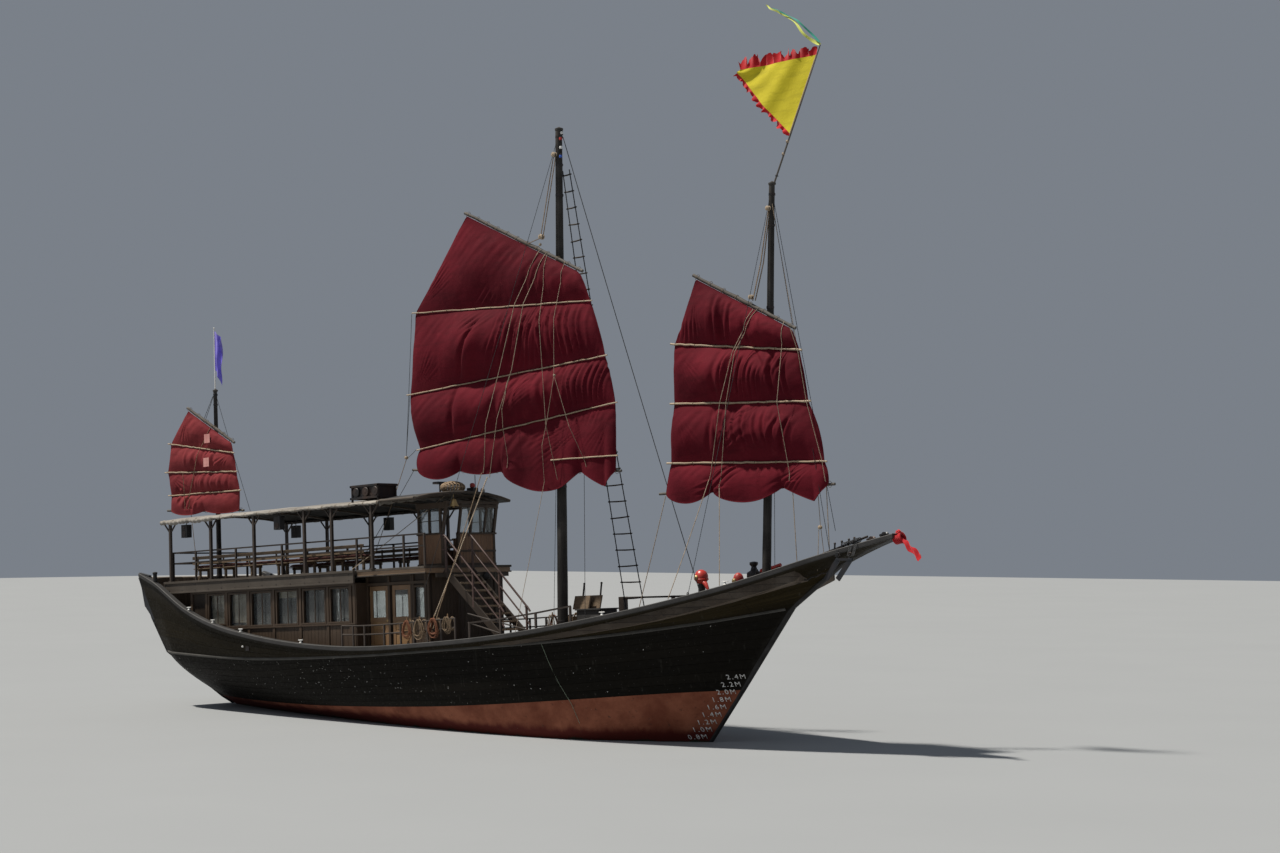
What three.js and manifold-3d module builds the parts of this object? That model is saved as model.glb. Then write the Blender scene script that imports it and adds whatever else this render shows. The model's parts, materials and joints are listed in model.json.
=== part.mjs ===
// A three-masted wooden junk, afloat. Millimetres, +X to the bow, +Y to port, +Z up.
// The origin is on the centreline at the waterline, amidships.
// The ship is drawn with level decks and then turned by the trim at which she floats.
import * as THREE from 'three';
import { mergeVertices } from 'three/addons/utils/BufferGeometryUtils.js';
import Module from 'manifold-3d';

const wasm = await Module();
wasm.setup();

// Driving dimensions
const TRIM = THREE.MathUtils.degToRad(3);   // bow up
const GAP = 0.6;                            // between pieces that touch
const BULWARK = 110;                        // thickness of the planking above the deck
const CAP_WIDTH = 210;
const CAP_HEIGHT = 130;
const CABIN_TOP = 4360;
const UPPER_DECK = 4720;
const WALL = 80;
const CABIN_HALF = 2420;                    // aft deckhouse, to the outer face
const FORWARD_HALF = 2000;                  // forward cabin, to the outer face
const CABIN_AFT = -11500;
const CABIN_STEP = -3500;
const CABIN_FRONT = -750;
const PORT_STEP = -2460;                     // forward of it the cabin's port side is set in
const NARROW_HALF = 1000;                    // that set-in side, to the outer face
const AWNING_EDGE = 6740;
const AWNING_CROWN = 6930;

// Colours, roughness and metalness
const MATERIALS = {
  planks: [0x2a211a, 0.75, 0],
  cap: [0x3a332c, 0.8, 0],
  darkWood: [0x3b2f22, 0.75, 0],
  warmWood: [0x8a5a26, 0.6, 0],
  deckWood: [0x7a6248, 0.8, 0],
  glass: [0x8fa7ad, 0.1, 0],
  sail: [0x6d0f18, 0.85, 0],
  canvas: [0xcdbb98, 0.9, 0],
  cushion: [0x6a2a26, 0.9, 0],
  spar: [0x4a3a2c, 0.7, 0],
  rope: [0xa08f72, 0.9, 0],
  iron: [0x202224, 0.5, 0.6],
  bronze: [0xa97a3a, 0.35, 0.9],
  yellowFlag: [0xf0d21a, 0.8, 0],
  purpleFlag: [0x3a1690, 0.8, 0],
};

// Lines of the hull from the stern to the stem. Columns: x, half-breadth y, z.
const HULL_LINES = {
  keel: [[-10900, 90, -1330], [-4000, 120, -1250], [3000, 120, -1150], [6600, 100, -1100], [7450, 60, -1060]],
  tuck: [[-10900, 140, -100], [-8000, 300, -550], [-4000, 850, -800], [0, 1300, -900], [3000, 1350, -880],
    [5500, 850, -850], [7600, 70, -800]],
  bilge: [[-12250, 200, 700], [-9670, 770, 510], [-6690, 1300, 330], [-2220, 2020, 100], [1360, 2250, -50],
    [4280, 2020, -200], [6310, 1100, -330], [7930, 60, -420]],
  boot: [[-12450, 500, 950], [-9300, 1550, 830], [-5900, 2200, 720], [-3000, 2520, 690], [0, 2660, 700],
    [2100, 2620, 750], [4300, 2320, 830], [7400, 1100, 950], [9130, 60, 980]],
  strake: [[-13300, 2050, 2500], [-12400, 2440, 2420], [-8000, 2800, 2180], [-3200, 2980, 2190],
    [300, 2970, 2290], [5000, 2520, 2470], [8500, 1450, 2760], [10900, 60, 3100]],
  upper: [[-13600, 2400, 3600], [-12500, 2690, 3500], [-9500, 2930, 2850], [-5900, 3000, 2370],
    [-2900, 3060, 2270], [400, 3050, 2350], [3000, 2860, 2480], [5500, 2520, 2690], [8000, 1850, 3030],
    [10500, 950, 3500], [12600, 70, 4200]],
  cap: [[-13950, 2640, 5090], [-12900, 2770, 4720], [-11300, 2890, 3890], [-9860, 2970, 3380],
    [-8300, 3030, 3030], [-5840, 3050, 2670], [-2900, 3110, 2480], [420, 3090, 2550], [3030, 2970, 2700],
    [5050, 2770, 2920], [7670, 2290, 3310], [10070, 1570, 3810], [12360, 750, 4440], [14250, 150, 4880]],
};
// The weather deck on the centreline. Columns: x, z.
const DECK_LINE = [[-12950, 3400], [-12200, 2900], [-11500, 2450], [-10500, 2330], [-9000, 2210],
  [-3000, 2150], [1000, 2250], [4000, 2450], [7500, 2850], [10000, 3350], [11700, 3800]];
const POOP_DECK = 4520;                     // the short deck over the stern
const POOP_AFT = -13750;
const DECK_AFT = -12950;
const DECK_FORE = 11650;
const HULL_STATIONS = 26;
const DECK_STEP = 0.004;                    // share of the length in which a deck steps up or down
const GIRTH_STEPS = 2;

// The value of a line at x: each span is a cubic with the slopes of its neighbours
function along(points, x, column) {
  const last = points.length - 1;
  if (x <= points[0][0]) return points[0][column];
  if (x >= points[last][0]) return points[last][column];
  let i = 0;
  while (points[i + 1][0] < x) i += 1;
  const slope = (k) => {
    const a = points[Math.max(k - 1, 0)];
    const b = points[Math.min(k + 1, last)];
    return (b[column] - a[column]) / (b[0] - a[0]);
  };
  const [p, q] = [points[i], points[i + 1]];
  const span = q[0] - p[0];
  const t = (x - p[0]) / span;
  const [t2, t3] = [t * t, t * t * t];
  return (2 * t3 - 3 * t2 + 1) * p[column] + (t3 - 2 * t2 + t) * span * slope(i)
    + (3 * t2 - 2 * t3) * q[column] + (t3 - t2) * span * slope(i + 1);
}

// A point at the share s of a line's length in x
function linePoint(points, s) {
  const x = THREE.MathUtils.lerp(points[0][0], points[points.length - 1][0], s);
  return [x, along(points, x, 1), along(points, x, 2)];
}

const stationX = (i) => THREE.MathUtils.lerp(DECK_AFT, DECK_FORE, i / HULL_STATIONS);

// The height of the weather deck, which is straight from one station to the next
function deckHeight(x) {
  const place = (x - DECK_AFT) / (DECK_FORE - DECK_AFT) * HULL_STATIONS;
  const i = THREE.MathUtils.clamp(Math.floor(place), 0, HULL_STATIONS - 1);
  const at = (k) => along(DECK_LINE, stationX(k), 1);
  return THREE.MathUtils.lerp(at(i), at(i + 1), place - i);
}

// The line [x, z] a little above the deck from one x to another
function aboveDeck(from, to, gap) {
  const xs = [from, to];
  for (let i = 0; i <= HULL_STATIONS; i += 1) if (stationX(i) > from && stationX(i) < to) xs.push(stationX(i));
  return xs.sort((a, b) => a - b).map((x) => [x, deckHeight(x) + gap]);
}

// The half-breadth of the planking at a place, from the lines and the profile that joins their ends
function breadthAt(x, z) {
  const lines = Object.values(HULL_LINES);
  const section = [];
  [lines.map((line) => line[0]), lines.map((line) => line[line.length - 1])].forEach((ends) => {
    for (let i = 1; i < ends.length; i += 1) {
      const [p, q] = [ends[i - 1], ends[i]];
      const t = (x - p[0]) / (q[0] - p[0] || 1);
      if (t > 0 && t <= 1) section.push([THREE.MathUtils.lerp(p[1], q[1], t), THREE.MathUtils.lerp(p[2], q[2], t)]);
    }
  });
  lines.filter((line) => x >= line[0][0] && x <= line[line.length - 1][0])
    .forEach((line) => section.push([along(line, x, 1), along(line, x, 2)]));
  section.sort((a, b) => a[1] - b[1]);
  let i = 0;
  while (i < section.length - 2 && section[i + 1][1] < z) i += 1;
  const [p, q] = [section[i], section[i + 1]];
  return THREE.MathUtils.lerp(p[0], q[0], THREE.MathUtils.clamp((z - p[1]) / (q[1] - p[1]), 0, 1));
}

// Solids

function geometryOf(positions, triangles) {
  const geometry = new THREE.BufferGeometry();
  geometry.setAttribute('position', new THREE.Float32BufferAttribute(positions.flat(), 3));
  geometry.setIndex(triangles.flat());
  return geometry;
}

// The triangles that close a flat ring
function flatEnd(ring) {
  const points = ring.map((p) => new THREE.Vector3(...p));
  const normal = points.reduce((n, p, j) => n.add(
    new THREE.Vector3().crossVectors(p, points[(j + 1) % points.length])), new THREE.Vector3()).normalize();
  const spin = new THREE.Quaternion().setFromUnitVectors(normal, new THREE.Vector3(0, 0, 1));
  const flat = points.map((p) => p.clone().applyQuaternion(spin));
  return THREE.ShapeUtils.triangulateShape(flat.map((p) => new THREE.Vector2(p.x, p.y)), []);
}

// A closed body through rings of points, its two ends closed by the triangles that endOf gives
function loft(rings, endOf = flatEnd) {
  const count = rings[0].length;
  const triangles = [];
  for (let i = 0; i + 1 < rings.length; i += 1) {
    for (let j = 0; j < count; j += 1) {
      const k = (j + 1) % count;
      const [a, b, c, d] = [i * count + j, i * count + k, (i + 1) * count + k, (i + 1) * count + j];
      triangles.push([a, b, c], [a, c, d]);
    }
  }
  const last = (rings.length - 1) * count;
  endOf(rings[0]).forEach(([a, b, c]) => triangles.push([a, c, b]));
  endOf(rings[rings.length - 1]).forEach(([a, b, c]) => triangles.push([last + a, last + b, last + c]));
  return outward(geometryOf(rings.flat(), triangles));
}

// Turns every face round when the body's volume comes out negative
function outward(geometry) {
  const p = geometry.attributes.position;
  const index = geometry.index.array;
  let volume = 0;
  const [a, b, c] = [new THREE.Vector3(), new THREE.Vector3(), new THREE.Vector3()];
  for (let i = 0; i < index.length; i += 3) {
    a.fromBufferAttribute(p, index[i]);
    b.fromBufferAttribute(p, index[i + 1]);
    c.fromBufferAttribute(p, index[i + 2]);
    volume += a.dot(b.cross(c));
  }
  if (volume < 0) {
    for (let i = 0; i < index.length; i += 3) [index[i], index[i + 1]] = [index[i + 1], index[i]];
  }
  return geometry;
}

function solidOf(geometry) {
  const clean = geometry.clone();
  clean.deleteAttribute('normal');
  clean.deleteAttribute('uv');
  const merged = mergeVertices(clean, 0.01);
  return new wasm.Manifold(new wasm.Mesh({
    numProp: 3,
    vertProperties: new Float32Array(merged.attributes.position.array),
    triVerts: new Uint32Array(merged.index.array),
  }));
}

function geometryFrom(solid) {
  const mesh = solid.getMesh();
  const geometry = new THREE.BufferGeometry();
  geometry.setAttribute('position', new THREE.BufferAttribute(new Float32Array(mesh.vertProperties), 3));
  geometry.setIndex(Array.from(mesh.triVerts));
  return geometry;
}

function join(geometries) {
  return geometryFrom(geometries.map(solidOf).reduce((all, next) => all.add(next)));
}

function cut(geometry, tools) {
  return geometryFrom(tools.map(solidOf).reduce((left, tool) => left.subtract(tool), solidOf(geometry)));
}

function box(low, high) {
  const [x, y, z] = [high[0] - low[0], high[1] - low[1], high[2] - low[2]];
  return new THREE.BoxGeometry(x, y, z)
    .translate((low[0] + high[0]) / 2, (low[1] + high[1]) / 2, (low[2] + high[2]) / 2);
}

// A round bar from p to q; its ends can differ in radius
function rod(p, q, radius, endRadius = radius, sides = 10) {
  const from = new THREE.Vector3(...p);
  const run = new THREE.Vector3(...q).sub(from);
  const geometry = new THREE.CylinderGeometry(endRadius, radius, run.length(), sides);
  geometry.translate(0, run.length() / 2, 0);
  geometry.applyQuaternion(new THREE.Quaternion().setFromUnitVectors(
    new THREE.Vector3(0, 1, 0), run.clone().normalize()));
  return geometry.translate(...p);
}

// A square bar from p to q, width across and height up
function bar(p, q, width, height = width) {
  const from = new THREE.Vector3(...p);
  const run = new THREE.Vector3(...q).sub(from);
  const ahead = run.clone().normalize();
  const level = Math.abs(ahead.z) > 0.99 ? new THREE.Vector3(0, 1, 0)
    : new THREE.Vector3(-ahead.y, ahead.x, 0).normalize();
  const up = new THREE.Vector3().crossVectors(ahead, level).normalize();
  const turn = new THREE.Matrix4().makeBasis(ahead, level, up);
  return new THREE.BoxGeometry(run.length(), width, height).translate(run.length() / 2, 0, 0)
    .applyMatrix4(turn).translate(...p);
}

// A flat panel in the XZ plane from y to y + thickness, its outline a list of [x, z]
function panelXZ(outline, y, thickness) {
  const shape = new THREE.Shape(outline.map(([x, z]) => new THREE.Vector2(x, z)));
  return new THREE.ExtrudeGeometry(shape, { depth: thickness, bevelEnabled: false })
    .rotateX(Math.PI / 2).translate(0, y + thickness, 0);
}

// A flat panel in the YZ plane from x to x + thickness, its outline a list of [y, z]
function panelYZ(outline, x, thickness) {
  const shape = new THREE.Shape(outline.map(([y, z]) => new THREE.Vector2(y, z)));
  return new THREE.ExtrudeGeometry(shape, { depth: thickness, bevelEnabled: false })
    .rotateX(Math.PI / 2).rotateZ(Math.PI / 2).translate(x, 0, 0);
}

// A panel along X with openings, each [x0, z0, x1, z1]
function wallXZ(outline, openings, y, thickness) {
  return cut(panelXZ(outline, y, thickness),
    openings.map(([a, b, c, d]) => box([a, y - 50, b], [c, y + thickness + 50, d])));
}

// An outline [x, z] that stands on the deck and is level on top
const onDeck = (from, to, top) => [...aboveDeck(from, to, GAP), [to, top], [from, top]];
const rectangle = (x0, z0, x1, z1) => [[x0, z0], [x1, z0], [x1, z1], [x0, z1]];

// A wall across the ship with openings, each [y0, z0, y1, z1]
function wallYZ([y0, z0, y1, z1], openings, x, thickness) {
  const wall = box([x, y0, z0], [x + thickness, y1, z1]);
  return cut(wall, openings.map(([a, b, c, d]) => box([x - 50, a, b], [x + thickness + 50, c, d])));
}

const mirrored = (geometry) => {
  const copy = geometry.clone().scale(1, -1, 1);
  const index = copy.index ? copy.index.array : null;
  if (index) {
    for (let i = 0; i < index.length; i += 3) [index[i], index[i + 1]] = [index[i + 1], index[i]];
    return copy;
  }
  const p = copy.attributes.position.array;
  for (let i = 0; i < p.length; i += 9) {
    for (let k = 0; k < 3; k += 1) [p[i + k], p[i + 3 + k]] = [p[i + 3 + k], p[i + k]];
  }
  return copy;
};

const ship = new THREE.Group();
ship.rotation.y = -TRIM;

function add(name, geometry, material) {
  const [color, roughness, metalness] = MATERIALS[material];
  const mesh = new THREE.Mesh(geometry, new THREE.MeshStandardMaterial({ color, roughness, metalness }));
  mesh.name = name;
  ship.add(mesh);
  return mesh;
}

// Hull: planking to the bulwark's top, the deck let down inside it, transom and stem
function hullRing(s, deckAt) {
  const lines = Object.values(HULL_LINES).map((line) => linePoint(line, s));
  lines[lines.length - 1][2] -= CAP_HEIGHT;
  const side = [];
  lines.forEach((point, i) => {
    if (i > 0) {
      const before = lines[i - 1];
      for (let k = 1; k < GIRTH_STEPS; k += 1) {
        const t = k / GIRTH_STEPS;
        const bulge = Math.sin(Math.PI * t) * 0.03 * (point[2] - before[2]);
        side.push([
          THREE.MathUtils.lerp(before[0], point[0], t),
          THREE.MathUtils.lerp(before[1], point[1], t) + (point[1] > 150 ? bulge : 0),
          THREE.MathUtils.lerp(before[2], point[2], t),
        ]);
      }
    }
    side.push(point);
  });
  const [x, y, z] = side[side.length - 1];
  const inner = Math.min(y - BULWARK, y * 0.6);
  const deckZ = deckAt === null ? z : deckAt(x);
  const insideTop = deckAt === null ? [x, inner, z] : [x, y - BULWARK, z];
  const atDeck = Math.min(y, breadthAt(x, deckZ)) - BULWARK;
  const insideDeck = deckAt === null ? [x, inner * 0.6, z] : [x, atDeck, deckZ];
  const half = [...side, insideTop, insideDeck];
  const other = half.map(([px, py, pz]) => [px, -py, pz]).reverse();
  return [...half, ...other];
}

// The ends of the hull, closed across from each point of one side to its mirror image
function hullEnd(ring) {
  const half = ring.length / 2;
  const across = (j) => ring.length - 1 - j;
  const shoulder = half - 4;     // the last point of the side below the flat top
  const triangles = [];
  for (let j = 0; j < shoulder; j += 1) {
    triangles.push([j, j + 1, across(j + 1)], [j, across(j + 1), across(j)]);
  }
  for (let j = shoulder + 1; j < across(shoulder); j += 1) triangles.push([shoulder, j, j + 1]);
  return triangles;
}

// The stations of the hull and of its cap. Columns: share of the length, the deck's height there or
// null where the hull is solid to the top
function stations() {
  const cap = HULL_LINES.cap;
  const share = (x) => (x - cap[0][0]) / (cap[cap.length - 1][0] - cap[0][0]);
  const poopDeck = () => POOP_DECK;
  const [poop, aft, fore] = [share(POOP_AFT), share(DECK_AFT), share(DECK_FORE)];
  const rows = [[0, null], [poop - DECK_STEP, null], [poop, poopDeck], [aft - DECK_STEP, poopDeck]];
  for (let i = 0; i <= HULL_STATIONS; i += 1) rows.push([share(stationX(i)), deckHeight]);
  rows.push([fore + DECK_STEP, null]);
  for (let i = 1; i <= 4; i += 1) rows.push([THREE.MathUtils.lerp(fore, 1, i / 4), null]);
  return rows;
}

function hull() {
  return loft(stations().map(([share, deckAt]) => hullRing(share, deckAt)), hullEnd);
}

// The rail on top of the bulwark, port side
function capRail() {
  return loft(stations().map(([share]) => {
    const [x, y, z] = linePoint(HULL_LINES.cap, share);
    const half = Math.min(CAP_WIDTH / 2, y - 6);
    const centre = Math.max(y - BULWARK / 2, half + 2);
    const low = z - CAP_HEIGHT + GAP;
    return [[x, centre - half, low], [x, centre + half, low], [x, centre + half, z], [x, centre - half, z]];
  }));
}

// Rudder and propeller on the centreline; columns of the blade outline: x, z
const RUDDER_AXIS = -11800;
const RUDDER = [[-11640, -1230], [-12650, -1180], [-12720, 150], [-11640, 150]];
const PROPELLER = { x: -11180, z: -620, radius: 520, hub: 95, blades: 4 };

function rudder() {
  return join([
    panelXZ(RUDDER, -45, 90),
    rod([RUDDER_AXIS, 0, -1250], [RUDDER_AXIS, 0, 250], 70),
  ]);
}

function rudderHeel() {
  return join([
    box([-12000, -70, -1370], [-10900 - GAP, 70, -1290]),
  ]);
}

function propeller() {
  const { x, z, radius, hub, blades } = PROPELLER;
  const pieces = [rod([x - 140, 0, z], [x + 250, 0, z], hub, hub * 0.8, 12)];
  for (let i = 0; i < blades; i += 1) {
    const blade = new THREE.Shape();
    blade.moveTo(-70, 60);
    blade.bezierCurveTo(-220, 260, -230, 480, 0, radius);
    blade.bezierCurveTo(230, 480, 220, 260, 70, 60);
    const flat = new THREE.ExtrudeGeometry(blade, { depth: 24, bevelEnabled: false, curveSegments: 5 });
    flat.translate(0, 0, -12).rotateY(Math.PI / 2 - 0.5);
    flat.rotateX((i / blades) * Math.PI * 2).translate(x, 0, z);
    pieces.push(flat);
  }
  return join(pieces);
}

add('hull', hull(), 'planks');
add('cap_rail_port', capRail(), 'cap');
add('cap_rail_starboard', mirrored(capRail()), 'cap');
add('rudder', rudder(), 'planks');
add('rudder_heel', rudderHeel(), 'iron');
add('propeller', propeller(), 'bronze');

// Aft deckhouse. Columns of its windows: aft edge x, fore edge x, sill z, head z
const CABIN_WINDOWS = [
  [-10550, -9750, 3300, 4220], [-9500, -8640, 3220, 4220], [-8400, -7440, 3220, 4220],
  [-7170, -6190, 3220, 4220], [-5900, -4900, 3220, 4220], [-4640, -3800, 3220, 4220],
];
const FORWARD_DOORS = [[-3380, -2560], [-2400, -1580]];   // openings from x to x
const DOOR_BOTTOM = 2260;
const DOOR_TOP = 4240;
const FORWARD_WINDOW = [-1380, -960, 3250, 4150];
const FORWARD_CEILING = UPPER_DECK - 190;

function cabinSide() {
  return wallXZ(onDeck(CABIN_AFT, CABIN_STEP, CABIN_TOP - GAP),
    CABIN_WINDOWS.map(([a, b, sill, head]) => [a, sill, b, head]), CABIN_HALF - WALL, WALL);
}

function cabinGlass() {
  const first = CABIN_WINDOWS[0][0] - 60;
  const last = CABIN_WINDOWS[CABIN_WINDOWS.length - 1][1] + 60;
  return box([first, CABIN_HALF - WALL - 12, 3160], [last, CABIN_HALF - WALL - GAP, 4280]);
}

function cabinAft() {
  return box([CABIN_AFT, -CABIN_HALF + WALL + GAP, deckHeight(CABIN_AFT) + GAP],
    [CABIN_AFT + WALL, CABIN_HALF - WALL - GAP, CABIN_TOP - GAP]);
}

// The short walls that close the step between the two widths
function cabinReturn() {
  return box([CABIN_STEP - WALL, FORWARD_HALF - WALL, deckHeight(CABIN_STEP - WALL) + GAP],
    [CABIN_STEP - GAP, CABIN_HALF - WALL - GAP, CABIN_TOP - GAP]);
}

// A length of the forward cabin's side, on its port face at y, with the openings that fall in it
function forwardWall(from, to, face) {
  const [a, b, sill, head] = FORWARD_WINDOW;
  const holes = [[a, sill, b, head], ...FORWARD_DOORS.map(([x0, x1]) => [x0, DOOR_BOTTOM, x1, DOOR_TOP])];
  const inside = holes.filter(([x0, , x1]) => x0 > from && x1 < to);
  return wallXZ(onDeck(from, to, FORWARD_CEILING - GAP), inside, face - WALL, WALL);
}

// The port side: the aft door in the wide length, then a step in to the narrow one
function forwardPort() {
  const stepLow = Math.max(deckHeight(PORT_STEP - WALL), deckHeight(PORT_STEP)) + GAP;
  return join([
    forwardWall(CABIN_STEP + GAP, PORT_STEP, FORWARD_HALF),
    box([PORT_STEP - WALL, NARROW_HALF - WALL, stepLow],
      [PORT_STEP, FORWARD_HALF - WALL / 2, FORWARD_CEILING - GAP]),
    forwardWall(PORT_STEP - WALL / 2, CABIN_FRONT, NARROW_HALF),
  ]);
}

function forwardFront() {
  return box([CABIN_FRONT - WALL, -FORWARD_HALF + WALL + GAP, deckHeight(CABIN_FRONT) + GAP],
    [CABIN_FRONT, NARROW_HALF - WALL - GAP, FORWARD_CEILING - GAP]);
}

// A leaf with a window above and a solid panel below, in an opening of the side whose port face is at y
function doorLeaf([from, to], face) {
  const [low, high] = [DOOR_BOTTOM + 8, DOOR_TOP - 8];
  return wallXZ(rectangle(from + 8, low, to - 8, high), [[from + 130, 3300, to - 130, 4090]], face - 60, 45);
}

add('cabin_side_port', cabinSide(), 'darkWood');
add('cabin_side_starboard', mirrored(cabinSide()), 'darkWood');
add('cabin_glass_port', cabinGlass(), 'glass');
add('cabin_glass_starboard', mirrored(cabinGlass()), 'glass');
add('cabin_aft_wall', cabinAft(), 'darkWood');
add('cabin_return_port', cabinReturn(), 'darkWood');
add('cabin_return_starboard', mirrored(cabinReturn()), 'darkWood');
add('forward_side_port', forwardPort(), 'darkWood');
add('forward_side_starboard', mirrored(forwardWall(CABIN_STEP + GAP, CABIN_FRONT, FORWARD_HALF)), 'darkWood');
add('forward_front_wall', forwardFront(), 'darkWood');
FORWARD_DOORS.forEach((door, i) => {
  add(`door_port_${i + 1}`, doorLeaf(door, door[0] < PORT_STEP ? FORWARD_HALF : NARROW_HALF), 'warmWood');
  add(`door_starboard_${i + 1}`, mirrored(doorLeaf(door, FORWARD_HALF)), 'warmWood');
});

// Upper deck: a wide part with deep edge boards over the deckhouse and a narrower one before it
const UPPER_HALF = 2560;
const UPPER_FORE_HALF = 2400;
const UPPER_AFT_END = -12700;
const UPPER_STEP = -3450;
const UPPER_FRONT = -500;
const UPPER_PORT_EDGE = 1130;               // port edge of the length over the narrow side

function upperDeckAft() {
  const section = [[-UPPER_HALF, 4360], [-UPPER_HALF + 70, 4360], [-UPPER_HALF + 70, 4600],
    [UPPER_HALF - 70, 4600], [UPPER_HALF - 70, 4360], [UPPER_HALF, 4360], [UPPER_HALF, UPPER_DECK],
    [-UPPER_HALF, UPPER_DECK]];
  return panelYZ(section, UPPER_AFT_END, UPPER_STEP - UPPER_AFT_END - GAP);
}

function upperDeckFore() {
  return join([
    box([UPPER_STEP, -UPPER_FORE_HALF, FORWARD_CEILING], [PORT_STEP + 40, UPPER_FORE_HALF, UPPER_DECK]),
    box([UPPER_STEP, -UPPER_FORE_HALF, FORWARD_CEILING], [UPPER_FRONT, UPPER_PORT_EDGE, UPPER_DECK]),
  ]);
}

// Rails with two bars, joined to their posts. Posts stand at each x of a list.
const RAIL_TOP = 5680;
const RAIL_LOW = 5330;
const RAIL_POST = 55;
const RAIL_BAR = 45;
const STARBOARD_RAIL_POSTS = [-12560, -11310, -9250, -6980, -3500, -1440, -560];
const PORT_RAIL_POSTS = [-12560, -11310, -9250, -6980, -3500, -2500];
const SIDE_RAIL_Y = 2340;
const PORT_RAIL_END = 1190;                 // y where the length across the port step stops

function railPost(x, y) {
  return bar([x, y, UPPER_DECK + GAP], [x, y, RAIL_TOP], RAIL_POST);
}

function sideRail(posts) {
  const pieces = posts.map((x) => railPost(x, SIDE_RAIL_Y));
  const [first, last] = [posts[0] - RAIL_POST / 2, posts[posts.length - 1] + RAIL_POST / 2];
  [RAIL_TOP, RAIL_LOW].forEach((z) => pieces.push(bar([first, SIDE_RAIL_Y, z], [last, SIDE_RAIL_Y, z], RAIL_BAR)));
  return join(pieces);
}

function portRail() {
  const x = PORT_RAIL_POSTS[PORT_RAIL_POSTS.length - 1];
  const pieces = [sideRail(PORT_RAIL_POSTS), railPost(x, PORT_RAIL_END)];
  [RAIL_TOP, RAIL_LOW].forEach((z) => {
    pieces.push(bar([x, PORT_RAIL_END - RAIL_POST / 2, z], [x, SIDE_RAIL_Y, z], RAIL_BAR));
  });
  return join(pieces);
}

function aftRail() {
  const x = UPPER_AFT_END + 120;
  const half = SIDE_RAIL_Y - 60;
  const pieces = [-half, -half / 3, half / 3, half].map((y) => railPost(x, y));
  [RAIL_TOP, RAIL_LOW].forEach((z) => pieces.push(bar([x, -half - 20, z], [x, half + 20, z], RAIL_BAR)));
  return join(pieces);
}

// Benches along both sides of the upper deck with a cushion on each
const BENCH = { aft: -11600, fore: -3300, outer: 2230, inner: 1700, seat: 5130 };

function bench() {
  const { aft, fore, outer, inner, seat } = BENCH;
  const pieces = [box([aft, inner, seat - 50], [fore, outer, seat])];
  for (let x = aft + 200; x < fore; x += 1320) {
    pieces.push(box([x, inner + 60, UPPER_DECK + GAP], [x + 80, inner + 140, seat - 20]));
    pieces.push(box([x, outer - 140, UPPER_DECK + GAP], [x + 80, outer - 60, seat - 20]));
  }
  return join(pieces);
}

function benchCushion() {
  const { aft, fore, outer, inner, seat } = BENCH;
  return box([aft + 60, inner + 30, seat + GAP], [fore - 60, outer - 30, seat + 95]);
}

add('upper_deck_aft', upperDeckAft(), 'deckWood');
add('upper_deck_forward', upperDeckFore(), 'deckWood');
add('upper_rail_port', portRail(), 'spar');
add('upper_rail_starboard', mirrored(sideRail(STARBOARD_RAIL_POSTS)), 'spar');
add('upper_rail_aft', aftRail(), 'spar');
add('bench_port', bench(), 'warmWood');
add('bench_starboard', mirrored(bench()), 'warmWood');
add('cushion_port', benchCushion(), 'cushion');
add('cushion_starboard', mirrored(benchCushion()), 'cushion');

// Awning on posts outside the rail
const AWNING_POSTS = [-12500, -10380, -8200, -5770, -4500, -2700];
const AWNING_HALF = 2450;
const AWNING_AFT = -12900;
const AWNING_FRONT = -2340;
const POST_Y = 2440;

function awningSide() {
  const pieces = AWNING_POSTS.map((x) => bar([x, POST_Y, UPPER_DECK + GAP], [x, POST_Y, AWNING_EDGE - 40], 85));
  pieces.push(bar([AWNING_AFT + 60, POST_Y, AWNING_EDGE - 60], [AWNING_FRONT - 60, POST_Y, AWNING_EDGE - 60], 70));
  return join(pieces);
}

function awningHeight(y) {
  return THREE.MathUtils.lerp(AWNING_CROWN, AWNING_EDGE, (y / AWNING_HALF) ** 2);
}

// Arched beams from side to side under the canvas, tied by a ridge
function awningBeams() {
  const half = POST_Y - 50;
  const [depth, width] = [60, 60];
  const pieces = AWNING_POSTS.map((x) => {
    const rings = [-1, -0.66, -0.33, 0, 0.33, 0.66, 1].map((k) => {
      const y = k * half;
      const top = awningHeight(y) - 10;
      return [[x - width / 2, y, top - depth], [x + width / 2, y, top - depth], [x + width / 2, y, top],
        [x - width / 2, y, top]];
    });
    return loft(rings);
  });
  pieces.push(box([AWNING_AFT + 60, -35, AWNING_CROWN - 85], [AWNING_FRONT - 60, 35, AWNING_CROWN - 25]));
  return join(pieces);
}

function awningCanvas() {
  const rings = [];
  const steps = 10;
  const section = (x) => {
    const top = [];
    const low = [];
    for (let i = 0; i <= steps; i += 1) {
      const y = THREE.MathUtils.lerp(-AWNING_HALF - 60, AWNING_HALF + 60, i / steps);
      const z = awningHeight(y);
      top.push([x, y, z + 30]);
      low.unshift([x, y, z]);
    }
    return [...top, ...low];
  };
  [AWNING_AFT, AWNING_FRONT].forEach((x) => rings.push(section(x)));
  return loft(rings);
}

add('awning_frame_port', awningSide(), 'spar');
add('awning_frame_starboard', mirrored(awningSide()), 'spar');
add('awning_beams', awningBeams(), 'spar');
add('awning_canvas', awningCanvas(), 'canvas');

// Wheelhouse at the front of the upper deck; its walls lean forward above the sill
const HOUSE = { half: 1100, aft: -2150, front: -1080, head: 6640, wall: 70 };

function houseFront() {
  const { half, front, head, wall } = HOUSE;
  const [low, top] = [UPPER_DECK + GAP, head];
  const holes = [[-1000, UPPER_DECK + 60, -480, 6480], [-330, 5740, 20, 6480], [100, 5740, 580, 6480],
    [660, 5740, 1010, 6480]];
  return wallYZ([-half, low, half, top], holes, front - wall, wall);
}

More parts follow.
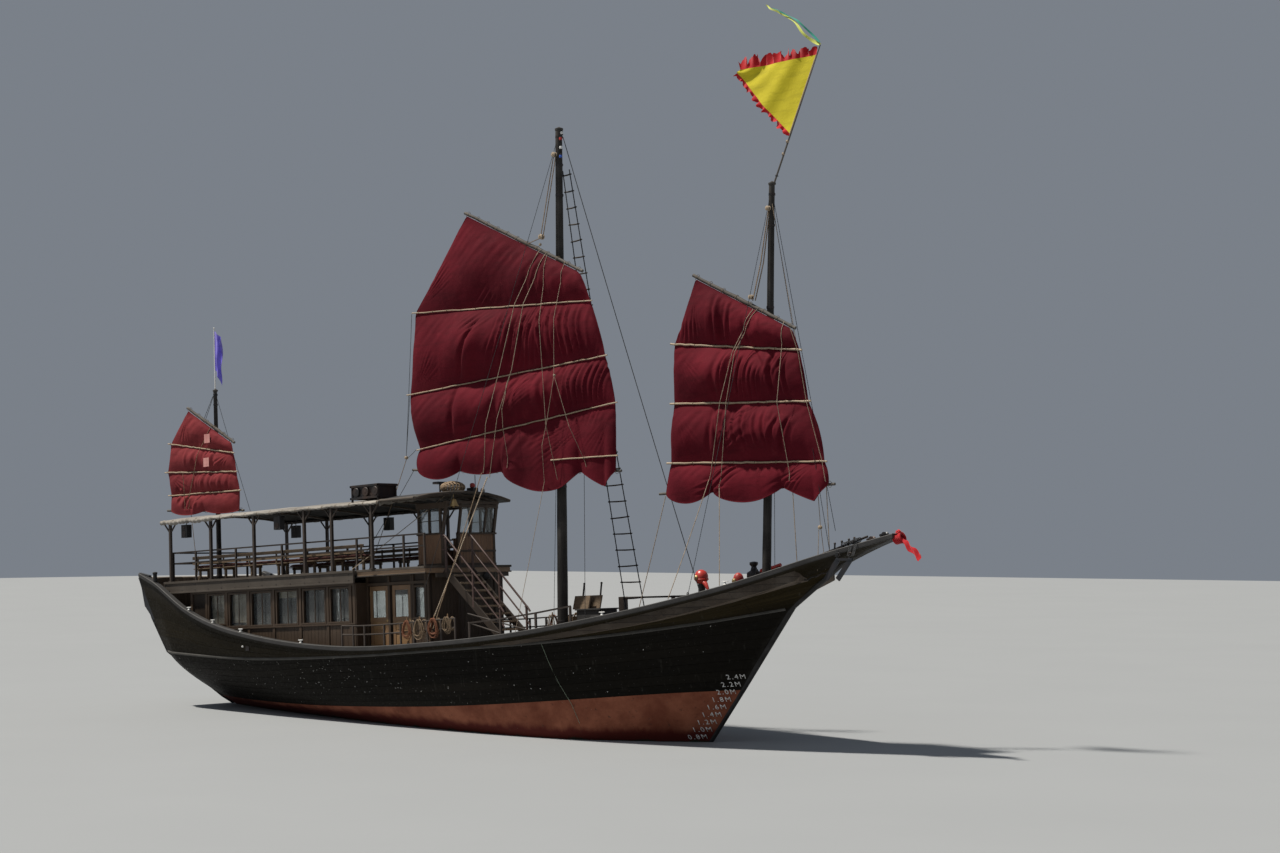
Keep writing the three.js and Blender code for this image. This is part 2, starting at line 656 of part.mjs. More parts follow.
function houseSide() {
  const { half, aft, front, wall, head } = HOUSE;
  const [low, top] = [UPPER_DECK + GAP, head];
  const middle = (aft + front) / 2;
  const holes = [[aft + 130, 5740, middle - 60, 6480], [middle, 5740, front - wall - 110, 6480]];
  return wallXZ(rectangle(aft, low, front - wall - GAP, top), holes, half - wall, wall);
}

// The roof is arched, and reaches out over the head of the stairs. Columns: y, z of its underside
const ROOF_ARCH = [[-2420, 6700], [-1800, 6800], [-1000, 6880], [-200, 6905], [600, 6860], [1200, 6760],
  [1560, 6670]];
const ROOF_THICKNESS = 80;
const ROOF_X = [-2330, -880];

function houseRoof() {
  const section = (x) => [
    ...ROOF_ARCH.map(([y, z]) => [x, y, z + ROOF_THICKNESS]),
    ...ROOF_ARCH.map(([y, z]) => [x, y, z]).reverse(),
  ];
  return loft(ROOF_X.map(section));
}

add('wheelhouse_front', houseFront(), 'warmWood');
add('wheelhouse_side_port', houseSide(), 'warmWood');
add('wheelhouse_side_starboard', mirrored(houseSide()), 'warmWood');
add('wheelhouse_roof', houseRoof(), 'darkWood');

// Stairs from the foredeck up to the upper deck, to starboard of the centreline
const STAIRS = { top: -400, foot: 2000, starboard: -1700, port: -620, treads: 9, rail: 950 };

function stairs() {
  const { top, foot, starboard, port, treads, rail } = STAIRS;
  const footZ = deckHeight(foot) + 40;
  const topZ = UPPER_DECK - 60;
  const pieces = [];
  [starboard, port].forEach((y) => {
    pieces.push(bar([top, y, topZ - 60], [foot, y, footZ + 60], 50, 220));
    const railFrom = [top + 30, y, topZ + rail];
    const railTo = [foot - 120, y, footZ + 100 + rail];
    pieces.push(bar(railFrom, railTo, 50));
    pieces.push(bar([railFrom[0], y, railFrom[2] - 420], [railTo[0], y, railTo[2] - 420], 40));
    [0.03, 0.5, 0.96].forEach((t) => {
      const x = THREE.MathUtils.lerp(top, foot - 100, t);
      const z = THREE.MathUtils.lerp(topZ, footZ + 60, t);
      pieces.push(bar([x, y, z - 60], [x, y, z + rail], 50));
    });
  });
  for (let i = 1; i <= treads; i += 1) {
    const t = i / (treads + 1);
    const x = THREE.MathUtils.lerp(top, foot, t);
    const z = THREE.MathUtils.lerp(topZ, footZ, t);
    pieces.push(box([x - 130, starboard, z - 20], [x + 130, port, z + 20]));
  }
  return join(pieces);
}

add('stairs', stairs(), 'darkWood');

// Masts, standing on the deck. Columns: foot x, z, top x, z, foot radius, top radius
const MASTS = {
  main_mast: [2610, 2380, 3200, 17300, 160, 100],
  fore_mast: [10020, 3400, 10850, 14410, 125, 80],
  mizzen_mast: [-13130, POOP_DECK + 5, -13130, 11230, 90, 65],
};

// Poles that stand on a mast's head. Columns: foot x, z, top x, z
const FLAGPOLES = {
  fore_mast: [10835, 14250, 12640, 17850],
  mizzen_mast: [-13130, 11100, -13130, 13400],
};
const POLE_RADIUS = 24;

Object.entries(MASTS).forEach(([name, [x0, z0, x1, z1, foot, top]]) => {
  const pieces = [rod([x0, 0, z0], [x1, 0, z1], foot, top, 16)];
  if (FLAGPOLES[name]) {
    const [a0, b0, a1, b1] = FLAGPOLES[name];
    pieces.push(rod([a0, 0, b0], [a1, 0, b1], POLE_RADIUS, POLE_RADIUS, 8));
  }
  add(name, join(pieces), 'spar');
});

// The sails, each flat in its own plane to starboard of its mast.
// Columns of an edge: x, z. The leech runs up the after edge, the luff down the forward one.
const SAILS = {
  main: {
    y: -450, leech: [[-2850, 7600], [-2950, 10070], [-2600, 12560], [-260, 15350]],
    luff: [[4150, 13060], [4570, 12030], [5070, 10390], [5380, 9030], [5280, 7120]],
  },
  fore: {
    y: -400, leech: [[7150, 6340], [7300, 7170], [7500, 8790], [7590, 10430], [8400, 12260]],
    luff: [[11550, 10530], [11770, 9810], [11980, 8440], [12430, 6840], [12500, 6240]],
  },
  mizzen: {
    y: -350, leech: [[-15250, 7260], [-15370, 8590], [-15170, 9560], [-14180, 10730]],
    luff: [[-11930, 9490], [-11820, 9010], [-11670, 8360], [-11510, 7720], [-11550, 7130]],
  },
};
const SAIL_THICKNESS = 50;
const SPAR_OFFSET = 75;      // from the sail's plane towards the mast
const SPAR_RADIUS = 45;
const SPAR_END = 130;        // the length that a spar shows past the cloth

function spar([x0, z0], [x1, z1], y) {
  const run = Math.hypot(x1 - x0, z1 - z0);
  const [dx, dz] = [((x1 - x0) / run) * SPAR_END, ((z1 - z0) / run) * SPAR_END];
  return rod([x0 - dx, y, z0 - dz], [x1 + dx, y, z1 + dz], SPAR_RADIUS, SPAR_RADIUS, 8);
}

Object.entries(SAILS).forEach(([name, { y, leech, luff }]) => {
  const middle = y - SAIL_THICKNESS / 2;
  add(`${name}_sail`, panelXZ([...leech, ...luff], middle, SAIL_THICKNESS), 'sail');
  const sparY = y + SPAR_OFFSET;
  add(`${name}_yard`, spar(leech[leech.length - 1], luff[0], sparY), 'spar');
  add(`${name}_boom`, spar(leech[0], luff[luff.length - 1], sparY), 'spar');
});

// The rope ladder from the port rail to the head of the main mast. Columns: x, y, z of foot and head
const LADDER = { foot: [3170, 2700, 2760], head: [3290, 140, 16100], widthFoot: 740, widthHead: 260, rungs: 28 };

function ladder() {
  const { foot, head, widthFoot, widthHead, rungs } = LADDER;
  const at = (t, side) => {
    const width = THREE.MathUtils.lerp(widthFoot, widthHead, t) / 2;
    return [
      THREE.MathUtils.lerp(foot[0], head[0], t) + side * width,
      THREE.MathUtils.lerp(foot[1], head[1], t), THREE.MathUtils.lerp(foot[2], head[2], t)];
  };
  const pieces = [bar(at(0, -1), at(1, -1), 30), bar(at(0, 1), at(1, 1), 30)];
  for (let i = 1; i < rungs; i += 1) pieces.push(bar(at(i / rungs, -1), at(i / rungs, 1), 26));
  return join(pieces);
}

// The stay from the head of the main mast down to the deck before the fore mast's foot
const STAY = { headX: 3350, headZ: 17050, footX: 8000, radius: 14 };

function mainStay() {
  const foot = [STAY.footX, 0, deckHeight(STAY.footX) + 20];
  return rod([STAY.headX, 0, STAY.headZ], foot, STAY.radius, STAY.radius, 8);
}

add('mast_ladder', ladder(), 'rope');
add('main_stay', mainStay(), 'rope');

// Rails of the foredeck, on the cap to each side. Columns: x of each post
const FORE_RAIL_POSTS = [1850, 3000, 4250, 5400];
const FORE_RAIL_HEIGHT = 420;

function foreRail() {
  const at = (x, up) => [x, along(HULL_LINES.cap, x, 1) - BULWARK / 2, along(HULL_LINES.cap, x, 2) + up];
  const pieces = FORE_RAIL_POSTS.map((x) => bar(at(x, 8), at(x, FORE_RAIL_HEIGHT), RAIL_POST));
  for (let i = 0; i + 1 < FORE_RAIL_POSTS.length; i += 1) {
    const [a, b] = [FORE_RAIL_POSTS[i], FORE_RAIL_POSTS[i + 1]];
    pieces.push(bar(at(a - 15, FORE_RAIL_HEIGHT), at(b + 15, FORE_RAIL_HEIGHT), RAIL_BAR));
  }
  return join(pieces);
}

add('fore_rail_port', foreRail(), 'spar');
add('fore_rail_starboard', mirrored(foreRail()), 'spar');

// Windlass and hatch box on the foredeck, anchor under the bow
function windlass() {
  const deck = deckHeight(9400) + 3;
  return join([
    box([9200, -420, deck], [9400, -340, deck + 560]), box([9200, 340, deck], [9400, 420, deck + 560]),
    rod([9300, -600, deck + 420], [9300, 600, deck + 420], 130, 130, 12),
  ]);
}

function hatchBox() {
  const deck = deckHeight(5150) + 20;
  return box([4350, -700, deck], [5150, 300, deck + 520]);
}

// Its two flukes hang side by side under the flare, on one stock
function anchor() {
  const y = -640;
  return join([
    bar([12880, y, 4310], [12450, y, 3790], 45, 130),
    bar([13260, y, 4290], [12820, y, 3780], 45, 130),
    bar([12820, y, 4290], [13300, y, 4270], 60, 60),
  ]);
}

// Flags: the pennant of the fore mast on its slanted pole, the streamer flying aft from that pole's
// head, and the small flag over the mizzen. Columns of an outline: x, z
const PENNANT = [[11480, 15600], [12500, 17640], [9800, 17700]];
const STREAMER = [
  [12645, 17858], [12338, 18010], [12109, 18229], [11887, 18549], [11621, 18770], [11322, 18993],
  [11040, 19146], [10890, 19334], [10905, 19350], [11050, 19206], [11325, 19060], [11621, 18865],
  [11956, 18645], [12317, 18270], [12609, 17935], [12655, 17872],
];
const SMALL_FLAG = [[-13098, 11500], [-13098, 13300], [-12700, 13200], [-12600, 12050]];
const FLAG_THICKNESS = 30;

function flag(outline) {
  return panelXZ(outline, -FLAG_THICKNESS / 2, FLAG_THICKNESS);
}

add('windlass', windlass(), 'iron');
add('hatch_box', hatchBox(), 'warmWood');
add('anchor', anchor(), 'iron');
add('pennant', flag(PENNANT), 'yellowFlag');
add('streamer', flag(STREAMER), 'yellowFlag');
add('small_flag', flag(SMALL_FLAG), 'purpleFlag');

export default ship;
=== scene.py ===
import json
import math
import random
from math import cos, dist, exp, hypot, pi, radians, sin

import bmesh
import bpy
import numpy as np
from mathutils import Matrix, Vector, noise
from mathutils.bvhtree import BVHTree

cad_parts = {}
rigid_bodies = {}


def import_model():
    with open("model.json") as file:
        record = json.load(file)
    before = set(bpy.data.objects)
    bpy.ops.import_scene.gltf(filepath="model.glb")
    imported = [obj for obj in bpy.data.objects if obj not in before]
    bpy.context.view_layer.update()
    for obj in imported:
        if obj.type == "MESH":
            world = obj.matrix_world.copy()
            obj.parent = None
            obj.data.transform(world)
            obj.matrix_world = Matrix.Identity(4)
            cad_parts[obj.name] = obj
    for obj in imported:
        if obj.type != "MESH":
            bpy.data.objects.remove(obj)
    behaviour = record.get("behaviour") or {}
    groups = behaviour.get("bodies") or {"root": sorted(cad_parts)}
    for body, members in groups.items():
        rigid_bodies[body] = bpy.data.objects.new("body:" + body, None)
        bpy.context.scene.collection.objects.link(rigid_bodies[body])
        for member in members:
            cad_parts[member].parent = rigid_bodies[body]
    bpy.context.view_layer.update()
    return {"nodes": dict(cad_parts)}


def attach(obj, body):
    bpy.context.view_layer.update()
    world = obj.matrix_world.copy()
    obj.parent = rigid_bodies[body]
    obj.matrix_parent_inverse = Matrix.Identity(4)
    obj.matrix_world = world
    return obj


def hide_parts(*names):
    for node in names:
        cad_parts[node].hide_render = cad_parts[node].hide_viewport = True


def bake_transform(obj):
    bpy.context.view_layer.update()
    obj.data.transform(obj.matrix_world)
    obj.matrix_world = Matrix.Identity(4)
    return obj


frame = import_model()

# The ship is drawn in metres with level decks, X to the bow, and then turned by her trim
TRIM = radians(3)
TO_ROW = Matrix.Rotation(-TRIM, 4, "Y")
SHIP = "ship"
STARBOARD, PORT = -1, 1
BOTH_SIDES = (STARBOARD, PORT)
SIDE_WORDS = ((PORT, "port"), (STARBOARD, "starboard"))


def vec(*numbers):
    return Vector(numbers)


def lerp(a, b, t):
    return a + (b - a) * t


def clamp(value, low=0.0, high=1.0):
    return max(low, min(high, value))


def ease(t):
    t = clamp(t)
    return t * t * (3 - 2 * t)


def between(p, q, t):
    return tuple(lerp(a, b, t) for a, b in zip(p, q))


def spread(start, end, count):
    """count numbers from start to end"""
    return [lerp(start, end, i / (count - 1)) for i in range(count)]


def strips(start, end, count, gap=0.004):
    """Start and end of so many boards laid side by side, a gap in from each joint"""
    return [(lerp(start, end, k / count) + gap, lerp(start, end, (k + 1) / count) - gap) for k in range(count)]


def turn(count):
    """Angles of equal steps once round"""
    return [2 * pi * j / count for j in range(count)]


def cubic(p, q, slope_p, slope_q, span, t):
    return ((2 * t ** 3 - 3 * t * t + 1) * p + (t ** 3 - 2 * t * t + t) * span * slope_p
            + (3 * t * t - 2 * t ** 3) * q + (t ** 3 - t * t) * span * slope_q)


def rounded(points, count):
    """A smooth path of so many points through a few given ones"""
    path, last = [], len(points) - 1
    for s in spread(0, last, count):
        i = min(int(s), last - 1)
        p0, p1, p2, p3 = (Vector(points[clamp(k, 0, last)]) for k in (i - 1, i, i + 1, i + 2))
        path.append(cubic(p1, p2, 0.5 * (p2 - p0), 0.5 * (p3 - p1), 1, s - i))
    return path


def square_to(axis):
    axis = Vector(axis).normalized()
    side = axis.orthogonal().normalized()
    return axis, side, axis.cross(side)


def frames_along(path):
    """A point and two vectors square to the path at each of its points, without twist"""
    points = [Vector(p) for p in path]
    rows, across = [], None
    for i, point in enumerate(points):
        ahead = (points[min(i + 1, len(points) - 1)] - points[max(i - 1, 0)]).normalized()
        if across is None:
            across = ahead.cross(vec(0, 0, 1))
            if across.length < 0.01:
                across = vec(0, 1, 0)
        across = (across - ahead * across.dot(ahead)).normalized()
        rows.append((point, across, ahead.cross(across)))
    return rows


class Shape:
    """Closed bodies gathered into one mesh. Each face has the mark of its material."""

    def __init__(self):
        self.points, self.faces, self.marks, self.mark = [], [], [], 0

    def add(self, points, faces):
        start = len(self.points)
        self.points += [tuple(p) for p in points]
        self.faces += [[start + i for i in face] for face in faces]
        self.marks += [self.mark] * len(faces)
        return self

    def paint(self, mark):
        self.mark = mark
        return self

    def loft(self, rings, looped=False):
        count = len(rings[0])
        faces = []
        for i in range(len(rings) if looped else len(rings) - 1):
            a, b = i * count, (i + 1) % len(rings) * count
            faces += [[a + j, a + (j + 1) % count, b + (j + 1) % count, b + j] for j in range(count)]
        if not looped:
            last = (len(rings) - 1) * count
            faces += [list(range(count))[::-1], list(range(last, last + count))]
        return self.add([p for ring in rings for p in ring], faces)

    def box(self, low, high):
        """A box between two corners, either of which may be the one to starboard"""
        (a, b, c), (d, e, f) = low, high
        b, e = min(b, e), max(b, e)
        return self.loft([[(x, b, c), (x, e, c), (x, e, f), (x, b, f)] for x in (a, d)])

    def tube(self, path, radii, sides=8):
        radii = radii if hasattr(radii, "__len__") else [radii] * len(path)
        return self.loft([[point + (across * cos(a) + up * sin(a)) * radius for a in turn(sides)]
                          for (point, across, up), radius in zip(frames_along(path), radii)])

    def rod(self, p, q, radius, sides=12):
        return self.tube([p, q], radius, sides)

    def bar(self, p, q, width, height=None):
        height = width if height is None else height
        ahead = (Vector(q) - Vector(p)).normalized()
        level = ahead.cross(vec(0, 0, 1))
        level = vec(0, 1, 0) if level.length < 0.05 else level.normalized()
        up = level.cross(ahead)
        return self.loft([[Vector(end) + level * (a * width) + up * (b * height)
                           for a, b in ((-0.5, -0.5), (0.5, -0.5), (0.5, 0.5), (-0.5, 0.5))] for end in (p, q)])

    def lathe(self, foot, axis, profile, sides=14):
        """Turned on an axis. Columns of the profile: distance along it, radius."""
        axis, side, other = square_to(axis)
        return self.loft([[Vector(foot) + axis * run + (side * cos(a) + other * sin(a)) * radius
                           for a in turn(sides)] for run, radius in profile])

    def turned(self, foot, profile, sides=14):
        return self.lathe(foot, (0, 0, 1), profile, sides)

    def ball(self, centre, radius, sides=14):
        return self.lathe(Vector(centre) - vec(0, 0, radius), (0, 0, 1), [
            (radius * (1 - cos(a)), max(radius * sin(a), 0.002)) for a in spread(0, pi, 9)], sides)

    def ring(self, centre, axis, radius, thick, sides=20, facets=8):
        """A ring of round section about an axis"""
        axis, side, other = square_to(axis)
        outs = [side * cos(a) + other * sin(a) for a in turn(sides)]
        return self.loft([[Vector(centre) + out * (radius + thick * cos(b)) + axis * (thick * sin(b))
                           for b in turn(facets)] for out in outs], looped=True)

    def plate(self, outline, offset):
        """A flat outline drawn out by an offset"""
        return self.loft([list(outline), [tuple(Vector(p) + Vector(offset)) for p in outline]])

    def skin(self, front, back):
        """Two grids of points, joined along their rim. The order of the rim's points is the result."""
        count, wide = len(front), len(front[0])
        size, faces = count * wide, []
        for i in range(count - 1):
            for j in range(wide - 1):
                a, b, c, d = i * wide + j, i * wide + j + 1, (i + 1) * wide + j + 1, (i + 1) * wide + j
                faces += [[a, d, c, b], [size + a, size + b, size + c, size + d]]
        rim = (list(range(wide)) + [i * wide + wide - 1 for i in range(1, count)]
               + [(count - 1) * wide + j for j in range(wide - 2, -1, -1)]
               + [i * wide for i in range(count - 2, 0, -1)])
        faces += [[a, b, size + b, size + a] for a, b in zip(rim, rim[1:] + rim[:1])]
        self.add([p for grid in (front, back) for row in grid for p in row], faces)
        return rim

    def sheet(self, rows, thick):
        """A thin closed sheet on a grid of points, thick in the direction of its own normals"""
        grid = np.array(rows, float)
        normal = np.cross(np.gradient(grid, axis=0), np.gradient(grid, axis=1))
        normal /= np.maximum(np.linalg.norm(normal, axis=2, keepdims=True), 1e-9)
        self.skin(grid + normal * thick / 2, grid - normal * thick / 2)
        return self


def linked(name, data):
    obj = bpy.data.objects.new(name, data)
    bpy.context.scene.collection.objects.link(obj)
    return obj


def outward(mesh):
    work = bmesh.new()
    work.from_mesh(mesh)
    bmesh.ops.recalc_face_normals(work, faces=work.faces)
    work.to_mesh(mesh)
    work.free()


def mesh_of(name, shape):
    mesh = bpy.data.meshes.new(name)
    mesh.from_pydata([tuple(p) for p in shape.points], [], shape.faces)
    mesh.polygons.foreach_set("material_index", shape.marks)
    outward(mesh)
    return mesh


def place(obj, materials, body, slot, replaced=(), bevel=0.0, smooth=35, in_row=False):
    """Turns a mesh by the trim, gives it its materials and edges, and lets it ride on its body"""
    if not in_row:
        obj.data.transform(TO_ROW)
    if obj.data.materials:
        obj.data.materials.clear()
    for material in materials if isinstance(materials, (list, tuple)) else [materials]:
        obj.data.materials.append(material)
    obj.data.shade_smooth()
    obj.data.set_sharp_from_angle(angle=radians(smooth))
    if bevel:
        edge = obj.modifiers.new("edges", "BEVEL")
        edge.width, edge.segments, edge.limit_method = bevel, 2, "ANGLE"
        edge.angle_limit = radians(40)
        edge.harden_normals = True
    if body:
        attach(obj, body)
    if replaced:
        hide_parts(*replaced)
    return obj


def piece(name, shape, materials, slot, body=SHIP, **how):
    return place(linked(name, mesh_of(name, shape)), materials, body, slot, **how)


def dress(node, material, slot, bevel=0.006, body=SHIP):
    """A merged copy of a CAD node with eased edges, which stands for the node"""
    mesh = bpy.data.meshes.new(node + "_finished")
    work = bmesh.new()
    work.from_mesh(frame["nodes"][node].data)
    bmesh.ops.remove_doubles(work, verts=work.verts, dist=0.0002)
    bmesh.ops.dissolve_limit(work, angle_limit=radians(1), verts=work.verts, edges=work.edges)
    work.to_mesh(mesh)
    work.free()
    return place(linked(mesh.name, mesh), material, body, slot, replaced=[node], bevel=bevel, in_row=True)


def laid_mesh(name, grid, thick):
    """A sheet's mesh with its weave laid along the grid, in metres"""
    shape = Shape().sheet(grid, thick)
    mesh = bpy.data.meshes.new(name)
    mesh.from_pydata(shape.points, [], shape.faces)
    rows, columns = len(grid), len(grid[0])
    wide, tall = (dist(grid[0][0], far) / (count - 1) for far,
                  count in ((grid[0][-1], columns), (grid[-1][0], rows)))
    index = np.zeros(len(mesh.loops), int)
    mesh.loops.foreach_get("vertex_index", index)
    index %= rows * columns
    uv = np.stack([(index % columns) * wide, (index // columns) * tall], 1)
    mesh.uv_layers.new(name="laid").data.foreach_set("uv", uv.astype(np.float32).ravel())
    return mesh


def hung_sheet(name, grid, thick, material, slot, flat, rests_on, replaced=(), **sheet):
    obj = place(linked(name, laid_mesh(name, grid, thick)), material, SHIP, slot, replaced=replaced, smooth=60)


class Nodes:
    """Adds nodes to a tree. An input is given as another node's socket or as a value."""

    def node(self, kind, inputs=None, **settings):
        made = self.tree.nodes.new(kind)
        for key, value in settings.items():
            setattr(made, key, value)
        for key, value in (inputs or {}).items():
            if isinstance(value, bpy.types.NodeSocket):
                self.tree.links.new(value, made.inputs[key])
            else:
                made.inputs[key].default_value = value
        return made

    def out(self, kind, inputs=None, socket=0, **settings):
        return self.node(kind, inputs, **settings).outputs[socket]

    def maths(self, operation, a, b=0.0, c=0.0):
        return self.out("ShaderNodeMath", {0: a, 1: b, 2: c}, operation=operation)


class Recipe(Nodes):
    """A Geometry Nodes tree with named inputs, which ends in Realize Instances and Set Material"""

    def __init__(self, name, **sizes):
        self.tree = bpy.data.node_groups.new(name, "GeometryNodeTree")
        self.ids = {}
        self.tree.interface.new_socket("Geometry", in_out="INPUT", socket_type="NodeSocketGeometry")
        for label, value in {**sizes, "Material": None}.items():
            kind = {float: "Float", int: "Int"}.get(type(value), "Material")
            socket = self.tree.interface.new_socket(label, in_out="INPUT", socket_type="NodeSocket" + kind)
            if value is not None:
                socket.default_value = value
            self.ids[label] = socket.identifier
        self.tree.interface.new_socket("Geometry", in_out="OUTPUT", socket_type="NodeSocketGeometry")
        self.size = self.tree.nodes.new("NodeGroupInput").outputs

    def end(self, geometry):
        real = self.out("GeometryNodeRealizeInstances", {"Geometry": geometry})
        painted = self.out("GeometryNodeSetMaterial", {"Geometry": real, "Material": self.size["Material"]})
        self.node("NodeGroupOutput", {"Geometry": painted})
        return self

    def every(self):
        """Points along the curve, a spacing apart"""
        return self.node("GeometryNodeCurveToPoints", {
            "Curve": self.size["Geometry"], "Length": self.size["Spacing"]}, mode="LENGTH")

    def circle(self, points, radius):
        return self.out("GeometryNodeCurvePrimitiveCircle", {"Resolution": points, "Radius": radius},
                        mode="RADIUS")

    def make(self, name, source, sizes):
        """The plain mesh that the tree makes of a source mesh or curve"""
        helper = linked(name + "_source", source)
        modifier = helper.modifiers.new(name, "NODES")
        modifier.node_group = self.tree
        for label, value in sizes.items():
            modifier[self.ids[label]] = value
        bpy.context.view_layer.update()
        graph = bpy.context.evaluated_depsgraph_get()
        mesh = bpy.data.meshes.new_from_object(helper.evaluated_get(graph), depsgraph=graph)
        helper.modifiers.remove(modifier)
        bpy.data.objects.remove(helper)
        mesh.name = name
        return mesh


def heads_recipe():
    """Small domed heads on the points of a mesh, turned to each point's own direction"""
    recipe = Recipe("heads_on_points", Radius=0.01, Height=0.004, Uneven=0.3, Seed=4)
    head = recipe.out("GeometryNodeMeshCone", {
        "Vertices": 7, "Radius Top": 0.6, "Radius Bottom": 1.0, "Depth": 1.0}, fill_type="NGON")
    aim = recipe.out("GeometryNodeInputNamedAttribute", {"Name": "aim"}, data_type="FLOAT_VECTOR")
    turned = recipe.out("FunctionNodeAlignRotationToVector", {"Vector": aim}, axis="Z")
    chance = recipe.out("FunctionNodeRandomValue", {
        "Min": recipe.maths("SUBTRACT", 1.0, recipe.size["Uneven"]), "Max": 1.0, "Seed": recipe.size["Seed"]},
        1, data_type="FLOAT")
    wide = recipe.maths("MULTIPLY", recipe.size["Radius"], chance)
    scale = recipe.out("ShaderNodeCombineXYZ", {0: wide, 1: wide, 2: recipe.size["Height"]})
    points = recipe.out("GeometryNodeMeshToPoints", {"Mesh": recipe.size["Geometry"]})
    return recipe.end(recipe.out("GeometryNodeInstanceOnPoints", {
        "Points": points, "Instance": head, "Rotation": turned, "Scale": scale}))


def rope_recipe():
    """Laid rope along curves: a lobed section that turns as it runs"""
    recipe = Recipe("laid_rope", Radius=0.012, Lay=0.12, Step=0.06)
    even = recipe.out("GeometryNodeResampleCurve", {
        "Curve": recipe.size["Geometry"], "Length": recipe.size["Step"]}, mode="LENGTH")
    run = recipe.out("GeometryNodeSplineParameter", None, "Length")
    angle = recipe.maths("MULTIPLY", recipe.maths("DIVIDE", run, recipe.size["Lay"]), 2 * pi)
    tilted = recipe.out("GeometryNodeSetCurveTilt", {"Curve": even, "Tilt": angle})
    third = recipe.maths("MODULO", recipe.out("GeometryNodeInputIndex"), 3.0)
    pull = recipe.out("ShaderNodeMapRange", {
        "Value": recipe.maths("LESS_THAN", third, 0.5), "To Min": 1.0, "To Max": 0.72})
    sized = recipe.out("GeometryNodeInputPosition")
    for scale in (pull, recipe.size["Radius"]):
        sized = recipe.out("ShaderNodeVectorMath", {0: sized, "Scale": scale}, operation="SCALE")
    profile = recipe.out("GeometryNodeSetPosition", {"Geometry": recipe.circle(9, 1.0), "Position": sized})
    return recipe.end(recipe.out("GeometryNodeCurveToMesh", {
        "Curve": tilted, "Profile Curve": profile, "Fill Caps": True}))


def loops_recipe():
    """Rings of rope or iron threaded on a curve, such as lacing and bands"""
    recipe = Recipe("loops_on_a_path", Spacing=0.3, Radius=0.05, Thickness=0.01)
    points = recipe.every()
    loop = recipe.out("GeometryNodeCurveToMesh", {
        "Curve": recipe.circle(14, recipe.size["Radius"]),
        "Profile Curve": recipe.circle(6, recipe.size["Thickness"])})
    return recipe.end(recipe.out("GeometryNodeInstanceOnPoints", {
        "Points": points.outputs["Points"], "Instance": loop, "Rotation": points.outputs["Rotation"]}))


def path_curve(paths):
    """One curve of open splines, turned by the trim"""
    curve = bpy.data.curves.new("path", "CURVE")
    curve.dimensions = "3D"
    for path in paths:
        spline = curve.splines.new("POLY")
        spline.points.add(len(path) - 1)
        for point, place_at in zip(spline.points, path):
            point.co = (*(TO_ROW @ Vector(place_at)), 1)
    return curve


def points_mesh(rows):
    """Points with a direction each, turned by the trim. Columns: place, direction."""
    mesh = bpy.data.meshes.new("points")
    mesh.from_pydata([TO_ROW @ Vector(p) for p, _ in rows], [], [])
    turned = [TO_ROW.to_3x3() @ Vector(n) for _, n in rows]
    mesh.attributes.new("aim", "FLOAT_VECTOR", "POINT").data.foreach_set("vector",
                                                                         [c for v in turned for c in v])
    return mesh


def repeated(name, recipe, source, sizes, material, slot, body=SHIP, **how):
    mesh = recipe.make(name, source, {**sizes, "Material": material})
    return place(linked(name, mesh), material, body, slot, in_row=True, **how)


HEADS, ROPE, LOOPS = heads_recipe(), rope_recipe(), loops_recipe()


# Camera, light and floor

IMAGE_WIDTH = 1280
FOCAL_PIXELS = 2065
CAMERA_PLACE = (43.14, -43.854, 5.451)
CAMERA_TURN = radians(40.7)            # the image's right is this far from the ship's X axis
CAMERA_PITCH = radians(3.146)


def camera():
    data = bpy.data.cameras.new("camera")
    data.sensor_width = 36
    data.sensor_fit = "HORIZONTAL"
    data.lens = FOCAL_PIXELS / IMAGE_WIDTH * 36
    data.clip_end = 400
    obj = linked("camera", data)
    obj.location = CAMERA_PLACE
    obj.rotation_euler = (pi / 2 + CAMERA_PITCH, 0, CAMERA_TURN)
    bpy.context.scene.camera = obj


def lamp(name, place_at, aim, power, size, colour):
    data = bpy.data.lights.new(name, "AREA")
    data.energy, data.size, data.color = power, size, colour
    obj = linked(name, data)
    obj.location = place_at
    obj.rotation_euler = (Vector(aim) - Vector(place_at)).to_track_quat("-Z", "Y").to_euler()


def stage():
    floor = Shape().box((-220, -220, -0.4), (220, 220, 0.0))
    obj = linked("floor", mesh_of("floor", floor))
    tone = Finish("floor_tone", roughness=0.9)
    tone.colour(tone.blend(tone.noise(tone.place(), 0.15), (0.24, 0.25, 0.26), (0.26, 0.27, 0.28)))
    obj.data.materials.append(tone.material)
    world = bpy.data.worlds.new("studio")
    world.use_nodes = True
    world.node_tree.nodes["Background"].inputs["Color"].default_value = (0.72, 0.8, 0.92, 1)
    world.node_tree.nodes["Background"].inputs["Strength"].default_value = 0.27
    bpy.context.scene.world = world
    bpy.context.scene.view_settings.view_transform = "Standard"
    sun = bpy.data.lights.new("sun", "SUN")
    sun.energy, sun.angle, sun.color = 5.6, radians(3), (1.0, 0.95, 0.86)
    key = linked("sun", sun)
    key.rotation_euler = vec(0.36, 0.27, -0.9).to_track_quat("-Z", "Y").to_euler()
    lamp("fill", (5, -50, 60), (0, 0, 5), 3000, 40, (0.92, 0.95, 1.0))


# Finishes

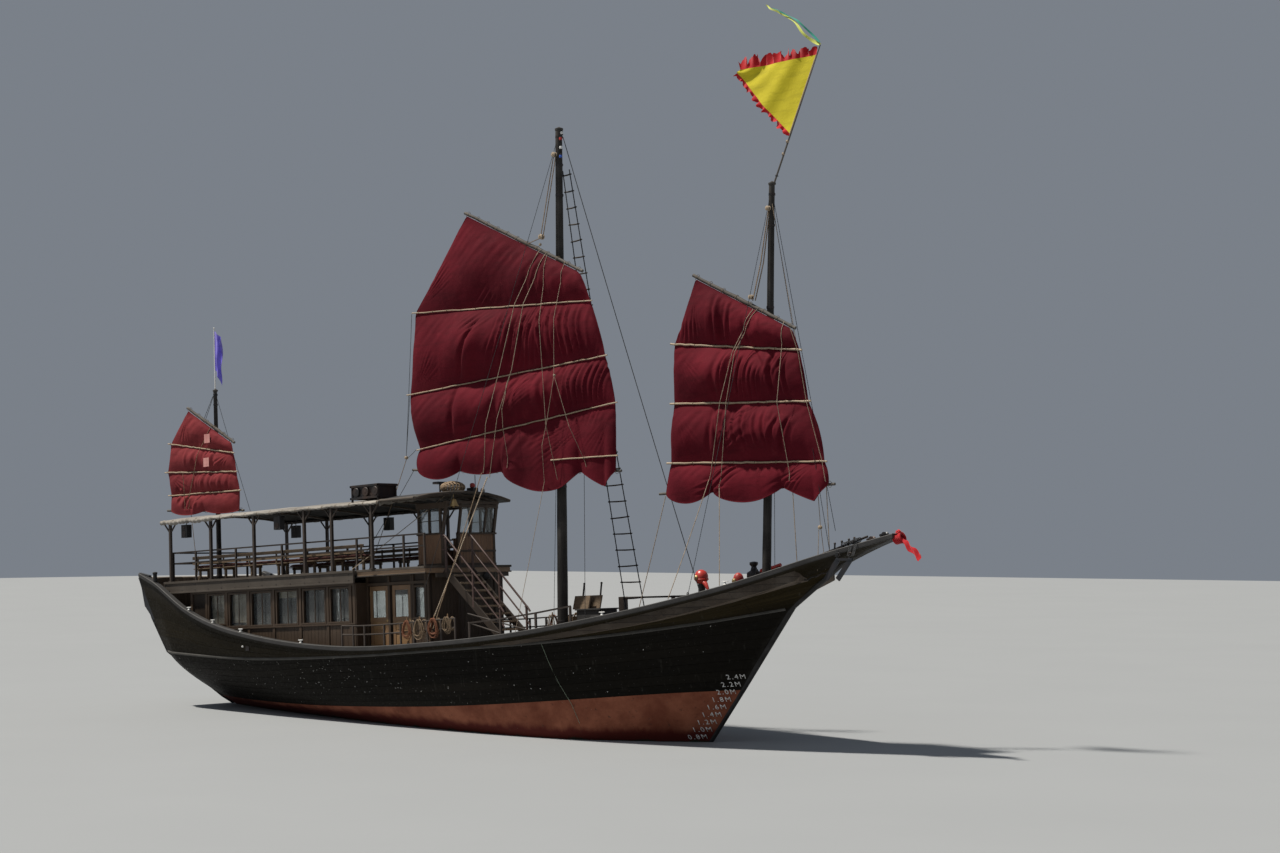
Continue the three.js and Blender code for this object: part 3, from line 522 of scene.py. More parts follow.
class Finish(Nodes):
    """A material of nodes. Patterns lie in the ship's level frame unless they follow a UV map."""

    def __init__(self, name, roughness=0.7, metallic=0.0, **sockets):
        self.material = bpy.data.materials.new(name)
        self.material.use_nodes = True
        self.tree = self.material.node_tree
        self.shader = self.tree.nodes["Principled BSDF"]
        self.shader.inputs["Roughness"].default_value = roughness
        self.shader.inputs["Metallic"].default_value = metallic
        for key, value in sockets.items():
            self.shader.inputs[key.replace("_", " ")].default_value = value

    def place(self, scale=(1, 1, 1)):
        found = self.out("ShaderNodeTexCoord", None, "Object")
        level = self.out("ShaderNodeMapping", {"Vector": found, "Rotation": (0, TRIM, 0)})
        return self.out("ShaderNodeMapping", {"Vector": level, "Scale": scale})

    def uv(self, scale=(1, 1, 1)):
        found = self.out("ShaderNodeUVMap", uv_map="laid")
        return self.out("ShaderNodeMapping", {"Vector": found, "Scale": scale})

    def part(self, vector, axis):
        return self.out("ShaderNodeSeparateXYZ", {0: vector}, axis)

    def noise(self, vector, scale, detail=5.0, roughness=0.55, distortion=0.0):
        return self.node("ShaderNodeTexNoise", {
            "Vector": vector, "Scale": scale, "Detail": detail, "Roughness": roughness,
            "Distortion": distortion}).outputs["Fac"]

    def white(self, vector):
        return self.out("ShaderNodeTexWhiteNoise", {"Vector": vector}, "Value")

    def span(self, value, low, high, start=0.0, end=1.0):
        """value from low..high to start..end, eased and clamped"""
        return self.node("ShaderNodeMapRange", {
            "Value": value, "From Min": low, "From Max": high, "To Min": start, "To Max": end},
            interpolation_type="SMOOTHSTEP").outputs[0]

    def blend(self, share, a, b, kind="MIX"):
        def full(c):
            return (*c, 1) if isinstance(c, tuple) and len(c) == 3 else c
        made = self.node("ShaderNodeMix", data_type="RGBA", blend_type=kind)
        for key, value in (("Factor_Float", share), ("A_Color", full(a)), ("B_Color", full(b))):
            socket = next(s for s in made.inputs if s.identifier == key)
            if isinstance(value, bpy.types.NodeSocket):
                self.tree.links.new(value, socket)
            else:
                socket.default_value = value
        return next(s for s in made.outputs if s.identifier == "Result_Color")

    def colour(self, value):
        self.tree.links.new(value, self.shader.inputs["Base Color"])
        return self

    def rough(self, value):
        self.tree.links.new(value, self.shader.inputs["Roughness"])
        return self

    def relief(self, height, depth, strength=0.6):
        bump = self.node("ShaderNodeBump", {"Height": height, "Distance": depth, "Strength": strength})
        self.tree.links.new(bump.outputs[0], self.shader.inputs["Normal"])
        return self


def worn_edges(finish, base, edge_colour, amount=0.6):
    """Paler wood where an edge sticks out"""
    geometry = finish.node("ShaderNodeNewGeometry")
    out = finish.span(geometry.outputs["Pointiness"], 0.52, 0.6, 0.0, amount)
    return finish.blend(out, base, edge_colour)


def timber(name, dark, light, grain, roughness, weather, pale, boards=None, gloss=0.0, relief=0.004):
    """Wood with grain along one axis, patches of weather and worn edges.
    boards is (axis, width) where it is laid in boards."""
    wood = Finish(name, roughness=roughness, Specular_IOR_Level=0.25)
    if gloss:
        wood.shader.inputs["Coat Weight"].default_value = gloss
        wood.shader.inputs["Coat Roughness"].default_value = 0.35
    fine = wood.noise(wood.place(tuple(6 * g for g in grain)), 1.0, 6, 0.65, 0.6)
    broad = wood.noise(wood.place(grain), 0.35, 3, 0.5, 1.2)
    tone = wood.blend(wood.span(fine, 0.25, 0.75), dark, light)
    patch = wood.span(wood.noise(wood.place(), 1.3, 6, 0.62), 0.42, 0.72, 0.0, weather)
    tone = wood.blend(patch, tone, pale)
    tone = wood.blend(wood.span(broad, 0.3, 0.75, 0.0, 0.45), tone, tuple(0.45 * c for c in dark))
    height = fine
    if boards:
        axis, width = boards
        run = wood.maths("DIVIDE", wood.part(wood.place(), axis), width)
        own = wood.maths("FLOOR", run)
        tone = wood.blend(wood.maths("MULTIPLY", wood.white(own), 0.4), tone, tuple(1.35 * c for c in light))
        gap = wood.maths("ABSOLUTE", wood.maths("SUBTRACT", wood.maths("FRACT", run), 0.5))
        joint = wood.span(gap, 0.455, 0.49)
        tone = wood.blend(joint, tone, BLACK_SEAM)
        height = wood.maths("SUBTRACT", wood.maths("MULTIPLY", fine, 0.25), joint)
    tone = worn_edges(wood, tone, pale, 0.45)
    return wood.colour(tone).relief(height, relief).rough(
        wood.span(fine, 0.2, 0.8, roughness - 0.12, min(roughness + 0.12, 1.0))).material


def painted(name, colour, roughness=0.5, dirt=(0.1, 0.08, 0.06), amount=0.5, metallic=0.0):
    coat = Finish(name, roughness=roughness, metallic=metallic)
    cloud = coat.noise(coat.place(), 2.2, 6, 0.65)
    tone = coat.blend(coat.span(cloud, 0.35, 0.8, 0.0, amount), colour, dirt)
    fine = coat.noise(coat.place(), 40, 4, 0.6)
    tone = coat.blend(coat.span(fine, 0.45, 0.75, 0.0, 0.35), tone, tuple(0.55 * c for c in colour))
    return coat.colour(tone).relief(fine, 0.002, 0.4).rough(
        coat.span(cloud, 0.3, 0.8, roughness - 0.08, min(roughness + 0.2, 1.0))).material


def cloth(name, dark, light, weave=900, roughness=0.85, fade=None, sheen=0.3, along_uv=True):
    """Woven cloth; fade is the colour of its worn areas"""
    fabric = Finish(name, roughness=roughness, Sheen_Weight=sheen, Sheen_Roughness=0.45,
                    Specular_IOR_Level=0.12)
    lay = fabric.uv() if along_uv else fabric.place()
    cloud = fabric.noise(fabric.place(), 0.55, 5, 0.6)
    tone = fabric.blend(fabric.span(cloud, 0.3, 0.72), dark, light)
    streak = fabric.noise(fabric.place((1.2, 1.2, 7)), 1.0, 5, 0.6)
    tone = fabric.blend(fabric.span(streak, 0.45, 0.75, 0.0, 0.35), tone, tuple(0.5 * c for c in dark))
    if fade:
        tone = fabric.blend(fabric.span(fabric.noise(fabric.place(), 2.4, 6, 0.7), 0.55, 0.8, 0.0, 0.35), tone,
                            fade)
    warp = fabric.node("ShaderNodeTexWave", {"Vector": lay, "Scale": weave / 20, "Distortion": 0.4},
                       bands_direction="X").outputs["Fac"]
    weft = fabric.node("ShaderNodeTexWave", {"Vector": lay, "Scale": weave / 20, "Distortion": 0.4},
                       bands_direction="Y").outputs["Fac"]
    threads = fabric.maths("ADD", warp, weft)
    crumple = fabric.noise(fabric.place(), 5.0, 5, 0.6, 0.8)
    height = fabric.maths("ADD", fabric.maths("MULTIPLY", threads, 0.02),
                          fabric.maths("MULTIPLY", crumple, 1.0))
    return fabric.colour(tone).relief(height, 0.02, 0.35).material


def rope_finish(name, dark, light):
    """Laid rope, with a slanting pattern of strands"""
    rope = Finish(name, roughness=0.9)
    where = rope.place()
    fine = rope.noise(where, 60, 4, 0.6)
    tone = rope.blend(rope.span(fine, 0.3, 0.7), dark, light)
    broad = rope.noise(where, 1.5, 4, 0.6)
    tone = rope.blend(rope.span(broad, 0.4, 0.75, 0.0, 0.45), tone, tuple(0.5 * c for c in dark))
    twist = rope.node("ShaderNodeTexWave", {
        "Vector": rope.place((1, 1, 1)), "Scale": 40.0, "Distortion": 0.5},
        bands_direction="DIAGONAL").outputs["Fac"]
    return rope.colour(tone).relief(twist, 0.003, 0.5).material


def glass_finish():
    pane = Finish("window_glass", roughness=0.04, metallic=0.0, Transmission_Weight=0.94, IOR=1.3)
    where = pane.place()
    smear = pane.noise(where, 1.8, 5, 0.6)
    pane.colour(pane.blend(pane.span(smear, 0.3, 0.8), (0.62, 0.66, 0.66), (0.82, 0.85, 0.85)))
    pane.rough(pane.span(pane.noise(where, 6, 5, 0.7), 0.3, 0.8, 0.01, 0.1))
    return pane.material


BLACK_SEAM = (0.004, 0.003, 0.003)
LENGTHWAYS, UPRIGHT = (0.6, 9, 9), (7, 7, 0.7)
# Woods. Columns: dark and light tone, grain, roughness, share of weathering, its tone, and what else is known.
WOODS = {
    "cap_rail": ((0.009, 0.0085, 0.008), (0.032, 0.031, 0.031), LENGTHWAYS, 0.62, 0.4, (0.085, 0.082, 0.082),
                 {}),
    "dark_wall": ((0.009, 0.006, 0.004), (0.03, 0.019, 0.012), UPRIGHT, 0.6, 0.2, (0.07, 0.055, 0.045), {}),
    "window_frame": ((0.014, 0.009, 0.006), (0.05, 0.03, 0.018), UPRIGHT, 0.5, 0.25, (0.12, 0.085, 0.06), {}),
    "edge_board": ((0.02, 0.015, 0.011), (0.055, 0.043, 0.034), LENGTHWAYS, 0.72, 0.45, (0.13, 0.11, 0.092),
                   {}),
    "door": ((0.1, 0.048, 0.018), (0.24, 0.128, 0.056), UPRIGHT, 0.45, 0.15, (0.3, 0.2, 0.12), {"gloss": 0.25}),
    "door_panel": ((0.14, 0.065, 0.022), (0.28, 0.15, 0.055), UPRIGHT, 0.4, 0.1, (0.34, 0.23, 0.13),
                   {"gloss": 0.3}),
    "bench": ((0.07, 0.04, 0.02), (0.17, 0.11, 0.062), LENGTHWAYS, 0.6, 0.3, (0.21, 0.165, 0.12), {}),
    "deck": ((0.06, 0.044, 0.032), (0.155, 0.122, 0.094), LENGTHWAYS, 0.85, 0.5, (0.21, 0.19, 0.16),
             {"boards": (1, 0.14)}),
    "wheelhouse": ((0.085, 0.042, 0.022), (0.22, 0.115, 0.06), UPRIGHT, 0.55, 0.3, (0.28, 0.18, 0.12),
                   {"boards": (1, 0.13)}),
    "varnished": ((0.13, 0.07, 0.035), (0.3, 0.18, 0.095), LENGTHWAYS, 0.45, 0.2, (0.36, 0.26, 0.18),
                  {"gloss": 0.25}),
    "rail": ((0.012, 0.009, 0.008), (0.04, 0.03, 0.025), LENGTHWAYS, 0.6, 0.35, (0.1, 0.08, 0.068), {}),
    "stair_rail": ((0.03, 0.014, 0.012), (0.085, 0.048, 0.042), LENGTHWAYS, 0.5, 0.3, (0.14, 0.1, 0.09), {}),
    "tread": ((0.1, 0.065, 0.04), (0.23, 0.165, 0.11), (9, 0.6, 9), 0.7, 0.35, (0.3, 0.25, 0.19), {}),
    "mast": ((0.011, 0.0095, 0.0085), (0.04, 0.036, 0.033), (9, 9, 0.25), 0.6, 0.35, (0.1, 0.092, 0.084), {}),
    "spar": ((0.03, 0.025, 0.02), (0.1, 0.084, 0.07), (0.6, 9, 5), 0.7, 0.35, (0.17, 0.155, 0.14), {}),
    "batten": ((0.2, 0.135, 0.08), (0.41, 0.31, 0.21), (0.8, 9, 9), 0.6, 0.3, (0.5, 0.42, 0.32), {}),
    "ceiling": ((0.035, 0.024, 0.016), (0.085, 0.06, 0.042), LENGTHWAYS, 0.7, 0.25, (0.12, 0.1, 0.08),
                {"boards": (1, 0.12)}),
}
(CAP_WOOD, DARK_WOOD, FRAME_WOOD, FASCIA_WOOD, HONEY_WOOD, PANEL_WOOD, BENCH_WOOD, DECK_WOOD, HOUSE_WOOD,
 VARNISHED,
 RAIL_WOOD, STAIR_RAIL_WOOD, TREAD_WOOD, MAST_WOOD, SPAR_WOOD, BATTEN_WOOD, CEILING_WOOD) = (
    timber(name + "_wood", *row[:-1], **row[-1]) for name, row in WOODS.items())
TAN_ROPE = rope_finish("tan_rope", (0.13, 0.085, 0.05), (0.33, 0.24, 0.155))
PALE_ROPE = rope_finish("pale_rope", (0.24, 0.185, 0.13), (0.46, 0.37, 0.28))
DARK_ROPE = rope_finish("dark_rope", (0.025, 0.026, 0.028), (0.075, 0.078, 0.085))
WHITE_PAINT = painted("white_paint", (0.72, 0.72, 0.7), 0.45, (0.3, 0.25, 0.18), 0.35)
BLACK_IRON = painted("black_iron", (0.025, 0.026, 0.028), 0.45, (0.12, 0.06, 0.035), 0.45, metallic=0.5)
STEEL_BLUE = painted("anchor_steel", (0.008, 0.011, 0.017), 0.6, (0.035, 0.02, 0.015), 0.45, metallic=0.2)
RED_PAINT = painted("red_paint", (0.45, 0.035, 0.025), 0.4, (0.15, 0.02, 0.015), 0.4)
GREEN_PAINT = painted("green_paint", (0.03, 0.22, 0.12), 0.4, (0.05, 0.08, 0.05), 0.3)
BLUE_PAINT = painted("blue_paint", (0.03, 0.1, 0.45), 0.4, (0.03, 0.05, 0.12), 0.3)
BRONZE = painted("bronze", (0.48, 0.33, 0.15), 0.45, (0.16, 0.17, 0.1), 0.45, metallic=0.7)
BLIND = cloth("blind_cloth", (0.33, 0.26, 0.17), (0.5, 0.42, 0.3), 600, along_uv=False)
BLACK_RUBBER = painted("black_rubber", (0.018, 0.018, 0.02), 0.75, (0.08, 0.07, 0.06), 0.4)
MAIN_CLOTH = cloth("red_sail_cloth", (0.066, 0.0028, 0.008), (0.112, 0.0055, 0.013), 900, 0.85,
                   fade=(0.19, 0.024, 0.031), sheen=0.0)
MIZZEN_CLOTH = cloth("brick_sail_cloth", (0.125, 0.015, 0.02), (0.2, 0.03, 0.034), 900, 0.85,
                     fade=(0.3, 0.085, 0.082), sheen=0.0)
PATCH_CLOTH = cloth("patch_cloth", (0.42, 0.15, 0.14), (0.55, 0.25, 0.23), 900, 0.85)
AWNING_CLOTH = cloth("awning_canvas_cloth", (0.165, 0.15, 0.132), (0.31, 0.285, 0.25), 700, 0.9,
                     fade=(0.1, 0.085, 0.07), along_uv=False)
# The awning's canvas where it faces down, painted near-black as shade
AWNING_UNDERSIDE_SHADE = cloth("awning_underside_painted_shade", (0.01, 0.0092, 0.0085), (0.024, 0.021, 0.019), 700, 0.9,
                      fade=(0.045, 0.04, 0.035), along_uv=False, sheen=0.0)
CUSHION_CLOTH = cloth("cushion_cloth", (0.07, 0.018, 0.013), (0.13, 0.038, 0.026), 700, 0.85,
                      fade=(0.19, 0.08, 0.06), along_uv=False)
YELLOW_CLOTH = cloth("yellow_flag_cloth", (0.5, 0.42, 0.012), (0.68, 0.58, 0.03), 900, 0.8)
PALE_STREAMER = cloth("pale_streamer_cloth", (0.5, 0.55, 0.12), (0.66, 0.7, 0.2), 900, 0.8)
GREEN_STREAMER = cloth("green_streamer_cloth", (0.03, 0.22, 0.17), (0.06, 0.34, 0.26), 900, 0.8)
RED_CLOTH = cloth("red_flag_cloth", (0.36, 0.008, 0.014), (0.56, 0.02, 0.024), 900, 0.8)
PURPLE_CLOTH = cloth("purple_flag_cloth", (0.13, 0.1, 0.48), (0.21, 0.18, 0.72), 900, 0.8)
GLASS = glass_finish()


# Lines of the hull from the stern to the stem, in metres. Columns: x, half-breadth y, z.

KEEL, TUCK, BILGE, BOOT, STRAKE, UPPER, CAP = range(7)
HULL_LINES = [
    [(-10.9, 0.09, -1.33), (-4, 0.12, -1.25), (3, 0.12, -1.15), (6.6, 0.1, -1.1), (7.45, 0.06, -1.06)],
    [(-10.9, 0.14, -0.1), (-8, 0.3, -0.55), (-4, 0.85, -0.8), (0, 1.3, -0.9), (3, 1.35, -0.88),
     (5.5, 0.85, -0.85), (7.6, 0.07, -0.8)],
    [(-12.25, 0.2, 0.7), (-9.67, 0.77, 0.51), (-6.69, 1.3, 0.33), (-2.22, 2.02, 0.1), (1.36, 2.25, -0.05),
     (4.28, 2.02, -0.2), (6.31, 1.1, -0.33), (7.93, 0.06, -0.42)],
    [(-12.45, 0.5, 0.95), (-9.3, 1.55, 0.83), (-5.9, 2.2, 0.72), (-3, 2.52, 0.69), (0, 2.66, 0.7),
     (2.1, 2.62, 0.75), (4.3, 2.32, 0.83), (7.4, 1.1, 0.95), (9.13, 0.06, 0.98)],
    [(-13.3, 2.05, 2.5), (-12.4, 2.44, 2.42), (-8, 2.8, 2.18), (-3.2, 2.98, 2.19), (0.3, 2.97, 2.29),
     (5, 2.52, 2.47), (8.5, 1.45, 2.76), (10.9, 0.06, 3.1)],
    [(-13.6, 2.4, 3.6), (-12.5, 2.69, 3.5), (-9.5, 2.93, 2.85), (-5.9, 3, 2.37), (-2.9, 3.06, 2.27),
     (0.4, 3.05, 2.35), (3, 2.86, 2.48), (5.5, 2.52, 2.69), (8, 1.85, 3.03), (10.5, 0.95, 3.5),
     (12.6, 0.07, 4.2)],
    [(-13.95, 2.64, 5.09), (-12.9, 2.77, 4.72), (-11.3, 2.89, 3.89), (-9.86, 2.97, 3.38), (-8.3, 3.03, 3.03),
     (-5.84, 3.05, 2.67), (-2.9, 3.11, 2.48), (0.42, 3.09, 2.55), (3.03, 2.97, 2.7), (5.05, 2.77, 2.92),
     (7.67, 2.29, 3.31), (10.07, 1.57, 3.81), (12.36, 0.75, 4.44), (14.25, 0.15, 4.88)],
]
DECK_LINE = [(-12.95, 3.4), (-12.2, 2.9), (-11.5, 2.45), (-10.5, 2.33), (-9, 2.21), (-3, 2.15), (1, 2.25),
             (4, 2.45), (7.5, 2.85), (10, 3.35), (11.7, 3.8)]
DECK_AFT, DECK_FORE, POOP_AFT, POOP_DECK = -12.95, 11.65, -13.75, 4.52
DECK_STATIONS = 26
BULWARK, CAP_HEIGHT, CAP_WIDTH = 0.11, 0.13, 0.21
PLANKS_BELOW_STRAKE, PLANKS_ABOVE = 8, 2
SEAM_HALF, SEAM_DEPTH = 0.007, 0.007


def along(points, x, column):
    """The value of a line at x, on cubics with the slopes of their neighbours"""
    last = len(points) - 1
    if x <= points[0][0]:
        return points[0][column]
    if x >= points[last][0]:
        return points[last][column]
    i = next(k for k in range(last) if x <= points[k + 1][0])

    def slope(k):
        a, b = points[max(k - 1, 0)], points[min(k + 1, last)]
        return (b[column] - a[column]) / (b[0] - a[0])

    p, q = points[i], points[i + 1]
    span = q[0] - p[0]
    return cubic(p[column], q[column], slope(i), slope(i + 1), span, (x - p[0]) / span)


def line_point(line, share):
    points = HULL_LINES[line]
    x = lerp(points[0][0], points[-1][0], share)
    return vec(x, along(points, x, 1), along(points, x, 2))


def cap_share(x):
    return (x - HULL_LINES[CAP][0][0]) / (HULL_LINES[CAP][-1][0] - HULL_LINES[CAP][0][0])


def cap_at(x, up=0.0, side=STARBOARD):
    """The middle of the cap's top at x"""
    return (x, side * (along(HULL_LINES[CAP], x, 1) - BULWARK / 2), along(HULL_LINES[CAP], x, 2) + up)


def deck_height(x):
    spot = (x - DECK_AFT) / (DECK_FORE - DECK_AFT) * DECK_STATIONS
    i = int(clamp(math.floor(spot), 0, DECK_STATIONS - 1))
    ends = [along(DECK_LINE, lerp(DECK_AFT, DECK_FORE, k / DECK_STATIONS), 1) for k in (i, i + 1)]
    return lerp(*ends, spot - i)


def girth(share):
    """Points up one side, each with its plank number and whether it lies in a seam"""
    knots = [line_point(line, share) for line in range(7)]
    knots[CAP].z -= CAP_HEIGHT
    spans = [max((b - a).length, 1e-4) for a, b in zip(knots, knots[1:])]

    def slope(i):
        if i == 0:
            return (knots[1] - knots[0]) / spans[0]
        if i == 6:
            return (knots[6] - knots[5]) / spans[5]
        a, b = (knots[i] - knots[i - 1]) / spans[i - 1], (knots[i + 1] - knots[i]) / spans[i]
        return (a * spans[i] + b * spans[i - 1]) / (spans[i - 1] + spans[i])

    def at(i, t):
        return cubic(knots[i], knots[i + 1], slope(i), slope(i + 1), spans[i], t)

    rows, plank = [], 0
    for i, count in enumerate((4, 5, 6, PLANKS_BELOW_STRAKE, PLANKS_ABOVE, PLANKS_ABOVE)):
        gap = min(SEAM_HALF / spans[i], 0.2 / count)
        for k in range(count):
            t = k / count
            if i >= BOOT:
                inset = at(i, t)
                inset.y -= min(SEAM_DEPTH, inset.y * 0.1)
                if t > 0 or i > BOOT:
                    rows.append((at(i, t - gap) if t > 0 else at(i - 1, 1 - gap), plank - 0.04))
                rows.append((inset, plank))
                rows.append((at(i, t + gap), plank + 0.04))
                if i == BOOT:
                    rows.append((at(i, t + 0.5 / count), plank + 0.5))
            else:
                rows.append((at(i, t), plank))
            plank += 1
    rows.append((knots[CAP], plank))
    return rows


def hull_shares():
    """Shares of the length with the steps where a deck begins and ends. Columns: share, kind of deck."""
    step = 0.004
    poop, aft, fore = cap_share(POOP_AFT), cap_share(DECK_AFT), cap_share(DECK_FORE)
    rows = [(0, None), (poop - step, None), (poop, "poop"), (aft - step, "poop")]
    rows += [(cap_share(lerp(DECK_AFT, DECK_FORE, k / (5 * DECK_STATIONS))), "deck")
             for k in range(5 * DECK_STATIONS + 1)]
    return rows + [(fore + step, None)] + [(lerp(fore + step, 1, k / 14), None) for k in range(1, 15)]


def breadth_inside(ring, z):
    """The half-breadth of a ring of the planking at a height"""
    for (a, _), (b, _) in zip(ring, ring[1:]):
        if a.z <= z <= b.z:
            return lerp(a.y, b.y, (z - a.z) / max(b.z - a.z, 1e-6))
    return ring[-1][0].y


def hull():
    """The planked hull as one closed body, with its patterns laid along the planks"""
    shape, laid, rings = Shape(), [], []
    for share, kind in hull_shares():
        side = girth(share)
        top = side[-1][0]
        inner = min(top.y - BULWARK, top.y * 0.6)
        if kind is None:
            inside = [(top.x, inner, top.z), (top.x, inner * 0.6, top.z)]
        else:
            floor = POOP_DECK if kind == "poop" else deck_height(top.x)
            wide = min(top.y, breadth_inside(side, floor)) - BULWARK
            inside = [(top.x, top.y - BULWARK, top.z), (top.x, wide, floor)]
        half = [tuple(p) for p, _ in side] + inside
        rings.append(half + [(x, -y, z) for x, y, z in reversed(half)])
        laid.append([v for _, v in side])
    count, planked = len(rings[0]), len(laid[0])
    mid = count // 2
    boot_row = next(j for j, v in enumerate(laid[0]) if v >= 15)
    shape.points = [p for ring in rings for p in ring]
    uv = []
    for i in range(len(rings) - 1):
        for j in range(count):
            k = (j + 1) % count
            low = min(j, count - 1 - k) if j != mid - 1 and j != count - 1 else j
            shape.faces.append([i * count + j, i * count + k, (i + 1) * count + k, (i + 1) * count + j])
            if j == mid - 1:
                mark = 2
            elif j == count - 1 or low < boot_row:
                mark = 1
            elif low >= planked - 1:
                mark = 3
            else:
                mark = 0
            shape.marks.append(mark)
            for row, column in ((i, j), (i, k), (i + 1, k), (i + 1, j)):
                near = min(column, count - 1 - column)
                v = laid[row][near] if near < planked else planked
                uv.append((rings[row][column][0], v if column < mid else v + 40))
    shoulder = planked - 2
    for end, ring in ((0, 0), (len(rings) - 1, (len(rings) - 1) * count)):
        for j in range(shoulder):
            face = [ring + j, ring + j + 1, ring + count - 2 - j, ring + count - 1 - j]
            shape.faces.append(face if end else face[::-1])
            shape.marks.append(1 if j < boot_row else 4)
            uv += [(0, 0)] * 4
        face = list(range(ring + shoulder, ring + count - shoulder))
        shape.faces.append(face if end else face[::-1])
        shape.marks.append(4)
        uv += [(0, 0)] * len(face)
    mesh = bpy.data.meshes.new("hull_planked")
    mesh.from_pydata(shape.points, [], shape.faces)
    mesh.polygons.foreach_set("material_index", shape.marks)
    mesh.uv_layers.new(name="laid").data.foreach_set("uv", [c for pair in uv for c in pair])
    outward(mesh)
    tree = BVHTree.FromPolygons([Vector(p) for p in shape.points], shape.faces)
    place(linked("hull_planked", mesh), [hull_planks(), bottom_paint(), DECK_WOOD, inside_planks(),
                                         transom_planks()], SHIP, "planks",
          replaced=["hull"], smooth=28)
    return tree


def hull_planks():
    """Near-black planks, each with its own tone, worn olive-brown above the strake, that band made stronger
    towards the bow as painted light, and the flaring planks below the cap darkened as painted shade
    """
    wood = Finish("hull_planks", roughness=0.65, Specular_IOR_Level=0.08)
    lay = wood.uv()
    run, plank = wood.part(lay, 0), wood.part(lay, 1)
    own = wood.maths("FLOOR", plank)
    shift = wood.maths("MULTIPLY", wood.white(own), 5.3)
    butt = wood.maths("FRACT", wood.maths("DIVIDE", wood.maths("ADD", run, shift), 5.3))
    board = wood.maths("FLOOR", wood.maths("DIVIDE", wood.maths("ADD", run, shift), 5.3))
    tone_of = wood.white(wood.node("ShaderNodeCombineXYZ", {0: own, 1: board}).outputs[0])
    grain = wood.noise(wood.uv((0.7, 26, 1)), 1.0, 7, 0.65, 0.4)
    fine = wood.noise(wood.place(), 14, 6, 0.7)
    tone = wood.blend(wood.span(grain, 0.3, 0.75), (0.002, 0.0016, 0.001), (0.0075, 0.006, 0.004))
    tone = wood.blend(wood.maths("MULTIPLY", tone_of, 0.5), tone, (0.0105, 0.0085, 0.0058))
    where = wood.place()
    # The olive-brown band is the planks' weathered tone; its growth towards the bow is painted light on the bow
    fore = wood.span(wood.part(where, 0), -3.0, 5.0, 0.55, 1.0)
    high = wood.span(plank, 22.8, 23.6)
    side_mirror = wood.span(plank, 62.8, 63.6)
    near = wood.maths("MAXIMUM", wood.maths("MULTIPLY", high, wood.span(plank, 30, 31, 1, 0)), side_mirror)
    olive_band_and_bow_light = wood.maths("MULTIPLY", fore, near)
    olive = wood.blend(wood.span(grain, 0.3, 0.7), (0.0085, 0.006, 0.0022), (0.034, 0.0245, 0.0095))
    tone = wood.blend(olive_band_and_bow_light, tone, olive)
    # Painted shade: the planks from the upper line to the cap flare out and face down, so they are darkened
    flare_shade = wood.maths("MAXIMUM", wood.maths("MULTIPLY", wood.span(plank, 24.9, 25.1),
                                             wood.span(plank, 30, 31, 1, 0)),
                       wood.span(plank, 64.9, 65.1))
    tone = wood.blend(wood.maths("MULTIPLY", flare_shade, 0.5), tone, (0.006, 0.0045, 0.0015))
    drip = wood.noise(wood.place((9, 9, 0.35)), 1.0, 5, 0.6)
    stain = wood.maths("MULTIPLY", wood.span(drip, 0.6, 0.74), wood.span(fine, 0.35, 0.65, 0.3, 1.0))
    tone = wood.blend(wood.maths("MULTIPLY", stain, 0.22), tone, (0.12, 0.115, 0.1))
    salt = wood.span(wood.noise(wood.place(), 3.1, 7, 0.7), 0.56, 0.8, 0.0, 0.16)
    tone = wood.blend(salt, tone, (0.065, 0.062, 0.056))
    joint = wood.maths("MAXIMUM", wood.span(butt, 0.0, 0.002, 1.0, 0.0), wood.span(butt, 0.998, 1.0))
    tone = wood.blend(joint, tone, BLACK_SEAM)
    tone = worn_edges(wood, tone, (0.045, 0.042, 0.038), 0.4)
    height = wood.maths("SUBTRACT", grain, wood.maths("MULTIPLY", joint, 2.0))
    return wood.colour(tone).relief(height, 0.006, 0.5).rough(
        wood.span(fine, 0.25, 0.75, 0.45, 0.78)).material


def bottom_paint():
    """Brick-red paint, mottled and chipped, darkened towards the water as painted shade under the flare, and
    dark green at the water and below it
    """
    coat = Finish("bottom_paint", roughness=0.8, Specular_IOR_Level=0.2)
    where = coat.place()
    cloud = coat.noise(where, 1.1, 7, 0.68)
    tone = coat.blend(coat.span(cloud, 0.3, 0.72), (0.155, 0.042, 0.022), (0.3, 0.105, 0.058))
    height = coat.part(coat.node("ShaderNodeTexCoord").outputs["Object"], 2)
    edge = coat.noise(coat.place((2.2, 2.2, 0.5)), 1.0, 5, 0.6)
    level = coat.maths("ADD", height, coat.maths("MULTIPLY", coat.maths("SUBTRACT", edge, 0.5), 0.35))
    # Painted shade: darker downwards from about 0.42 m to 0.2 m, where the flared side faces down
    tone = coat.blend(coat.span(level, 0.42, 0.2), tone, (0.085, 0.012, 0.008))
    tone = coat.blend(coat.span(level, 0.06, -0.02), tone, (0.02, 0.026, 0.014))
    chips = coat.span(coat.noise(where, 8.5, 7, 0.72), 0.6, 0.66, 0.0, 0.75)
    tone = coat.blend(chips, tone, (0.07, 0.035, 0.022))
    pale = coat.span(coat.noise(where, 17, 6, 0.7), 0.66, 0.72, 0.0, 0.5)
    tone = coat.blend(pale, tone, (0.38, 0.25, 0.19))
    return coat.colour(tone).relief(coat.noise(where, 22, 6, 0.7), 0.006, 0.5).material


def inside_planks():
    return timber("bulwark_inside", (0.03, 0.022, 0.016), (0.085, 0.065, 0.048), LENGTHWAYS, 0.75, 0.4,
                  (0.16, 0.14, 0.12), boards=(2, 0.17))


def transom_planks():
    return timber("transom_planks", (0.01, 0.01, 0.011), (0.03, 0.031, 0.034), (8, 0.5, 8), 0.65, 0.35,
                  (0.075, 0.08, 0.09), boards=(2, 0.19))


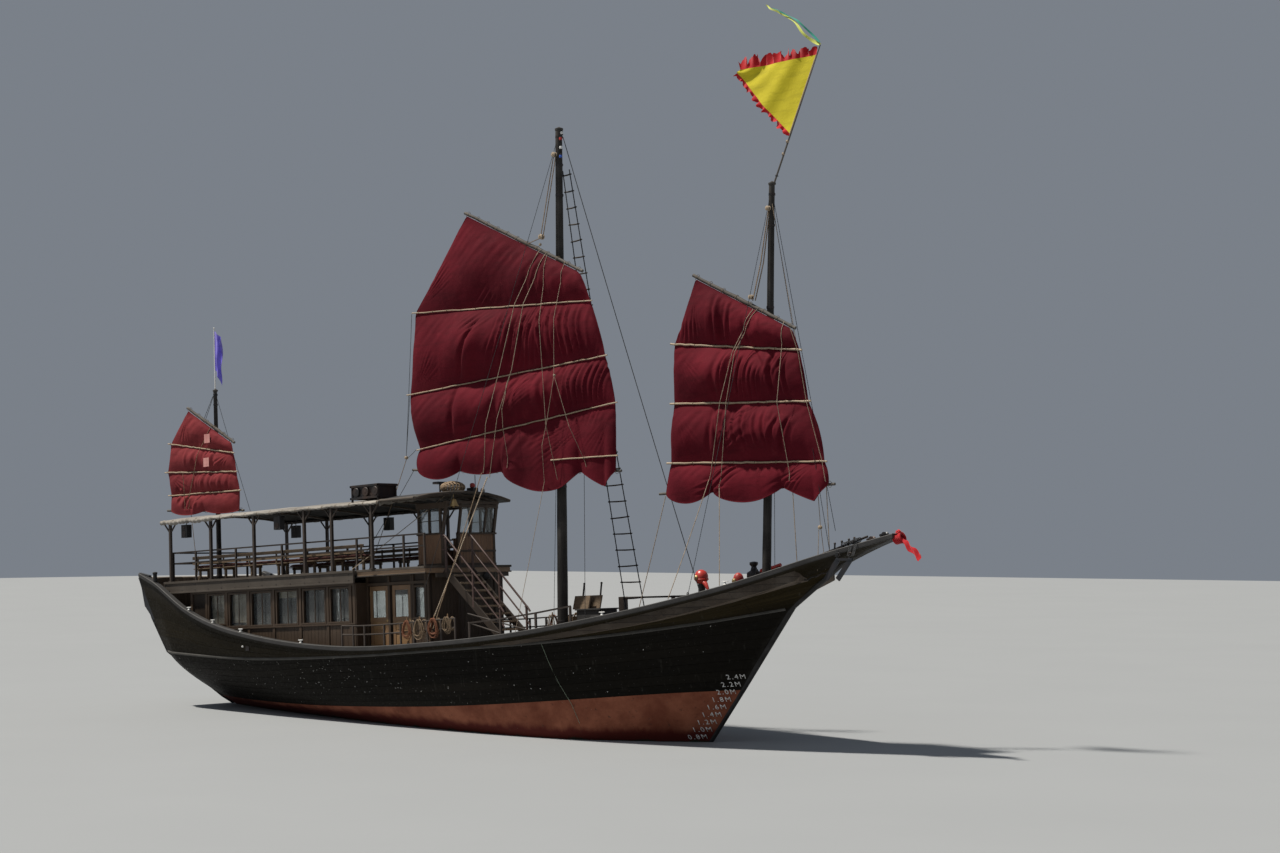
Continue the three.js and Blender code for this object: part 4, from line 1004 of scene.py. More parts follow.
def cap_rails():
    for side, word in SIDE_WORDS:
        shape = Shape()
        rings = []
        for share, _ in hull_shares():
            x, y, z = line_point(CAP, share)
            half = min(CAP_WIDTH / 2, y - 0.006)
            centre = max(y - BULWARK / 2, half + 0.002)
            low, soft = z - CAP_HEIGHT, 0.018
            section = [(centre - half, low), (centre + half - soft, low), (centre + half, low + soft),
                       (centre + half, z - soft), (centre + half - soft, z), (centre - half + soft, z),
                       (centre - half, z - soft)]
            rings.append([(x, side * a, b) for a, b in section])
        shape.loft(rings)
        piece("cap_rail_" + word + "_finished", shape, CAP_WOOD, "cap", replaced=["cap_rail_" + word],
              smooth=30)


def side_point(x, z, side=STARBOARD, proud=0.0):
    """A place on the outside of the planking and the direction out of it"""
    hit, out, _, _ = HULL_TREE.ray_cast(vec(x, side * 8, z), vec(0, -side, 0))
    if hit is None:
        hit, out, _, _ = HULL_TREE.find_nearest(vec(x, side * 2, z))
    if out.y * side < 0:
        out = -out
    return hit + out * proud, out


def strakes():
    """The rubbing strake, a half-round timber along the side"""
    worn = timber("rubbing_strake", (0.018, 0.017, 0.015), (0.06, 0.056, 0.05), LENGTHWAYS, 0.7, 0.45,
                  (0.13, 0.125, 0.115))
    for side, word in SIDE_WORDS:
        shape = Shape()
        rings = []
        for share in spread(0.004, 0.994, 110):
            p = line_point(STRAKE, share)
            rings.append([(p.x, side * (p.y + a), p.z + b) for a, b in (
                (-0.02, -0.038), (0.022, -0.038), (0.036, -0.015), (0.036, 0.015), (0.022, 0.038),
                (-0.02, 0.038))])
        shape.loft(rings)
        piece("rubbing_strakes_" + word, shape, worn, "planks", smooth=40)


def stem_and_stern():
    shape = Shape()
    profile = [line_point(line, 1.0) for line in range(7)]
    profile[CAP].z -= CAP_HEIGHT * 0.2
    path = [profile[KEEL] + vec(-0.05, 0, 0), *profile[1:], profile[CAP] + vec(0.05, 0, 0.02)]
    rings = []
    for p in path:
        half = clamp(p.y + 0.02, 0.075, 0.16)
        rings.append([(p.x - 0.06, -half, p.z), (p.x + 0.05, -half * 0.8, p.z), (p.x + 0.075, 0, p.z),
                      (p.x + 0.05, half * 0.8, p.z), (p.x - 0.06, half, p.z)])
    shape.loft(rings)
    piece("stem_timber", shape, CAP_WOOD, "planks", bevel=0.006)
    stern = Shape()
    edge = [line_point(line, 0.0) for line in range(BILGE, 7)]
    edge[-1].z -= CAP_HEIGHT
    for side in BOTH_SIDES:
        path = [(p.x - 0.03, side * (p.y - 0.05), p.z) for p in edge]
        smooth = []
        for a, b in zip(path, path[1:]):
            smooth += [between(a, b, t) for t in (0, 0.25, 0.5, 0.75)]
        stern.tube(smooth + [path[-1]], 0.07, 8)

    def across(z):
        for a, b in zip(edge, edge[1:]):
            if a.z <= z <= b.z:
                t = (z - a.z) / (b.z - a.z)
                return lerp(a.x, b.x, t), lerp(a.y, b.y, t)
        return edge[-1].x, edge[-1].y

    for z in (1.75, 2.5, 3.6, 4.55):
        x, y = across(z)
        stern.bar((x - 0.035, -y + 0.06, z), (x - 0.035, y - 0.06, z), 0.09, 0.12)
    low, high = across(0.98), across(4.6)
    stern.bar((low[0] - 0.06, 0, 0.98), (high[0] - 0.06, 0, 4.6), 0.26, 0.13)
    for y in (-1.35, 1.35):
        a, b = across(2.6), across(4.5)
        stern.bar((a[0] - 0.05, y, 2.6), (b[0] - 0.05, y, 4.5), 0.14, 0.08)
    piece("stern_timbers", stern, CAP_WOOD, "planks", bevel=0.008)
    wings = Shape()
    for side in BOTH_SIDES:
        outline = [(-13.97, 2.66, 5.11), (-13.9, 2.5, 4.0), (-13.52, 2.43, 3.52), (-13.36, 2.41, 3.6),
                   (-13.5, 2.6, 5.0)]
        wings.loft([[(x, side * (y - inner), z) for x, y, z in outline] for inner in (0.0, 0.11)])
    piece("stern_wing_boards", wings, transom_planks(), "planks", bevel=0.012)


def plugs_and_nails():
    rng = random.Random(11)
    nails, plugs = [], []
    for side in BOTH_SIDES:
        for line_share in spread(0.03, 0.93, 64):
            ring = girth(line_share)
            for plank in range(15, 15 + PLANKS_BELOW_STRAKE + 2 * PLANKS_ABOVE):
                spot = [p for p, v in ring if plank < v < plank + 1]
                if not spot or rng.random() < 0.12:
                    continue
                p = sum(spot, Vector()) / len(spot)
                jitter = rng.uniform(-0.03, 0.03)
                place_at, out = side_point(p.x + jitter, p.z + rng.uniform(-0.03, 0.03), side, 0.001)
                nails.append((place_at, out))
                if rng.random() < 0.16 and plank < 15 + PLANKS_BELOW_STRAKE:
                    extra, out = side_point(p.x + rng.uniform(-0.2, 0.2), p.z + rng.uniform(-0.07, 0.07), side,
                                            0.002)
                    plugs.append((extra, out))
        for _ in range(95):
            x, z = rng.gauss(-4.0, 3.2), rng.uniform(1.1, 2.15)
            if -11.5 < x < 7:
                plugs.append(side_point(x, z, side, 0.002))
    repeated("hull_nails", HEADS, points_mesh(nails), {"Radius": 0.014, "Height": 0.005, "Seed": 5},
             BLACK_IRON, "iron")
    repeated("hull_plugs", HEADS, points_mesh(plugs),
             {"Radius": 0.013, "Height": 0.004, "Uneven": 0.7, "Seed": 9},
             WHITE_PAINT, "planks")


# A mark's number less its height in the ship's level frame
MARKS_DROP = 1.12


def draft_marks():
    """Plain numbers up the bow on both sides, 0.2 m apart"""
    for side, word in SIDE_WORDS[::-1]:
        shape = Shape()
        for i in range(9):
            value = 0.8 + i * 0.2
            text = bpy.data.curves.new("mark", "FONT")
            text.body = f"{value:.1f}M"
            text.size, text.space_character, text.align_x, text.resolution_u = 0.18, 1.3, "CENTER", 2
            obj = linked("mark", text)
            bpy.context.view_layer.update()
            mesh = bpy.data.meshes.new_from_object(obj.evaluated_get(bpy.context.evaluated_depsgraph_get()))
            bpy.data.objects.remove(obj)
            centre = lerp(7.72, 9.1, i / 8)
            shape.add([side_point(centre - side * v.co.x, value - MARKS_DROP + v.co.y, side, 0.004)[0]
                       for v in mesh.vertices], [list(p.vertices) for p in mesh.polygons])
            bpy.data.meshes.remove(mesh)
        mark = bpy.data.meshes.new("draft_marks")
        mark.from_pydata(shape.points, [], shape.faces)
        obj = linked("draft_marks_" + word, mark)
        thick = obj.modifiers.new("thickness", "SOLIDIFY")
        thick.thickness, thick.offset = 0.004, 0
        place(obj, WHITE_PAINT, SHIP, "planks")


camera()
stage()
HULL_TREE = hull()
cap_rails()
strakes()
stem_and_stern()
plugs_and_nails()
draft_marks()


# Deckhouse. Columns of its windows: after edge x, fore edge x, sill z, head z.

CABIN_WINDOWS = [(-10.55, -9.75, 3.3, 4.22), (-9.5, -8.64, 3.22, 4.22), (-8.4, -7.44, 3.22, 4.22),
                 (-7.17, -6.19, 3.22, 4.22), (-5.9, -4.9, 3.22, 4.22), (-4.64, -3.8, 3.22, 4.22)]
CABIN_Y, FORWARD_Y, CABIN_TOP, UPPER_DECK = 2.42, 2.0, 4.36, 4.72
CABIN_AFT, CABIN_STEP, CABIN_FRONT = -11.5, -3.5, -0.75
PILASTERS = (-11.42, -10.66, -9.63, -8.53, -7.31, -6.04, -4.76, -3.72, -3.56)
DOORS = [(-3.38, -2.56), (-2.4, -1.58)]
DOOR_LOW, DOOR_HIGH = 2.268, 4.232
FORWARD_WINDOW = (-1.38, -0.96, 3.25, 4.15)
FORWARD_CEILING = 4.53
UPPER_HALF, UPPER_FORE_HALF = 2.56, 2.4
UPPER_AFT_END, UPPER_STEP, UPPER_FRONT = -12.7, -3.45, -0.5
PORT_STEP, NARROW_Y, UPPER_PORT_EDGE = -2.46, 1.0, 1.13


def wall_y(x, side):
    """The outer face of the forward cabin's side at x: to port it is set in forward of the step"""
    return NARROW_Y if side == PORT and x > PORT_STEP else FORWARD_Y


def window_frame(shape, x0, x1, z0, z1, face, side):
    """Four boards round an opening in a wall along the ship, mitred by overlap, and a sill that sticks out"""
    inner, outer, wide = side * (face - 0.02), side * (face + 0.03), 0.045
    shape.box((x0 - wide, inner, z0), (x0 + 0.012, outer, z1))
    shape.box((x1 - 0.012, inner, z0), (x1 + wide, outer, z1))
    shape.box((x0 - wide, inner, z1 - 0.012), (x1 + wide, outer, z1 + wide))
    shape.box((x0 - wide - 0.03, inner, z0 - wide), (x1 + wide + 0.03, side * (face + 0.055), z0 + 0.006))


def deckhouse_sides():
    for side, word in SIDE_WORDS:
        for wall in ("cabin_side_", "cabin_return_", "forward_side_"):
            dress(wall + word, DARK_WOOD, "dark_wood")
        frames, posts, boards, pane = Shape(), Shape(), Shape(), Shape()
        narrow = wall_y(CABIN_FRONT, side)

        def board(shape, x0, x1, face, inner, outer, z0, z1):
            shape.box((x0, side * (face + inner), z0), (x1, side * (face + outer), z1))

        for x0, x1, z0, z1 in CABIN_WINDOWS:
            window_frame(frames, x0, x1, z0, z1, CABIN_Y, side)
            board(frames, (x0 + x1) / 2 - 0.014, (x0 + x1) / 2 + 0.014, CABIN_Y, -0.03, -0.005, z0, z1)
        window_frame(frames, *FORWARD_WINDOW, narrow, side)
        for x in PILASTERS:
            low = max(deck_height(x) + 0.02, 2.2)
            board(posts, x - 0.055, x + 0.055, CABIN_Y, -0.01, 0.045, low, CABIN_TOP - 0.005)
            board(posts, x - 0.07, x + 0.07, CABIN_Y, -0.01, 0.06, 3.12, 3.17)
        for z0, z1 in ((3.115, 3.165), (4.285, 4.355)):
            board(posts, CABIN_AFT + 0.05, CABIN_STEP, CABIN_Y, 0.002, 0.055, z0, z1)
        for a, b in zip(PILASTERS, PILASTERS[1:]):
            for x0, x1 in strips(a, b, max(1, round((b - a) / 0.16))):
                board(boards, x0, x1, CABIN_Y, -0.005, 0.016, deck_height(x0) + 0.02, 3.12)
        board(posts, CABIN_STEP - 0.02, CABIN_STEP + 0.035, CABIN_Y, FORWARD_Y - CABIN_Y - 0.02, 0.03,
              deck_height(CABIN_STEP) + 0.01, CABIN_TOP - 0.005)
        for x in (-3.44, -2.51 if side == PORT else -2.48, -1.5, -1.44, -0.9, -0.79):
            board(posts, x - 0.045, x + 0.045, wall_y(x, side), -0.01, 0.04, deck_height(x) + 0.02,
                  FORWARD_CEILING - 0.01)
        board(posts, CABIN_STEP + 0.03, PORT_STEP, FORWARD_Y, 0.002, 0.05, 4.245, 4.33)
        board(posts, PORT_STEP, CABIN_FRONT, narrow, 0.002, 0.05, 4.245, 4.33)
        for x0, x1 in DOORS:
            board(posts, x0 - 0.01, x1 + 0.01, wall_y(x0, side), 0.002, 0.05, 2.235, 2.262)
        for x0, x1 in strips(-1.4, -0.79, 5):
            board(boards, x0, x1, narrow, -0.005, 0.014, deck_height(x0) + 0.03, 3.2)
        if side == PORT:
            for k in range(7):
                y0 = lerp(NARROW_Y + 0.045, FORWARD_Y - 0.03, k / 7) + 0.003
                boards.box((PORT_STEP - 0.01, y0, deck_height(PORT_STEP) + 0.02),
                           (PORT_STEP + 0.018, y0 + 0.126, 4.5))
        piece("window_frames_" + word, frames, FRAME_WOOD, "dark_wood", bevel=0.004)
        piece("pilasters_" + word, posts, FRAME_WOOD, "dark_wood", bevel=0.005)
        piece("lower_boards_" + word, boards, FRAME_WOOD, "dark_wood", bevel=0.003)
        glass = frame["nodes"]["cabin_glass_" + word]
        glass.data.materials.clear()
        glass.data.materials.append(GLASS)
        x0, x1, z0, z1 = FORWARD_WINDOW
        board(pane, x0 - 0.01, x1 + 0.01, narrow, -0.045, -0.036, z0 - 0.01, z1 + 0.01)
        piece("forward_window_pane_" + word, pane, GLASS, "glass")
        deckhouse_blinds(side, word)
        deckhouse_doors(side, word)


def deckhouse_blinds(side, word):
    """Tan blinds let down behind the two after windows, and one a little way down further forward"""
    for i, drop in ((0, 0.93), (1, 0.9), (3, 0.2)):
        x0, x1, _, z1 = CABIN_WINDOWS[i]
        y = side * (CABIN_Y - 0.135)
        rows = [[(x, y + side * 0.006 * sin(t * 46) + 0.004 * sin(x * 9 + t * 5), lerp(z1 + 0.03, z1 - drop, t))
                 for x in spread(x0 - 0.02, x1 + 0.02, 14)] for t in spread(0, 1, 26)]
        hung_sheet(f"blind_{word}_{i + 1}", rows, 0.002, BLIND, "canvas", (x1 - x0 + 0.04, drop + 0.05),
                   ["cabin_side_" + word + "_finished"])


def deckhouse_doors(side, word):
    for i, (x0, x1) in enumerate(DOORS):
        name = f"door_{word}_{i + 1}"
        leaf, panel, pane, metal = Shape(), Shape(), Shape(), Shape()
        a, b = x0 + 0.01, x1 - 0.01
        inner, outer = wall_y(x0, side) - 0.058, wall_y(x0, side) - 0.017

        def slab(shape, p0, p1, z0, z1, low=inner, high=outer):
            y0, y1 = side * low, side * high
            shape.box((p0, y0, z0), (p1, y1, z1))

        slab(leaf, a, a + 0.12, DOOR_LOW, DOOR_HIGH)
        slab(leaf, b - 0.12, b, DOOR_LOW, DOOR_HIGH)
        slab(leaf, a + 0.12, b - 0.12, 4.09, DOOR_HIGH)
        slab(leaf, a + 0.12, b - 0.12, 3.17, 3.3)
        slab(leaf, a + 0.12, b - 0.12, DOOR_LOW, 2.44)
        slab(leaf, a + 0.12, b - 0.12, 2.8, 2.88)
        for z0, z1 in ((2.44, 2.8), (2.88, 3.17)):
            slab(panel, a + 0.115, b - 0.115, z0 - 0.006, z1 + 0.006, inner + 0.014, outer - 0.014)
            slab(panel, a + 0.165, b - 0.165, z0 + 0.05, z1 - 0.05, inner + 0.004, outer - 0.004)
        slab(pane, a + 0.11, b - 0.11, 3.29, 4.1, inner + 0.017, inner + 0.025)
        metal.lathe((b - 0.06, side * (outer - 0.002), 3.2), (0, side, 0),
                    [(0, 0.036), (0.003, 0.034), (0.004, 0.01)])
        metal.ring((b - 0.06, side * (outer + 0.001), 3.18), (0, side, 0), 0.024, 0.003)
        for z in (2.5, 3.25, 4.0):
            metal.rod((a + 0.014, side * (outer - 0.001), z - 0.05),
                      (a + 0.014, side * (outer - 0.001), z + 0.05), 0.005)
        piece(name + "_frame", leaf, HONEY_WOOD, "warm_wood", body=name, replaced=[name], bevel=0.005)
        piece(name + "_panels", panel, PANEL_WOOD, "warm_wood", body=name, bevel=0.006)
        piece(name + "_pane", pane, GLASS, "glass", body=name)
        piece(name + "_handle", metal, BRONZE, "bronze", body=name)


def deckhouse_ends():
    dress("cabin_aft_wall", DARK_WOOD, "dark_wood")
    dress("forward_front_wall", DARK_WOOD, "dark_wood")
    boards = Shape()
    for k in range(30):
        y0 = lerp(-2.33, 2.33, k / 30) + 0.004
        boards.box((CABIN_AFT - 0.018, y0, deck_height(CABIN_AFT) + 0.02), (CABIN_AFT + 0.01, y0 + 0.147, 4.3))
    for y0, y1 in strips(-1.91, 0.91, 20):
        boards.box((CABIN_FRONT - 0.01, y0, deck_height(CABIN_FRONT) + 0.02), (CABIN_FRONT + 0.018, y1, 4.5))
    piece("end_boards", boards, FRAME_WOOD, "dark_wood", bevel=0.003)


def inside_the_cabin():
    """Benches and a table along the inside, seen through the glass"""
    shape = Shape()
    for side in BOTH_SIDES:
        for x0, x1 in ((-10.9, -8.2), (-7.8, -5.2)):
            z = deck_height((x0 + x1) / 2)
            y0, y1 = sorted((side * 1.55, side * 2.15))
            shape.box((x0, y0, z + 0.4), (x1, y1, z + 0.46))
            shape.box((x0, side * 2.13 - 0.03, z + 0.5), (x1, side * 2.13 + 0.03, z + 1.0))
            for x in (x0 + 0.15, x1 - 0.15):
                shape.box((x - 0.03, y0 + 0.05, z), (x + 0.03, y1 - 0.05, z + 0.4))
    for x in (-9.8, -6.6):
        z = deck_height(x)
        shape.box((x - 0.9, -0.45, z + 0.72), (x + 0.9, 0.45, z + 0.76))
        for dx in (-0.7, 0.7):
            shape.box((x + dx - 0.05, -0.06, z), (x + dx + 0.05, 0.06, z + 0.72))
    piece("cabin_seats_and_tables", shape, BENCH_WOOD, "warm_wood", bevel=0.006)


def upper_deck():
    dress("upper_deck_aft", FASCIA_WOOD, "deck_wood", bevel=0.008)
    dress("upper_deck_forward", VARNISHED, "deck_wood", bevel=0.008)
    planks = Shape()
    for low, high, x0, x1 in ((-UPPER_HALF + 0.09, UPPER_HALF - 0.09, UPPER_AFT_END + 0.01, UPPER_STEP - 0.01),
                              (UPPER_PORT_EDGE, UPPER_FORE_HALF - 0.05, UPPER_STEP + 0.01, PORT_STEP),
                              (-UPPER_FORE_HALF + 0.05, UPPER_PORT_EDGE - 0.04, UPPER_STEP + 0.01,
                               UPPER_FRONT - 0.06)):
        for k, (y0, y1) in enumerate(strips(low, high, round((high - low) / 0.142))):
            breaks = [x0] + [x for x in (x0 + 2.6 + (k * 7 % 5) * 0.55, x0 + 6.0 + (k * 3 % 4) * 0.5)
                             if x < x1 - 0.4]
            for a, b in zip(breaks, breaks[1:] + [x1]):
                planks.box((a + 0.003, y0, UPPER_DECK - 0.004), (b - 0.003, y1, UPPER_DECK + 0.01))
    piece("upper_deck_planks", planks, DECK_WOOD, "deck_wood")
    edge = Shape()
    for side in BOTH_SIDES:
        for z0, z1, proud in ((4.665, 4.735, 0.028), (4.345, 4.395, 0.022)):
            y0, y1 = side * (UPPER_HALF - 0.02), side * (UPPER_HALF + proud)
            edge.box((UPPER_AFT_END - 0.02, y0, z0), (UPPER_STEP + 0.02, y1, z1))
    corner = PORT_STEP + 0.04
    for y, x0, x1 in ((-UPPER_FORE_HALF, UPPER_STEP, UPPER_FRONT), (UPPER_FORE_HALF, UPPER_STEP, corner),
                      (UPPER_PORT_EDGE, corner, UPPER_FRONT)):
        side = STARBOARD if y < 0 else PORT
        for z0, z1 in ((4.67, 4.735), (4.52, 4.56)):
            edge.box((x0, y - side * 0.02, z0), (x1 + 0.03, y + side * 0.03, z1))
    for x, y0, y1 in ((corner, UPPER_PORT_EDGE, UPPER_FORE_HALF),
                      (UPPER_FRONT, -UPPER_FORE_HALF, UPPER_PORT_EDGE)):
        edge.box((x - 0.01, y0 - 0.03, 4.67), (x + 0.035, y1 + 0.03, 4.735))
    edge.box((UPPER_AFT_END - 0.03, -UPPER_HALF, 4.36), (UPPER_AFT_END + 0.02, UPPER_HALF, 4.735))
    piece("upper_deck_edging", edge, FASCIA_WOOD, "deck_wood", bevel=0.006)
    bolts = [((x, side * (UPPER_HALF + 0.002), z), (0, side, 0)) for side in BOTH_SIDES
             for x in spread(UPPER_AFT_END + 0.25, UPPER_STEP - 0.2, 14) for z in (4.45, 4.61)]
    repeated("edge_board_bolts", HEADS, points_mesh(bolts),
             {"Radius": 0.019, "Height": 0.012, "Uneven": 0.1, "Seed": 2},
             BLACK_IRON, "iron")
    for node in ("upper_rail_port", "upper_rail_starboard", "upper_rail_aft"):
        dress(node, RAIL_WOOD, "spar", bevel=0.008)


BENCH_AFT, BENCH_FORE, BENCH_OUTER, BENCH_INNER, BENCH_SEAT = -11.6, -3.3, 2.23, 1.7, 5.13


def crowned_pad(x0, x1, y0, y1, z0, thick, seed):
    """A stuffed pad: flat below, crowned above, its sides pulled in between the corners, with sewn channels"""
    wide, top, low = 61, [], []
    for v in spread(0, 1, 27):
        upper, under = [], []
        for u in spread(0, 1, wide):
            a, b = 2 * u - 1, 2 * v - 1
            x = lerp(x0, x1, u) - 0.015 * (1 - b * b) * abs(a) ** 9 * (1 if a > 0 else -1)
            y = lerp(y0, y1, v) - 0.018 * (1 - a * a) * abs(b) ** 3 * (1 if b > 0 else -1)
            edge = (1 - abs(a) ** 14) ** 0.5 * (1 - abs(b) ** 6) ** 0.5
            channel = sum(exp(-((u - c) * (x1 - x0) / 0.02) ** 2) for c in (0.25, 0.5, 0.75))
            soft = 0.006 * noise.noise(vec(x * 4, y * 6, seed)) + 0.003 * noise.noise(vec(x * 14, y * 14, seed))
            height = thick * (0.3 + 0.7 * edge) - 0.016 * min(channel, 1) * edge + soft * edge
            upper.append((x, y, z0 + height))
            under.append((x, y, z0 + 0.002 + 0.2 * thick * (1 - edge)))
        top.append(upper)
        low.append(under)
    shape = Shape()
    rim = [top[i // wide][i % wide] for i in shape.skin(top, low)[::2]]
    return shape, [(x, y, z - 0.004) for x, y, z in rim]


def benches():
    for side, word in SIDE_WORDS:
        shape = Shape()
        slats = spread(BENCH_INNER + 0.045, BENCH_OUTER - 0.045, 5)
        for y in slats:
            shape.box((BENCH_AFT, side * y - 0.042, BENCH_SEAT - 0.03),
                      (BENCH_FORE, side * y + 0.042, BENCH_SEAT - 0.002))
        for z in (5.3, 5.46):
            shape.box((BENCH_AFT, side * 2.245 - 0.014, z - 0.05), (BENCH_FORE, side * 2.245 + 0.014, z + 0.05))
        for x in np.arange(BENCH_AFT + 0.2, BENCH_FORE, 1.32):
            for y in (BENCH_INNER + 0.1, BENCH_OUTER - 0.1):
                shape.box((x, side * y - 0.035, UPPER_DECK + 0.008),
                          (x + 0.07, side * y + 0.035, BENCH_SEAT - 0.03))
            shape.box((x + 0.01, side * 1.965 - 0.24, BENCH_SEAT - 0.1),
                      (x + 0.06, side * 1.965 + 0.24, BENCH_SEAT - 0.03))
            shape.box((x + 0.01, side * 2.215 - 0.018, BENCH_SEAT - 0.03),
                      (x + 0.06, side * 2.215 + 0.018, 5.52))
        piece("bench_" + word + "_slatted", shape, BENCH_WOOD, "warm_wood", replaced=["bench_" + word],
              bevel=0.005)
        y0, y1 = sorted((side * (BENCH_INNER + 0.03), side * (BENCH_OUTER - 0.05)))
        for k, (x0, x1) in enumerate(strips(BENCH_AFT + 0.06, BENCH_FORE - 0.06, 6, 0.012)):
            pad, rim = crowned_pad(x0, x1, y0, y1, BENCH_SEAT, 0.092, k + side)
            name = f"cushion_{word}_{k + 1}"
            obj = piece(name, pad, CUSHION_CLOTH, "cushion", smooth=60,
                        replaced=["cushion_" + word] if k == 0 else [])
            piping = Shape().loft([[Vector(p) + across * (0.006 * cos(a)) + up * (0.006 * sin(a))
                                    for a in turn(6)]
                                   for p, across, up in frames_along(rim)], looped=True)
            piece(name + "_piping", piping, CUSHION_CLOTH, "cushion", smooth=60)


# Awning

AWNING_POSTS = (-12.5, -10.38, -8.2, -5.77, -4.5, -2.7)
AWNING_HALF, AWNING_EDGE, AWNING_CROWN = 2.45, 6.74, 6.93
AWNING_AFT, AWNING_FRONT, POST_Y = -12.9, -2.34, 2.44


def awning_height(y):
    return lerp(AWNING_CROWN, AWNING_EDGE, (y / AWNING_HALF) ** 2)


def awning():
    rows = []
    for i in range(61):
        v = 2 * i / 60 - 1
        y = v * (AWNING_HALF + 0.075)
        line = []
        for j in range(151):
            x = lerp(AWNING_AFT, AWNING_FRONT, j / 150)
            gap = min(abs(x - post) for post in AWNING_POSTS)
            ends = [post for post in AWNING_POSTS if post <= x][-1:] + [post for post in AWNING_POSTS
                                                                        if post > x][:1]
            span = ends[1] - ends[0] if len(ends) == 2 else 0.9
            sag = 0.06 * sin(pi * clamp(gap / span * 2) / 2) ** 2 * (span / 2.1)
            free = 1 - abs(v) ** 8
            z = awning_height(y) + 0.018 - sag * free * (0.55 + 0.45 * cos(v * 5.0))
            pull = exp(-gap / 0.25) * abs(v) ** 6
            z += 0.012 * pull * sin(x * 38) * ease(gap / 0.1)
            z += (0.01 * noise.noise(vec(x * 1.3, y * 1.3, 4)) + 0.006 * noise.noise(
                vec(x * 4.5, y * 1.2, 8))) * ease(gap / 0.3)
            z -= 0.05 * ease((abs(v) - 0.965) / 0.035)
            line.append((x, y, z))
        rows.append(line)
    mesh = laid_mesh("awning_cloth", rows, 0.006)
    # Faces that look down take the painted shade of the awning's underside
    mesh.polygons.foreach_set("material_index", [int(face.normal.z < -0.3) for face in mesh.polygons])
    cloth_obj = linked("awning_cloth", mesh)
    place(cloth_obj, [AWNING_CLOTH, AWNING_UNDERSIDE_SHADE], SHIP, "canvas", replaced=["awning_canvas"], smooth=60)
    hem = Shape()
    rng = random.Random(3)
    for side in BOTH_SIDES:
        path, radii = [], []
        for x in spread(AWNING_AFT + 0.02, AWNING_FRONT - 0.02, 240):
            full = 0.075 if side == STARBOARD and x < -10.2 else 0.042
            tied = min(abs((x - AWNING_AFT) % 0.62 - 0.31), 0.31) / 0.31
            radii.append(full * (0.62 + 0.38 * ease(tied * 2.2)) * rng.uniform(0.93, 1.07)
                         * (1 + 0.16 * sin(x * 31)))
            path.append((x, side * (AWNING_HALF + 0.055), AWNING_EDGE - 0.045 + 0.012 * sin(x * 5.3)
                         - (0.02 if full > 0.05 else 0)))
        hem.tube(path, radii, 12)
    hem_obj = piece("awning_rolled_hem", hem, AWNING_CLOTH, "canvas", smooth=60)
    valance = Shape()
    rows = []
    for t in spread(0, 1, 12):
        line = []
        for y in spread(-AWNING_HALF - 0.02, AWNING_HALF + 0.02, 220):
            scallop = 0.1 + 0.05 * abs(sin(y * 2 * pi / 0.9))
            line.append((AWNING_FRONT + 0.015 + 0.02 * t * sin(y * 17) * t, y,
                         awning_height(y) + 0.012 - t * (scallop + 0.02)))
        rows.append(line)
    valance.sheet(rows, 0.005)
    valance_obj = piece("awning_valance", valance, AWNING_CLOTH, "canvas", smooth=60)
    ties = [[(x, side * (AWNING_HALF + 0.055), AWNING_EDGE - 0.05) for x in (AWNING_AFT + 0.02, AWNING_FRONT)]
            for side in BOTH_SIDES]
    repeated("awning_ties", LOOPS, path_curve(ties), {"Spacing": 0.62, "Radius": 0.056, "Thickness": 0.006},
             TAN_ROPE, "rope")
    for word in ("port", "starboard"):
        dress("awning_frame_" + word, RAIL_WOOD, "spar", bevel=0.01)
    dress("awning_beams", CEILING_WOOD, "spar", bevel=0.006)
    knees = Shape()
    for side in BOTH_SIDES:
        for x in AWNING_POSTS:
            for toward in (-1, 1):
                knees.bar((x, side * POST_Y, AWNING_EDGE - 0.42),
                          (x + toward * 0.3, side * POST_Y, AWNING_EDGE - 0.1),
                          0.045, 0.035)
            knees.box((x - 0.07, side * POST_Y - 0.07, UPPER_DECK + 0.01),
                      (x + 0.07, side * POST_Y + 0.07, UPPER_DECK + 0.05))
    piece("awning_knees", knees, RAIL_WOOD, "spar", bevel=0.004)


# Wheelhouse: planked below the sill, with glazed frames above it that lean forward

HOUSE_HALF, HOUSE_AFT, HOUSE_FRONT, HOUSE_HEAD, HOUSE_SILL = 1.1, -2.15, -1.08, 6.64, 5.72
LEAN = math.tan(radians(11))
ROOF_ARCH = [(-2.42, 6.7), (-1.8, 6.8), (-1.0, 6.88), (-0.2, 6.905), (0.6, 6.86), (1.2, 6.76), (1.56, 6.67)]


def house_x(z):
    return HOUSE_FRONT + max(0.0, z - HOUSE_SILL) * LEAN


